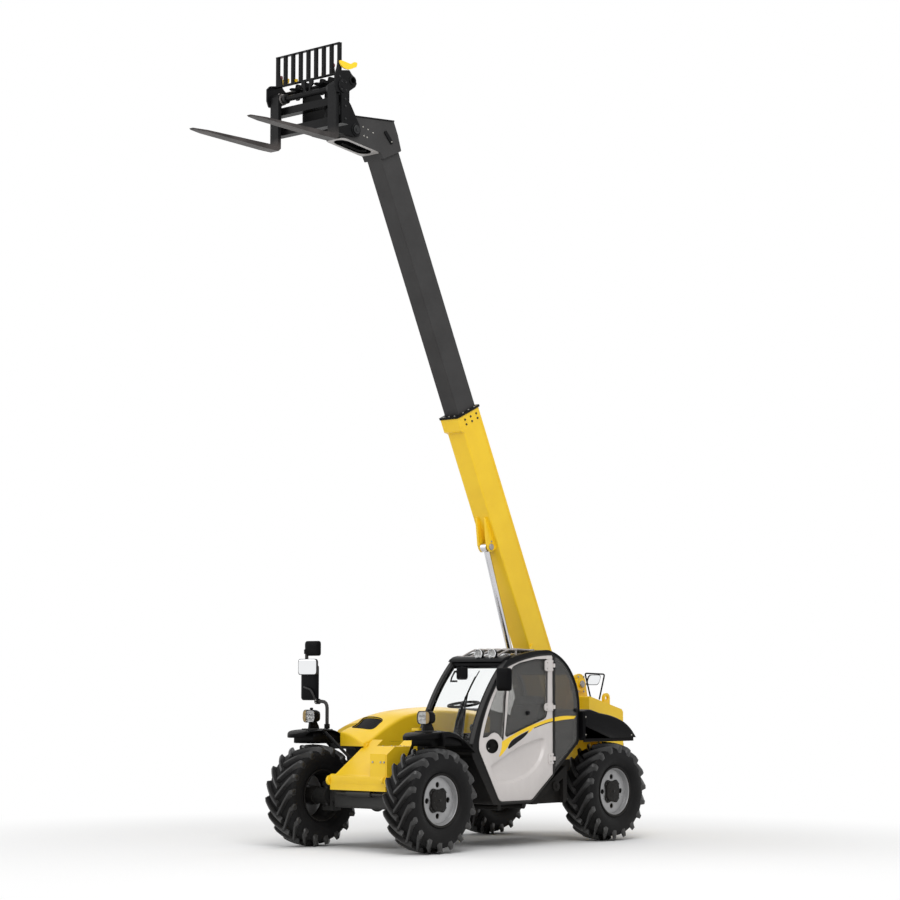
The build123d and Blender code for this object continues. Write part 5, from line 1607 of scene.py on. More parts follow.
    def trim(self) -> None:
        """Lower casing's seam rubber, hood latches and the side louvres of the casing."""
        pads = [brick((self.left - 0.002, self.left + 0.004), (y - 0.03, y + 0.03), (1.125, 1.165))
                for y in (0.95, 2.05)]
        Part("hood_latches", self.body, BLACK, bevel=0.0015).make(
            *pads, *[piece.moved((self.far - self.left - 0.002, 0, 0)) for piece in pads])
        across = self.far - self.left
        seam = tube([(self.left - 0.003, 0.87, 1.0945), (self.left - 0.003, 2.19, 1.0945)], 0.006)
        Part("hood_seam_rubber", self.body, SEAL).make(seam, seam.moved((across + 0.006, 0, 0)))
        slats = [carry(np.array([(-0.014, 0.0), (0.012, 0.010), (0.014, 0.012), (-0.012, 0.003)]),
                       [(self.far - 0.001, 1.10, z), (self.far - 0.001, 1.86, z)], side=(0, 0, 1))
                 for z in np.arange(0.72, 1.02, 0.04)]
        x, front, rear, low, high = self.far - 0.004, 1.08, 1.88, 0.69, 1.03
        frame_bar = tube([(x, front, low), (x, rear, low), (x, rear, high), (x, front, high),
                          (x, front, low + 0.01)], 0.005, 0.02)
        Part("casing_louvres", self.body, BLACK).make(*slats, frame_bar)


@dataclass
class FrontGuard:
    """Leaf-shaped moulded guard over a front wheel, made for the left side."""

    side: str
    foot_x: float
    inner: float = 0.660
    outer: float = 1.040
    skin: float = 0.006
    body: str = "chassis"
    crown: tuple = ((-0.390, 0.080), (-0.375, 0.098), (-0.340, 0.112), (-0.200, 0.145), (0.0, 0.158),
                    (0.150, 0.152), (0.320, 0.080), (0.440, -0.005), (0.480, -0.060), (0.490, -0.075))
    lip: tuple = ((-0.390, 0.066), (-0.150, 0.085), (0.0, 0.095), (0.150, 0.098), (0.320, 0.045),
                  (0.480, -0.070))
    clear: float = 0.009

    def level(self, y: Rows, rows: tuple) -> Rows:
        """Height of the crown or of the lip's edge at each y, on a smooth curve."""
        line = smooth(rows, 160)
        return FRONT_LEFT[1].z + np.interp(y, line[:, 0], line[:, 1])

    def edge(self) -> Rows:
        """Plan outline from the inner rear corner, forward, round the nose and back along the outside.

        Returns:
            Rows of (x, y).
        """
        nose = smooth([(self.inner, -0.06), (0.672, -0.155), (0.710, -0.243), (0.765, -0.310),
                       (0.835, -0.335), (0.910, -0.306), (0.975, -0.243), (1.018, -0.173), (1.036, -0.104),
                       (self.outer, -0.02)], 60)
        straight = np.linspace(0.478, -0.05, 26)
        return np.vstack([np.column_stack([np.full(26, self.inner), straight]), nose,
                          np.column_stack([np.full(26, self.outer), straight[::-1]])])

    def leaf(self) -> Shell:
        """Skin from the middle line to the outline, rolled over a small radius and down to the lip.

        Returns:
            Rows from spine to outline, then round a quarter circle and down to the lip's edge.
        """
        edge = self.edge()
        spine = np.column_stack([np.full(len(edge), 0.85), np.clip(edge[:, 1], -0.20, 0.478)])
        inward = unit(spine - edge + 1e-9)
        inward[np.abs(edge[:, 1]) > 0.40] = (0, 0)
        inward = np.where(edge[:, :1] < self.inner + 0.001, (1.0, 0.0), inward)
        inward = np.where(edge[:, :1] > self.outer - 0.001, (-1.0, 0.0), inward)
        roll = 0.020
        rows = []
        for s in np.linspace(0, 1, 12):
            at = spine + s * (edge + inward * roll - spine)
            rows.append(np.column_stack([at, self.level(at[:, 1], self.crown) - 0.006 * s ** 4]))
        quarter = np.linspace(0, math.pi / 2, 5)[1:]
        top = rows[-1]
        from_inside = np.clip((edge[:, 0] - self.inner - 0.02) / 0.05, 0, 1)
        from_tail = np.clip((0.47 - edge[:, 1]) / 0.03, 0, 1)
        turned = from_inside * from_tail
        turned = turned * turned * (3 - 2 * turned)
        for t in quarter:
            out = -inward * roll * math.sin(t)
            drop = -roll * (1 - math.cos(t)) * (0.35 + 0.65 * turned)
            rows.append(top + np.column_stack([out, drop]))
        last = rows[-1]
        depth = np.maximum(last[:, 2] - self.level(edge[:, 1], self.lip), 0.004) * turned
        rows += [last - np.column_stack([0 * depth, 0 * depth, depth * s]) for s in (0.33, 0.66, 1.0)]
        return lattice(np.stack(rows))

    def liner(self) -> Shell:
        """Wall hung under the skin, a step inside the outline, down to just above the tyre.

        Returns:
            Three rows from the skin's underside down to its lower edge.
        """
        line = resample(grow(self.edge(), -0.045), 90)
        line = line[(line[:, 1] < 0.335)]
        line[:, 1] = np.maximum(line[:, 1], -0.120)
        top = self.level(line[:, 1], self.crown) - 0.010
        low = np.minimum(np.full(len(line), FRONT_LEFT[1].z + self.clear), top - 0.004)
        return lattice(np.stack([np.column_stack([line, top + (low - top) * share])
                                 for share in (0, 0.5, 1)]))

    def stay(self) -> Shell:
        """Diagonal tube from the nose with a bolted foot and a cross piece under the crown.

        Returns:
            The stay with its foot, its cross piece and its boss.
        """
        z = FRONT_LEFT[1].z
        top = (self.inner + 0.015, 0.0, z + 0.138)
        foot = (self.foot_x + 0.014, 0.10, 0.905)
        plate = brick((self.foot_x + 0.0005, self.foot_x + 0.014), (0.055, 0.145), (0.860, 0.950))
        under = [(self.inner + 0.010, 0.0, z + 0.139), (0.80, 0.0, z + 0.139), (1.000, 0.0, z + 0.128)]
        return join(rod(foot, top, 0.016), plate, tube(under, 0.011, 0.05),
                    lathe([(-0.02, 0), (-0.02, 0.024), (0.02, 0.024), (0.02, 0)], top, (1, 0, 0), 24))

    def build(self) -> None:
        """Make the guard and its stay on its side."""
        def put(shell: Shell) -> Shell:
            """The shell on this guard's side."""
            return on_side(self.side, shell)

        heads = bolts([(self.foot_x + 0.014, y, z) for y in (0.072, 0.128) for z in (0.877, 0.933)],
                      size=0.008)
        tops = bolts([(x, y, float(self.level(np.array([y]), self.crown)[0]) - 0.0005)
                      for x in (0.72, 0.98) for y in (-0.02, 0.02)], (0, 0, 1), 0.006)
        Part(f"front_{self.side}_guard", self.body, MOULDED, thick=self.skin, angle=50,
             replaces=("front_mudguards",) if self.side == "left" else ()).make(put(self.leaf()))
        Part(f"front_{self.side}_guard_liner", self.body, MOULDED, thick=0.004, angle=50).make(
            put(self.liner()))
        Part(f"front_{self.side}_guard_stay", self.body, BLACK, bevel=0.002).make(put(self.stay()))
        Part(f"front_{self.side}_guard_bolts", self.body, BOLT).make(put(join(heads, tops)))


@dataclass
class RearGuard:
    """Deep moulded guard over a rear wheel, open underneath, made for the left side."""

    side: str
    inner: float = 0.4703
    outer: float = 1.035
    body: str = "chassis"
    crown: tuple = ((-0.565, 0.048), (-0.565, 0.340), (-0.455, 0.366), (-0.283, 0.322), (-0.110, 0.296),
                    (0.030, 0.262), (0.154, 0.217), (0.260, 0.150), (0.330, 0.083), (0.358, 0.048))

    def outline(self, step: float = 0.0, low: float = 0.0) -> Rows:
        """Side view of the guard with softened corners, moved outwards by a step.

        Args:
            step: how far outwards.
            low: how far its foot reaches below the guard's.

        Returns:
            Rows of (y, z).
        """
        base = (WHEELBASE, FRONT_LEFT[1].z)
        crest = smooth(self.crown[3:], 40)
        line = np.vstack([bend(self.crown[0], self.crown[1], self.crown[2], 0.022),
                          bend(self.crown[1], self.crown[2], self.crown[3], 0.050), crest])
        line[[0, -1], 1] = 0.048
        start = np.array([(self.crown[0][0], 0.048)])
        ring = np.vstack([start, line[:-1], crest[-1:]])
        moved = grow(ring, step)
        moved[:, 1] = np.maximum(moved[:, 1], 0.048 - low)
        moved[[0, -1], 1] = 0.048 - low
        return moved + base

    def build(self) -> None:
        """Loft the outer form, hollow it from below and add its ribs and bolts."""
        def put(shell: Shell) -> Shell:
            """The shell on this guard's side."""
            return on_side(self.side, shell)

        soft = 0.026
        turn = np.linspace(0, math.pi / 2, 7)
        sheets = [at_x(self.outline(), self.inner), at_x(self.outline(), self.outer - soft)]
        sheets += [at_x(self.outline(-soft * (1 - math.cos(t))), self.outer - soft + soft * math.sin(t))
                   for t in turn[1:]]
        guard = Part(f"rear_{self.side}_guard", self.body, MOULDED, angle=40,
                     replaces=("rear_mudguards",) if self.side == "left" else ()).make(put(rings(*sheets)))
        hollow = rings(at_x(self.outline(-0.013, 0.05), self.inner + 0.014),
                       at_x(self.outline(-0.013, 0.05), self.outer - 0.020),
                       at_x(self.outline(-0.030, 0.05), self.outer - 0.010))
        carve(guard, put(hollow))
        shade(guard.data, 40)
        base_y, base_z = WHEELBASE, FRONT_LEFT[1].z
        beads = [tube([(x, base_y - 0.435, base_z + 0.357), (x, base_y - 0.283, base_z + 0.3215),
                       (x, base_y - 0.110, base_z + 0.2955), (x, base_y + 0.030, base_z + 0.2615),
                       (x, base_y + 0.140, base_z + 0.2205)], 0.004, 0.08, 8) for x in (0.52, 0.985)]
        Part(f"rear_{self.side}_guard_ribs", self.body, MOULDED).make(put(join(*beads)))
        heads = bolts([(self.outer, base_y + y, base_z + z) for y, z in
                       ((-0.535, 0.09), (-0.535, 0.28), (0.26, 0.075))], size=0.007)
        skirt = [brick((x - 0.003, x + 0.003), (base_y - 0.54, base_y + 0.33),
                       (base_z + 0.009, base_z + 0.075)) for x in (self.inner + 0.006, self.outer - 0.030)]
        Part(f"rear_{self.side}_guard_skirt", self.body, MOULDED, bevel=0.001).make(put(join(*skirt)))
        Part(f"rear_{self.side}_guard_bolts", self.body, BOLT).make(put(heads))


@dataclass
class FrontEnd:
    """Fastenings and covers of the nose: the bolted box, the sill's eyes and face, the hood's apron."""

    body: str = "chassis"
    box_front: float = -0.1755
    box_top: float = 1.0655
    side_eye: tuple = (0.4285, -0.165, 0.707)
    front_eye: tuple = (0.388, -0.196, 0.722)

    def nose_box(self) -> None:
        """Bolts and cover plates of the box beside the boom."""
        front = [(x, self.box_front, 0.908) for x in (0.218, 0.332, 0.380)]
        top = [(x, y, self.box_top - 0.001) for x in (0.210, 0.385) for y in (-0.02, 0.11, 0.24)]
        Part("nose_box_bolts", self.body, BOLT).make(
            bolts(front, (0, -1, 0), 0.0115), bolts(top, (0, 0, 1), 0.008))
        cover = slab(framed((0.178, 0.400), (0.735, 0.992), 0.010),
                     self.box_front - 0.003, self.box_front + 0.002, Along.Y)
        lid = slab(framed((0.196, 0.399), (-0.040, 0.262), 0.014),
                   self.box_top - 0.002, self.box_top + 0.0007, Along.Z)
        Part("nose_box_covers", self.body, YELLOW, bevel=0.0008).make(cover, lid)

    def sill(self) -> None:
        """Eyes on the sill's two ends, the weld lines above it, its face and the eye in front."""
        collars, pins = [], []
        for sign in (1, -1):
            place, out = np.array(self.side_eye) * (sign, 1, 1), (sign, 0, 0)
            collars.append(lathe([(0.0, 0.022), (0.0, 0.036), (0.004, 0.038), (0.007, 0.036), (0.007, 0.024),
                                  (0.0, 0.022)], place, out, 40))
            pins.append(lathe([(-0.02, 0.0), (-0.02, 0.0215), (0.0, 0.0215), (0.0, 0.0)], place, out, 32))
        Part("sill_eye_rings", self.body, YELLOW).make(*collars)
        Part("sill_eye_bushes", self.body, CAST).make(*pins)
        low = 0.7548
        seams = [tube([(x, -0.18, low), (x, 0.23, low + 0.41 * 0.68)], 0.004, sides=8)
                 for x in (-0.335, 0.3345)]
        Part("nose_welds", self.body, YELLOW).make(*seams)
        cap = rounded([(-0.1808, 0.672), (-0.1808, 0.757), (-0.150, 0.775), (-0.150, 0.672)], 0.004, 3,
                      closed=True)
        Part("sill_face", self.body, YELLOW, bevel=0.002).make(slab(cap, -0.412, 0.402))
        eye = [(-0.016, 0.020), (-0.016, 0.034), (-0.012, 0.037), (0.012, 0.037), (0.016, 0.034),
               (0.016, 0.020), (-0.016, 0.020)]
        Part("sill_front_eye", self.body, YELLOW).make(lathe(eye, self.front_eye, sides=40))
        plug = [(-0.012, 0), (-0.012, 0.0195), (0.010, 0.0195), (0.014, 0.010), (0.014, 0)]
        Part("sill_eye_plug", self.body, STEEL).make(lathe(plug, self.front_eye, sides=28))

    def apron(self) -> None:
        """Plate under the hood's front corner, and the hood's hinge boss on its clamp."""
        Part("hood_apron", self.body, YELLOW, bevel=0.0015).make(
            brick((-0.3150, -0.3090), (0.262, 0.860), (0.990, 1.0935)))
        clamp = brick((-0.312, -0.300), (0.225, 0.300), (1.02, 1.085))
        boss = [(0, 0), (0, 0.028), (0.014, 0.028), (0.018, 0.024), (0.018, 0.010), (0.012, 0.008),
                (0.012, 0)]
        Part("hood_hinge_boss", self.body, YELLOW, bevel=0.002).make(
            clamp, lathe(boss, (-0.300, 0.262, 1.052), sides=32))

    def build(self) -> None:
        """Dress the CAD nose and make the details that stand on it."""
        dress(YELLOW, "front_nose")
        self.nose_box()
        self.sill()
        self.apron()


@dataclass
class RearEnd:
    """Tail lamps, louvres and fastenings of the rear body, with the side tank's cap and step treads."""

    body: str = "chassis"
    back: float = WHEELBASE + 0.830

    def lamps(self) -> None:
        """Tail lamps: a moulded body each side with an amber lens outside and a red one inside."""
        bodies, amber, red = [], [], []
        lens = [(0, 0), (0, 0.025), (0.006, 0.024), (0.009, 0.012), (0.0095, 0)]
        for sign in (1, -1):
            x = sign * 0.385
            bodies.append(slab(framed((x - 0.07, x + 0.07), (0.93, 1.04), 0.014),
                               self.back - 0.001, self.back + 0.026, Along.Y))
            for shift, group in ((0.033, amber), (-0.033, red)):
                group.append(lathe(lens, (x + sign * shift, self.back + 0.0255, 0.985), (0, 1, 0), 28))
        Part("tail_lamp_bodies", self.body, MOULDED, bevel=0.002).make(*bodies)
        Part("tail_lamp_indicators", self.body, AMBER).make(*amber)
        Part("tail_lamp_lenses", self.body, TAIL).make(*red)

    def panels(self) -> None:
        """The counterweight's bolts, the rear louvres, the tank's cap and its step treads."""
        heads = [(x, self.back, z) for x in (-0.30, -0.10, 0.10, 0.30) for z in (0.92, 1.06)
                 if abs(x) < 0.2 or z > 1.0]
        Part("counterweight_bolts", self.body, BOLT).make(bolts(heads, (0, 1, 0), 0.012))
        blade = np.array([(-0.010, 0.0), (0.010, 0.007), (0.010, 0.010), (-0.010, 0.003)])
        foot = self.back - 0.0005
        louvres = [carry(blade, [(-0.43, foot, z), (-0.22, foot, z)], side=(0, 0, 1))
                   for z in np.arange(1.14, 1.32, 0.028)]
        Part("rear_louvres", self.body, YELLOW).make(*louvres)
        cap = lathe([(0, 0), (0, 0.055), (0.016, 0.056), (0.022, 0.050), (0.024, 0.020), (0.034, 0.018),
                     (0.036, 0.0)], (0.950, 1.86, 0.62), sides=36,
                    ripple=lambda turn, height, radius: radius + 0.0015 * (radius > 0.05) * np.cos(18 * turn))
        Part("tank_cap", self.body, MOULDED).make(cap)
        slope = 0.52
        tread = [brick((0.892, 0.948), (y - 0.004, y + 0.004),
                       (0.5 + (y - 1.56) * slope, 0.506 + (y - 1.56) * slope))
                 for y in np.arange(1.60, 1.98, 0.03)]
        Part("step_treads", self.body, BLACK).make(*tread)

    def pivot(self) -> None:
        """Caps on the boom pivot's two ends, each in its ring of bolts."""
        cap = [(0, 0), (0, 0.040), (0.010, 0.040), (0.016, 0.034), (0.018, 0.012), (0.018, 0.0)]
        pins = [lathe(cap, (sign * 0.205, PIVOT[1], PIVOT[2]), (sign, 0, 0), 36) for sign in (1, -1)]
        keeps = [bolts(ring_of((sign * 0.190, PIVOT[1], PIVOT[2]), 0.095, 6), (sign, 0, 0), 0.010)
                 for sign in (1, -1)]
        Part("pivot_pin_caps", self.body, STEEL).make(*pins)
        Part("pivot_bolts", self.body, BOLT).make(*keeps)

    def build(self) -> None:
        """Dress the CAD rear body and side tank and make the details that stand on them."""
        dress(YELLOW, "rear_body", "boom_support")
        dress(MOULDED, "side_tank", "engine_pod")
        self.lamps()
        self.panels()
        self.pivot()


# ---------------------------------------------------------------- boom
@dataclass
class Boom:
    """What stands on the outer boom: the black end flange, its bolts, the wear-pad screws."""

    half: float = 0.125
    top: float = -0.2255
    low: float = -0.5705
    front: float = 3.473
    flange: float = 0.022
    body: str = "boom"

    def collar(self) -> None:
        """Black flange over the collar's end, with its ring of bolts and the wear pads' screws."""
        low, top, side = self.low - 0.0485, self.top + 0.0105, self.half + 0.0125
        line = framed((-side, side), (low, top), 0.016, 5)
        gap = framed((-0.1095, 0.1095), (self.low + 0.012, self.top - 0.008), 0.012)
        plate = slab(line, self.front - self.flange - 0.0008, self.front + 0.0012, Along.Y, (gap,))
        Part("boom_end_flange", self.body, BLACK, bevel=0.0015).make(plate.mapped(on_boom))
        levels = (-0.30, -0.40, -0.50)
        spots = [(x, self.front + 0.001, z) for x in (-0.123, 0.123) for z in levels]
        spots += [(x, self.front + 0.001, -0.594) for x in (-0.08, 0.0, 0.08)]
        Part("boom_flange_bolts", self.body, BOLT).make(
            bolts(spots, (0, 1, 0), 0.0085).mapped(on_boom))
        rows = (self.front - 0.075, self.front - 0.130)
        sides = [bolts([(sign * self.half, f, u) for f in rows for u in levels], (sign, 0, 0), 0.010)
                 for sign in (1, -1)]
        over = bolts([(x, f, self.top) for x in (-0.07, 0.07) for f in rows], (0, 0, 1), 0.010)
        Part("pad_screws", self.body, CAST).make(join(*sides, over).mapped(on_boom))

    def fittings(self) -> None:
        """Lifting loop on top, the cylinder lug's pin with its keeper, and the ears' weld lines."""
        loop = tube([(-0.04, 2.62, self.top - 0.002), (-0.04, 2.62, self.top + 0.05),
                     (0.04, 2.62, self.top + 0.05), (0.04, 2.62, self.top - 0.002)], 0.007, 0.03)
        Part("boom_loop", self.body, YELLOW).make(loop.mapped(on_boom))
        pin = [lathe([(0.0, 0), (0.0, 0.036), (0.008, 0.036), (0.012, 0.030), (0.012, 0)],
                     (sign * 0.0765, LUG[0], LUG[1]), (sign, 0, 0), 32) for sign in (1, -1)]
        keep = bolts([(0.0765, LUG[0] + 0.052, LUG[1] + 0.03)], size=0.009)
        Part("cylinder_pin", self.body, STEEL).make(join(*pin, keep).mapped(on_boom))
        weld = [tube([(sign * (self.half + 0.0005), 0.44, self.top - 0.10),
                      (sign * (self.half + 0.0005), 0.20, self.top + 0.09)], 0.004, sides=8)
                for sign in (1, -1)]
        Part("boom_ear_welds", self.body, YELLOW).make(join(*weld).mapped(on_boom))

    def build(self) -> None:
        """Dress the outer and inner booms and add the fittings."""
        dress(YELLOW, "boom_outer")
        dress(DARK, "boom_inner")
        self.collar()
        self.fittings()


@dataclass
class Head:
    """What stands on the goose-neck head: light plate below, bolts, slotted boss, pin ends."""

    half: float = 0.140
    tilt: tuple = (6.770, -0.866)
    body: str = "boom_slide"

    def plate(self) -> tuple[Shell, Shell]:
        """Thin light plate along the sloped underside with its oval opening, and a flat black ring of painted
        shade inside the opening.

        Returns:
            The plate with its opening, and the ring of painted shade inside it.
        """
        start, end = np.array((6.440, -0.5615)), np.array((6.730, -1.012))
        run = end - start
        ahead = run / float(np.linalg.norm(run))
        square = np.array((ahead[1], -ahead[0]))
        side = self.half - 0.004
        edge = framed((-side, side), (0.006, 0.562), 0.05, 6)
        flat = slab(edge, 0.0, 0.004, Along.Z, (oval(0.096, 0.145, 0.290, 48),))
        # A flat black ring inside the opening: painted shade where the opening is dark.
        liner = slab(oval(0.0958, 0.145, 0.290, 48), 0.0, 0.0012, Along.Z, (oval(0.060, 0.105, 0.268, 48),))

        def lean(points: Rows) -> Rows:
            """Lay the level plate along the underside.

            Args:
                points: rows of (x, along the underside, out from it).

            Returns:
                Rows in the machine's frame.
            """
            x, along, out = points.T
            at = start + along[:, None] * ahead + (out + 0.0005)[:, None] * square
            return on_boom(np.column_stack([x, at]))

        return flat.mapped(lean), liner.mapped(lean)

    def build(self) -> None:
        """Dress the head and add its plate, bolts, boss and pin ends."""
        dress(DARK, "boom_head")
        rim, liner = self.plate()
        # The underplate wears the darker copy of the light grey paint: painted shade.
        Part("head_underplate", self.body, PALE_IN_PAINTED_SHADE).make(rim)
        # The black ring inside the opening is painted shade.
        Part("head_opening_painted_shade", self.body, OPENING_SHADE).make(liner)
        cluster = ((6.755, -0.832), (6.766, -0.712), (6.720, -0.650), (6.667, -0.592), (6.675, -0.738),
                   (6.648, -0.700), (6.503, -0.366))
        lift = [0.0] * 6 + [0.012]
        side = [bolts([(sign * (self.half + out), f, u) for (f, u), out in zip(cluster, lift)], (sign, 0, 0),
                      0.007) for sign in (1, -1)]
        Part("head_side_bolts", self.body, BOLT).make(join(*side).mapped(on_boom))
        first, last = np.array((6.616, -0.406)), np.array((6.500, -0.366))
        across = 0.021 * unit(np.array((last - first)[::-1]) * (-1, 1))
        along = 0.020 * unit(last - first)
        line = rounded([first - along - across, first - along + across, last + along + across,
                        last + along - across], 0.0205, 6, closed=True)
        bosses = [slab(line, *sorted((sign * self.half, sign * (self.half + 0.012)))) for sign in (1, -1)]
        Part("head_bosses", self.body, BLACK, bevel=0.003).make(join(*bosses).mapped(on_boom))
        ends = [lathe([(0, 0), (0, 0.044), (0.008, 0.044), (0.012, 0.040), (0.012, 0.020), (0.020, 0.018),
                       (0.020, 0)], (sign * 0.184, *self.tilt), (sign, 0, 0), 40) for sign in (1, -1)]
        Part("tilt_pin_ends", self.body, CAST).make(join(*ends).mapped(on_boom))
        top, toe = np.array((6.689, -0.2285)), np.array((6.912, -0.826))
        out = 0.014 * np.array((0.937, 0.350))
        lip = slab([top, toe, toe + out, top + out], -self.half - 0.009, self.half + 0.009)
        Part("head_top_lip", self.body, BLACK, bevel=0.002).make(lip.mapped(on_boom))


@dataclass
class Cylinder:
    """Gland, ports and pipe of the lift cylinder."""

    lean: float = field(init=False)
    base: tuple = (0.0, 2.660, 0.800)
    length: float = 1.318

    def __post_init__(self) -> None:
        """Take the cylinder's lean from its stroke's direction."""
        axis = joint("lift_cylinder_stroke")["axis"]
        self.lean = math.atan2(-axis[1], axis[2])

    def along(self, points: Rows) -> Rows:
        """Stand rows of (x, back, up the cylinder) on the base pin, leaning forwards.

        Args:
            points: rows measured from the base pin.

        Returns:
            Rows (x, y cos a - z sin a, y sin a + z cos a) from the base pin.
        """
        x, y, z = np.asarray(points, float).T
        cos, sin = math.cos(self.lean), math.sin(self.lean)
        return np.asarray(self.base) + np.stack([x, y * cos - z * sin, y * sin + z * cos], -1)

    def build(self) -> None:
        """Make the gland nut, the two ports with their pipe, and dress the CAD barrel and rod."""
        dress(DARK, "lift_cylinder_barrel")
        dress(CHROME, "lift_cylinder_rod")

        def castled(turn: Rows, height: Rows, radius: Rows) -> Rows:
            """Twelve grips round the gland nut's outside."""
            return radius + 0.0022 * (radius > 0.06) * np.cos(12 * turn)

        gland = lathe([(self.length - 0.004, 0.036), (self.length - 0.004, 0.066),
                       (self.length + 0.010, 0.066), (self.length + 0.016, 0.058),
                       (self.length + 0.016, 0.036)], axis=(0, 0, 1), sides=48, ripple=castled)
        wiper = lathe([(self.length + 0.0155, 0.0345), (self.length + 0.0155, 0.048),
                       (self.length + 0.022, 0.044), (self.length + 0.022, 0.0345),
                       (self.length + 0.0155, 0.0345)], axis=(0, 0, 1), sides=40)
        ports = [lathe([(0.055, 0), (0.055, 0.018), (0.084, 0.018), (0.086, 0.013), (0.098, 0.013),
                        (0.098, 0)], (0, 0, z), (1, 0, 0), 20) for z in (0.13, 1.245)]
        pipe = tube([(0.094, 0, 0.13), (0.094, 0.030, 0.16), (0.090, 0.030, 1.20), (0.094, 0, 1.245)], 0.007,
                    0.03)
        straps = [sleeve(0.012, 0.0605, 0.0635, (0, 0, z), (0, 0, 1), 48) for z in (0.35, 0.95)]
        for name, finish, shells in (
                ("cylinder_gland", CAST, (gland, wiper)),
                ("cylinder_ports", BOLT, tuple(ports)),
                ("cylinder_pipe", BOLT, (pipe, *straps))):
            Part(name, "cylinder", finish).make(join(*shells).mapped(self.along))


# ---------------------------------------------------------------- carriage
@dataclass
class Carriage:
    """Fork carriage details: backrest bars, locks, brackets, shaft ends and bolts."""

    width: float = 0.942
    face: float = 0.526
    top: float = 0.780
    low: float = 0.455
    bars: int = 9
    bar: float = 0.035
    side_in: float = 0.492
    side_out: float = 0.512
    shaft: tuple = (0.530, 0.315)
    eye: tuple = (0.538, 0.315)
    body: str = "carriage"

    def put(self, name: str, finish: Finish, *shells: Shell, **options: object) -> None:
        """Make one piece given in the carriage's own frame: across, forward, up."""
        Part(name, self.body, finish, **options).make(join(*shells).mapped(on_carriage))

    def backrest(self) -> None:
        """Nine flat bars between two rails; the outer two swell into gussets at their feet."""
        half = self.width / 2
        pieces = []
        rise = np.linspace(0, 1, 14)
        for index in range(self.bars):
            x = (self.bar - self.width) / 2 + index * (self.width - self.bar) / (self.bars - 1)
            z = self.low + 0.007 + (self.top - 0.007 - self.low - 0.007) * rise
            edge = index in (0, self.bars - 1)
            near = self.bar / 2 + (0.030 * np.exp(-((z - self.low) / 0.07) ** 2) if edge else 0 * z)
            straight = self.bar / 2 + 0 * z
            before = near if x > 0 or not edge else straight
            after = near if x < 0 or not edge else straight
            outline = np.vstack([np.column_stack([x - before, z]), np.column_stack([x + after, z])[::-1]])
            pieces.append(slab(outline, self.face - 0.017, self.face + 0.017, Along.Y))
        rail = slab(framed((-half, half), (self.top - 0.012, self.top), 0.004, 3),
                    self.face - 0.020, self.face + 0.020, Along.Y)
        foot = brick((-self.side_in + 0.0004, self.side_in - 0.0004), (self.face - 0.020, self.face + 0.020),
                     (self.low, self.low + 0.014))
        self.put("backrest_bars", BLACK, *pieces, rail, foot, bevel=0.0015, replaces=("load_backrest",))

    def locks(self) -> None:
        """Hooked locking handles: a thick curved hook on each side plate, and the two pull pins."""
        hook = smooth([(0.323, 0.592), (0.345, 0.597), (0.367, 0.594), (0.392, 0.578), (0.415, 0.567),
                       (0.445, 0.569), (0.500, 0.575), (0.562, 0.578), (0.572, 0.568), (0.569, 0.552),
                       (0.556, 0.532), (0.530, 0.512), (0.500, 0.503), (0.450, 0.502), (0.425, 0.508),
                       (0.410, 0.514), (0.370, 0.533), (0.337, 0.548), (0.325, 0.570)], 90, closed=True)
        short = hook * (0.62, 1) + (0.323 * 0.38, 0)
        hooks = [slab(hook, self.side_in + 0.002, self.side_out - 0.002),
                 slab(short, -self.side_out + 0.002, -self.side_in - 0.002)]
        self.put("locking_hooks", YELLOW, *hooks, bevel=0.003, replaces=("carriage_locks",))
        tabs = [brick((x - 0.018, x + 0.018), (0.498, 0.520), (0.4690, 0.510)) for x in (-0.20, 0.20)]
        self.put("lock_tabs", YELLOW, *tabs, bevel=0.004)
        stems, knobs, heads = [], [], []
        lean = 0.05
        for x in (-0.415, 0.36):
            foot, tip = np.array((x, 0.500, 0.472)), np.array((x - lean, 0.470, 0.575))
            stems.append(rod(foot, tip, 0.008))
            knobs.append(pillow(tip, (0.017, 0.017, 0.022), 2.5))
            heads.append(bolts([(x + 0.055, 0.503, 0.4690)], (0, 0, 1), 0.009))
        self.put("lock_pin_stems", BLACK, *stems)
        self.put("lock_pin_knobs", RED, *knobs)
        self.put("lock_pin_bolts", BOLT, *heads)

    def middle(self) -> None:
        """Centre bracket with its oval opening, and a curved bracket each side of it."""
        plate = rounded([(-0.085, 0.470), (-0.085, 0.405), (-0.052, 0.378), (-0.052, 0.290), (0.052, 0.290),
                         (0.052, 0.378), (0.085, 0.405), (0.085, 0.470)], 0.012, 5, closed=True)
        hole = oval(0.030, 0.030, 0.395, 36)
        self.put("middle_bracket", BLACK, slab(plate, 0.530, 0.548, Along.Y, (hole,)), bevel=0.003)
        horn = rounded([(0.400, 0.470), (0.400, 0.350), (0.430, 0.300), (0.462, 0.296), (0.462, 0.350),
                        (0.480, 0.390), (0.545, 0.388), (0.562, 0.400), (0.545, 0.415), (0.475, 0.425),
                        (0.465, 0.470)], 0.012, 5, closed=True)
        horns = [slab(horn, x - 0.011, x + 0.011) for x in (-0.240, -0.120, 0.120, 0.240)]
        self.put("shaft_brackets", BLACK, *horns, bevel=0.003)
        collars = [sleeve(0.014, 0.0305, 0.050, (x, *self.shaft)) for x in (0.325, -0.325)]
        self.put("shaft_clamps", CAST, *collars, bevel=0.002)

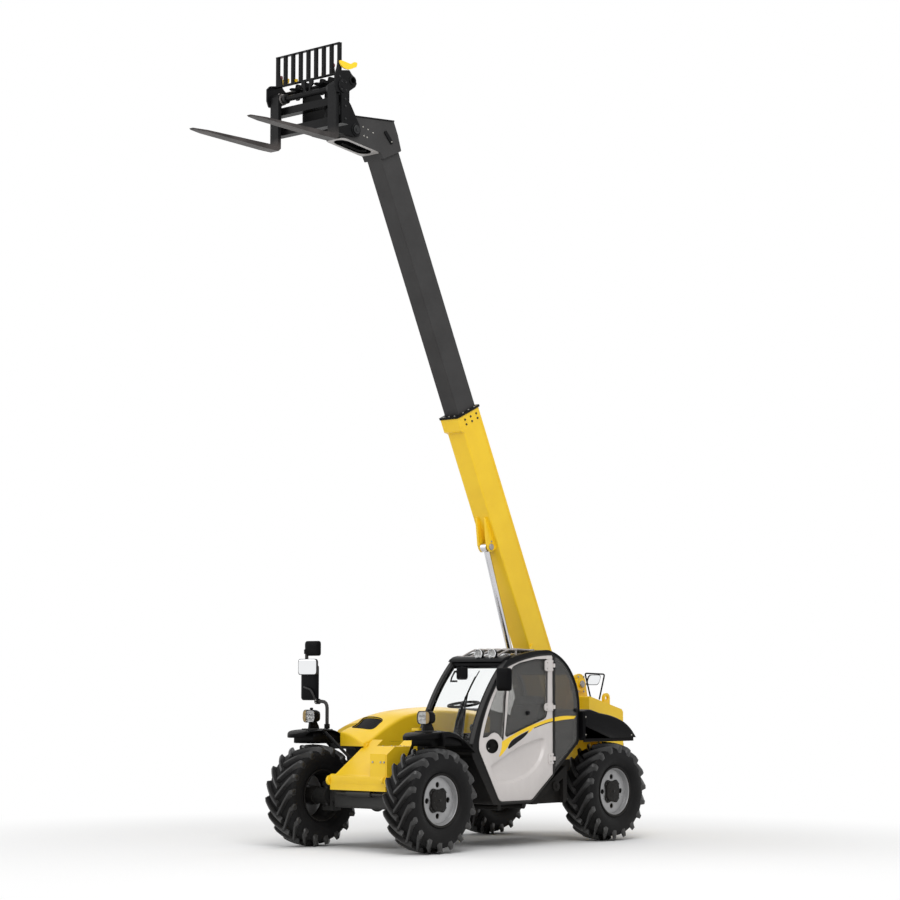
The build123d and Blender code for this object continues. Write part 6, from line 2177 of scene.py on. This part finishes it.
    def ends(self) -> None:
        """Shaft-end discs with their bolts, the tube's end rings and the side plates' bolts."""
        discs, heads, ring_ends, side_heads = [], [], [], []
        for sign in (1, -1):
            discs.append(lathe([(0.0, 0), (0.0, 0.070), (0.009, 0.070), (0.012, 0.066), (0.012, 0.034),
                                (0.016, 0.031), (0.016, 0)], (sign * self.side_out, *self.shaft),
                               (sign, 0, 0), 56))
            heads.append(bolts([(sign * 0.5235, self.shaft[0] + 0.050 * math.cos(a),
                                 self.shaft[1] + 0.050 * math.sin(a)) for a in (0.9, 2.24, 4.04, 5.38)],
                               (sign, 0, 0), 0.0085))
            ring_ends.append(lathe([(0.0, 0.0292), (0.0, 0.046), (0.005, 0.048), (0.009, 0.044),
                                    (0.009, 0.0292), (0.0, 0.0292)], (sign * 0.5115, 0.392, 0.395),
                                   (sign, 0, 0), 48))
            side_heads.append(bolts([(sign * 0.5118, f, u) for f, u in
                                     ((0.495, -0.020), (0.495, 0.110), (0.500, 0.185), (0.580, 0.405))],
                                    (sign, 0, 0), 0.011))
        self.put("shaft_end_discs", BLACK, *discs)
        self.put("shaft_end_bolts", CAST, *heads)
        self.put("tube_end_rings", BLACK, *ring_ends)
        self.put("side_plate_bolts", CAST, *side_heads)

    def cheeks(self) -> None:
        """Bolts and hub rings on the inner cheeks."""
        places = ((0.39, 0.36), (0.33, 0.36), (0.39, 0.02), (0.33, -0.02))
        inside = [bolts([(sign * 0.174, f, u) for f, u in places], (sign, 0, 0), 0.010) for sign in (1, -1)]
        hubs = [lathe([(0.0, 0.0322), (0.0, 0.062), (0.006, 0.064), (0.010, 0.060), (0.010, 0.0322),
                       (0.0, 0.0322)], (sign * 0.1735, 0.0, 0.0), (sign, 0, 0), 44) for sign in (1, -1)]
        self.put("cheek_bolts", CAST, *inside)
        self.put("cheek_hubs", BLACK, *hubs)

    def forks(self) -> None:
        """Dress the CAD forks and give each eye its ring and set screw."""
        dress(FORK, "fork_left", "fork_right")
        for name, x in (("fork_l", 0.425), ("fork_r", -0.425)):
            screw = bolts([(x, self.eye[0], 0.3765)], (0, 0, 1), 0.009)
            collars = [lathe([(0, 0.0335), (0, 0.056), (0.003, 0.057), (0.004, 0.054), (0.004, 0.0335),
                              (0, 0.0335)], (x + sign * 0.0598, *self.eye), (sign, 0, 0), 44)
                       for sign in (1, -1)]
            Part(name + "_eye_rings", name, STEEL).make(join(screw, *collars).mapped(on_carriage))

    def build(self) -> None:
        """Make the whole carriage's visible detail."""
        dress(BLACK, "fork_carriage")
        self.backrest()
        self.locks()
        self.middle()
        self.ends()
        self.cheeks()
        self.forks()


# ---------------------------------------------------------------- lamps and mirrors
@dataclass
class Headlamp:
    """Rounded twin-bowl headlamp with an amber outer corner, on a bracket over the front guard."""

    side: str
    centre: tuple = (0.830, -0.030, 1.365)
    half: tuple = (0.090, 0.060, 0.068)
    body: str = "chassis"
    crown: float = FRONT_LEFT[1].z + 0.158

    def put(self, tail: str, finish: Finish | Glazing, *shells: Shell, **options: object) -> None:
        """Make one piece of this lamp, given for the left side."""
        Part(f"headlamp_{self.side}_{tail}", self.body, finish, **options).make(
            *[on_side(self.side, shell) for shell in shells])

    def face(self, grown: float, at: float) -> Rows:
        """Rounded outline of the case at one y.

        Args:
            grown: how far outside the case's outline.
            at: y of the face.

        Returns:
            Rows of (x, y, z).
        """
        x, _, z = self.centre
        w, h = self.half[0] + grown, self.half[2] + grown
        line = framed((x - w, x + w), (z - h, z + h), 0.046, 7)
        return np.column_stack([line[:, 0], np.full(len(line), at), line[:, 1]])

    def case(self) -> None:
        """The moulded case, the two bowls and the bright plate round them."""
        x, y, z = self.centre
        steps = ((-0.034, 0.060), (-0.012, 0.050), (-0.004, 0.020), (0.0, -0.030), (0.0, -0.044),
                 (-0.005, -0.046), (-0.007, -0.034), (-0.010, -0.012))
        self.put("case", MOULDED, rings(*[self.face(grown, y + back) for grown, back in steps]), angle=50,
                 replaces=("headlights",) if self.side == "left" else ())
        spots = [(x - 0.049, z), (x + 0.006, z)]
        bowl = [(-0.012, 0), (-0.012, 0.006), (-0.008, 0.014), (-0.002, 0.021), (0.006, 0.0262),
                (0.006, 0.0272), (-0.004, 0.023), (-0.016, 0.008), (-0.016, 0)]
        self.put("bowls", REFLECTOR, *[lathe(bowl, (cx, y - 0.036, cz), (0, -1, 0), 40) for cx, cz in spots])
        plate = slab(grow(self.face(-0.008, 0)[:, ::2], 0), y - 0.036, y - 0.034, Along.Y,
                     tuple(np.array(spot) + circle(0.0265, 40) for spot in spots))
        self.put("surround", REFLECTOR, plate)

    def lenses(self) -> None:
        """The clear lens and the amber outer corner, which meet on one upright line."""
        x, y, z = self.centre
        line = self.face(-0.0065, 0)[:, ::2]
        split = x + 0.040
        ends = np.array([(split, z + way * self.half[2] * 0.93) for way in (-1, 1)])
        for tail, finish, kept in (("lens", LENS, line[:, 0] < split),
                                   ("indicator", AMBER, line[:, 0] >= split)):
            outline = np.vstack([line[kept], ends])
            middle = outline.mean(0)
            outline = outline[np.argsort(np.arctan2(outline[:, 1] - middle[1], outline[:, 0] - middle[0]))]
            self.put(tail, finish, slab(grow(outline, -0.0004), y - 0.054, y - 0.047, Along.Y), bevel=0.0025)

    def stand(self) -> None:
        """The knob and its stand, the marker on the left guard and the platform."""
        x, y, z = self.centre
        level = self.crown + 0.006
        knob = pillow((x + 0.020, y + 0.015, z + 0.078), (0.016, 0.016, 0.012), 3)
        foot = [(y - 0.045, self.crown + 0.0005), (y + 0.105, self.crown - 0.002),
                (y + 0.095, self.crown + 0.030), (y + 0.045, z - 0.030), (y - 0.025, z - 0.030)]
        self.put("stand", BLACK, slab(rounded(foot, 0.008, 4, closed=True), x - 0.013, x + 0.013), knob,
                 bevel=0.003)
        if self.side == "left":
            marker = slab(framed((x - 0.158, x - 0.062), (-0.085, -0.030), 0.010), level - 0.002,
                          level + 0.026, Along.Z)
            Part("guard_marker", self.body, YELLOW, bevel=0.004).make(marker)
        base = slab(framed((x - 0.085, x + 0.085), (y - 0.075, y + 0.125), 0.02, 5), self.crown - 0.004,
                    level, Along.Z)
        self.put("platform", DARK, base, bevel=0.003)

    def build(self) -> None:
        """Make the case, bowls, lenses, knob and bracket."""
        self.case()
        self.lenses()
        self.stand()


@dataclass
class Mirrors:
    """The five mirror heads with their masts, arms and clamps."""

    body: str = "chassis"

    def head(self, x: tuple, z: tuple, y: float, deep: float = 0.036, glass_back: bool = True,
             corner: float = 0.034) -> tuple[Shell, Shell]:
        """A mirror head: domed moulded back that faces forwards and a flat glass that faces back.

        Args:
            x, z: lowest and highest values.
            y: where the glass's face lies.
            deep: depth of the back.
            glass_back: whether the glass faces the driver, behind the head.
            corner: radius of the corners.

        Returns:
            The back and the glass.
        """
        sign = -1 if glass_back else 1

        def ring(step: float, depth: float) -> Rows:
            """Outline moved inwards at one depth."""
            line = framed((x[0] + step, x[1] - step), (z[0] + step, z[1] - step), corner, 7)
            return np.column_stack([line[:, 0], np.full(len(line), y + sign * depth), line[:, 1]])

        steps = [(0.006, 0.004), (0.004, 0.0), (0.0, 0.003), (0.0, deep * 0.45), (0.004, deep * 0.7),
                 (0.018, deep * 0.9), (0.05, deep)]
        back = rings(*[ring(step, depth) for step, depth in steps])
        glass = rings(ring(0.0075, 0.0042), ring(0.0075, 0.0008), ring(0.012, 0.0004))
        return back, glass

    def build(self) -> None:
        """Make every mirror, mast and clamp."""
        level = FRONT_LEFT[1].z + 0.150
        backs, glasses = [], []
        for x, z, y in (((-1.214, -0.960), (1.529, 1.908), 0.205), ((-1.160, -0.932), (2.005, 2.165), 0.205),
                        ((1.075, 1.270), (1.634, 1.870), 0.790)):
            back, glass = self.head(x, z, y)
            backs.append(back)
            glasses.append(glass)
        front_back, front_glass = self.head((-1.222, -0.937), (1.801, 1.972), 0.142, 0.040, False)
        Part("mirror_backs", self.body, MOULDED, angle=50, replaces=("mirrors",)).make(*backs)
        Part("mirror_front_back", self.body, CAST, "black_plastic", angle=50).make(front_back)
        Part("mirror_glasses", self.body, SHINE).make(*glasses)
        Part("mirror_front_glass", self.body, SHINE).make(front_glass)
        foot_x, top_x, y, elbow = -0.822, -1.137, 0.190, 1.518
        mast = tube([(foot_x, y, level - 0.006), (foot_x, y, elbow), (-0.990, y, elbow), (-1.010, y, 1.640),
                     (top_x, y, 1.760), (top_x, y, 2.100)], 0.019, 0.085, 20)
        hoop = tube([(-0.990, 0.186, 1.530), (-0.996, 0.152, 1.590), (-1.030, 0.146, 1.645),
                     (-1.140, 0.150, 1.672)], 0.010, 0.04, 12)
        Part("mirror_mast", self.body, DARK).make(mast, hoop)
        upright = (0, 0, 1)
        places = ((-0.965, elbow, (1, 0, 0)), (top_x, 1.93, upright), (top_x, 2.05, upright),
                  (foot_x, level + 0.035, upright))
        clamps = [sleeve(0.024, 0.0192, 0.030, (x, y, z), axis, 24) for x, z, axis in places]
        foot = slab(framed((-0.86, -0.774), (0.145, 0.235), 0.012), level - 0.004, level + 0.006, Along.Z)
        screws = bolts([(-0.965, 0.161, elbow + s * 0.012) for s in (-1, 1)], (0, -1, 0), 0.006)
        Part("mirror_clamps", self.body, BLACK, bevel=0.002).make(*clamps, foot)
        Part("mirror_clamp_screws", self.body, BOLT).make(screws)
        arm = tube([(0.978, 0.896, 1.752), (1.02, 0.860, 1.752), (1.12, 0.779, 1.752)], 0.011, 0.03, 16)
        knuckle = pillow((0.995, 0.882, 1.752), (0.018, 0.020, 0.030), 3)
        Part("left_mirror_arm", self.body, BLACK).make(arm, knuckle)
        self.rear()

    def rear(self) -> None:
        """Convex mirror in its bent frame over the left rear box."""
        x, y = 0.445, WHEELBASE + 0.220
        wire = tube([(x, y + 0.058, 1.548), (x, y - 0.040, 1.822), (x, y + 0.310, 1.812),
                     (x, y + 0.212, 1.530)], 0.009, 0.03, 14)
        Part("rear_mirror_frame", self.body, BLACK).make(wire)

        def ring(step: float, out: float) -> Rows:
            """Rounded outline moved inwards, leaning towards the ground, at one depth.

            Args:
                step: how far inwards.
                out: how far out along x.

            Returns:
                Rows of (x, y, z).
            """
            line = rounded([(y + step, 1.690 + step), (y + 0.215 - step, 1.690 + step),
                            (y + 0.235 - step, 1.806 - step), (y + 0.015 + step, 1.806 - step)], 0.045, 8,
                           closed=True)
            return np.column_stack([x + out + 0.22 * (line[:, 1] - 1.75), line])

        bowl = rings(ring(0.006, 0.000), ring(0.0, 0.002), ring(0.0, -0.012), ring(0.018, -0.026),
                     ring(0.045, -0.032))
        glass = rings(ring(0.0065, -0.001), ring(0.0068, 0.0026), ring(0.030, 0.0045))
        Part("rear_mirror_back", self.body, MOULDED).make(bowl)
        Part("rear_mirror_glass", self.body, SHINE).make(glass)


# ---------------------------------------------------------------- seat
def rows_of(items: "bpy.types.bpy_prop_collection", value: str) -> Rows:
    """One vector of each item in a mesh's list.

    Args:
        items: vertices or normals of a mesh.
        value: the name of their vector.

    Returns:
        One row of three per item.
    """
    flat = np.empty(len(items) * 3)
    items.foreach_get(value, flat)
    return flat.reshape(-1, 3)


@dataclass
class Seat:
    """Driver's seat: padded cushion and backrest blown up like stuffed cloth, with sewn channels."""

    voxel: float = 0.0058
    pressure: float = 4.0
    frames: int = 20
    cap: float = 0.012
    middle: float = 0.585
    body: str = "chassis"

    def cushion(self) -> Shell:
        """A crowned pad, higher at its sides, with its front edge rolled down.

        Returns:
            The pad, moved by bolster.
        """
        level = 0.940
        pad = pillow((self.middle, 1.520, level), (0.226, 0.226, 0.044), 6, 0.10, (56, 26))

        def bolster(points: Rows) -> Rows:
            """Raise the sides and drop the front edge.

            Args:
                points: rows of the plain pad.

            Returns:
                Rows raised by the fourth power of the place across, dropped by a square in front.
            """
            x, y, z = points.T
            across, forward = (x - self.middle) / 0.23, (1.30 - y) / 0.10
            z = z + np.where(z > level, 0.010 * across ** 4, 0) - 0.014 * np.clip(forward + 1, 0, 1) ** 2
            return np.stack([x, y, z], -1)

        return pad.mapped(bolster)

    def backrest(self) -> Shell:
        """A leaning pad with side bolsters and a lumbar swell.

        Returns:
            The pad, moved by lean.
        """
        pad = pillow((self.middle, 0.0, 0.0), (0.216, 0.040, 0.286), 6, 0.0, (56, 30))

        def lean(points: Rows) -> Rows:
            """Bend and lean the upright pad against its shell.

            Args:
                points: rows of the upright pad.

            Returns:
                Rows narrowed upwards, with bolsters and a lumbar swell, at their place in the cab.
            """
            x, y, z = points.T
            across, up = (x - self.middle) / 0.22, z / 0.29
            narrow = 1 - 0.12 * np.clip(up, 0, 1) ** 2
            y = y - np.where(y < 0, 0.012 * across ** 4 + 0.010 * np.exp(-((up + 0.45) / 0.3) ** 2), 0)
            x = self.middle + (x - self.middle) * narrow
            return np.stack([x, y + 1.7975 + 0.105 * up * 0.62, z + 1.302], -1)

        return pad.mapped(lean)

    def stuff(self, made: bpy.types.Object) -> None:
        """Remesh, blow up under cloth pressure and hold back the swell.

        Args:
            made: the pad, changed in place.
        """
        skin_mod = made.modifiers.new("skin", "REMESH")
        skin_mod.mode, skin_mod.voxel_size = "VOXEL", self.voxel
        scene = bpy.context.scene
        made.data = applied(made)
        made.modifiers.clear()
        before = rows_of(made.data.vertices, "co")
        cloth = made.modifiers.new("cloth", "CLOTH").settings
        cloth.use_pressure, cloth.uniform_pressure_force = True, self.pressure
        cloth.effector_weights.gravity = 0.0
        for number in range(1, self.frames + 1):
            scene.frame_set(number)
        blown = applied(made)
        step = rows_of(blown.vertices, "co") - before
        scene.frame_set(1)
        far = np.linalg.norm(step, axis=1, keepdims=True)
        step *= np.minimum(1, self.cap / np.maximum(far, 1e-9))
        made.modifiers.clear()
        made.data.vertices.foreach_set("co", (before + step).ravel())
        made.data.update()

    def sew(self, made: bpy.types.Object, lines: tuple) -> None:
        """Press channels into the cloth: depth times exp of minus (distance from the line / width) squared.

        Args:
            made: the pad, changed in place.
            lines: (axis, place, width) of each channel.
        """
        points = rows_of(made.data.vertices, "co") - SHIFT
        normals = rows_of(made.data.vertex_normals, "vector")
        depth = np.zeros(len(points))
        for axis, place, width in lines:
            depth = np.maximum(depth, 0.006 * np.exp(-((points[:, axis] - place) / width) ** 2))
        points = points - normals * depth[:, None]
        made.data.vertices.foreach_set("co", (points + SHIFT).ravel())
        made.data.update()

    def build(self) -> None:
        """Make both pads, the seat pan and the plate behind the backrest."""
        jobs = (("seat_cushion", self.cushion(), ((0, 0.455, 0.007), (0, 0.715, 0.007), (1, 1.46, 0.008),
                                                  (1, 1.60, 0.008))),
                ("seat_backrest", self.backrest(), ((0, 0.460, 0.007), (0, 0.710, 0.007), (2, 1.18, 0.008),
                                                    (2, 1.34, 0.008), (2, 1.48, 0.008))))
        for name, shell, lines in jobs:
            pad = Part(name, self.body, CLOTH, angle=80,
                       replaces=("seat",) if name == "seat_cushion" else ()).make(shell)
            self.stuff(pad)
            self.sew(pad, lines)
            finer = pad.modifiers.new("finer", "SUBSURF")
            finer.levels = finer.render_levels = 1
            pad.data.shade_smooth()
        pan = slab(framed((0.372, 0.798), (1.300, 1.745), 0.04, 6), 0.8805, 0.900, Along.Z)
        rest = slab(rounded([(1.800, 0.890), (1.824, 0.890), (1.896, 1.560), (1.872, 1.560)], 0.008, 4,
                            closed=True), 0.400, 0.770)
        Part("seat_pan", self.body, MOULDED, bevel=0.004).make(pan, rest)


# ---------------------------------------------------------------- stage
@dataclass
class Studio:
    """White room, soft lamps and the camera."""

    azimuth: float = math.radians(42.3418)
    pitch: float = math.radians(5.434)
    place: tuple = (17.705, -18.193, 1.736)
    focal: float = 97.12
    sensor: float = 36.0
    floor_half: float = 400.0

    def camera(self) -> None:
        """A level camera that looks slightly up."""
        data = bpy.data.cameras.new("camera")
        data.lens, data.sensor_width, data.clip_end = self.focal, self.sensor, 1000.0
        made = placed("camera", data)
        made.location = Vector(self.place) + Vector(SHIFT)
        ahead = Vector((-math.sin(self.azimuth) * math.cos(self.pitch),
                        math.cos(self.azimuth) * math.cos(self.pitch), math.sin(self.pitch)))
        made.rotation_euler = ahead.to_track_quat("-Z", "Y").to_euler()
        bpy.context.scene.camera = made

    def floor(self) -> None:
        """A pale floor that keeps the shadow near the machine and fades to white far from it."""
        half = self.floor_half
        data = bpy.data.meshes.new("floor")
        data.from_pydata([(-half, -half, 0), (half, -half, 0), (half, half, 0), (-half, half, 0)], [],
                         [(0, 1, 2, 3)])
        made = placed("floor", data)
        g = Graph("pale_floor")
        place = g.node("TexCoord", {}).outputs["Object"]
        far = g.node("MapRange", {"Value": g.node("VectorMath", {0: place},
                                                  operation="LENGTH").outputs["Value"], "From Min": 3.2,
                                  "From Max": 7.5}, interpolation_type="SMOOTHSTEP")
        path = g.node("LightPath", {}).outputs
        seen = g.node("Math", {0: path["Is Camera Ray"], 1: path["Is Transmission Ray"]}, operation="MAXIMUM")
        seen = g.node("Math", {0: seen.outputs[0], 1: path["Is Glossy Ray"]}, operation="MAXIMUM")
        fade = g.node("Math", {0: far.outputs["Result"], 1: seen.outputs[0]}, operation="MULTIPLY")
        matt = g.node("BsdfDiffuse", {"Color": (0.93, 0.93, 0.93, 1)})
        white = g.node("Emission", {"Color": (1, 1, 1, 1), "Strength": 1.0})
        data.materials.append(g.finish(g.node("MixShader", {
            0: fade.outputs[0], 1: matt.outputs[0], 2: white.outputs[0]})))

    def lamps(self) -> None:
        """Key, fill, back and overhead softboxes, each (place, size, power)."""
        boxes = {"key": ((9.0, -7.0, 11.0), 8.0, 1000), "fill": ((-10.0, -9.0, 7.0), 9.0, 330),
                 "back": ((-6.0, 12.0, 10.0), 9.0, 220), "top": ((1.0, 0.0, 16.0), 10.0, 420)}
        for name, (place, size, power) in boxes.items():
            data = bpy.data.lights.new(name, "AREA")
            data.shape, data.size, data.energy = "SQUARE", size, power
            made = placed(name, data)
            made.location = place
            made.rotation_euler = (Vector((0, 0, 2.5)) - Vector(place)).to_track_quat("-Z", "Y").to_euler()

    def sky(self) -> None:
        """Even white surroundings: full white where seen, mirrored or through glass, softer as light."""
        world = bpy.data.worlds.new("studio")
        bpy.context.scene.world = world
        world.use_nodes = True
        nodes, links = world.node_tree.nodes, world.node_tree.links
        path = nodes.new("ShaderNodeLightPath")
        seen = path.outputs["Is Camera Ray"]
        for kind in ("Is Transmission Ray", "Is Glossy Ray"):
            pick = nodes.new("ShaderNodeMath")
            pick.operation = "MAXIMUM"
            links.new(seen, pick.inputs[0])
            links.new(path.outputs[kind], pick.inputs[1])
            seen = pick.outputs[0]
        level = nodes.new("ShaderNodeMapRange")
        level.inputs["To Min"].default_value, level.inputs["To Max"].default_value = 0.50, 1.0
        links.new(seen, level.inputs["Value"])
        links.new(level.outputs["Result"], nodes["Background"].inputs["Strength"])
        nodes["Background"].inputs["Color"].default_value = (1, 1, 1, 1)

    def build(self) -> None:
        """Set up the whole stage."""
        bpy.context.scene.view_settings.view_transform = "Standard"
        self.camera()
        self.floor()
        self.lamps()
        self.sky()


def plain_nodes() -> None:
    """Dress the CAD nodes that show as they are and belong to no class above."""
    dress(BLACK, "main_frame")
    dress(CAST, "front_axle", "rear_axle", "engine_block")


def main() -> None:
    """Build the stage and every sub-assembly, in order."""
    logging.basicConfig(level=logging.INFO, format="%(message)s")
    Studio().build()
    plain_nodes()
    for end, y in (("front", 0.0), ("rear", WHEELBASE)):
        for side, sign in (("left", 1), ("right", -1)):
            corner = f"{end}_{side}"
            dress(CAST, corner + "_knuckle")
            Wheel(corner, (sign * TRACK / 2, y, AXLE_Z), side).build()
    FrontEnd().build()
    Hood().build()
    FrontGuard("left", 0.415).build()
    FrontGuard("right", 0.335).build()
    RearGuard("left").build()
    RearGuard("right").build()
    RearEnd().build()
    cab = Cab()
    cab.build()
    Door(cab).build()
    Seat().build()
    Boom().build()
    Head().build()
    Cylinder().build()
    Carriage().build()
    Headlamp("left").build()
    Headlamp("right").build()
    Mirrors().build()
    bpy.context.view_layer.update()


if __name__ == "__main__":
    main()
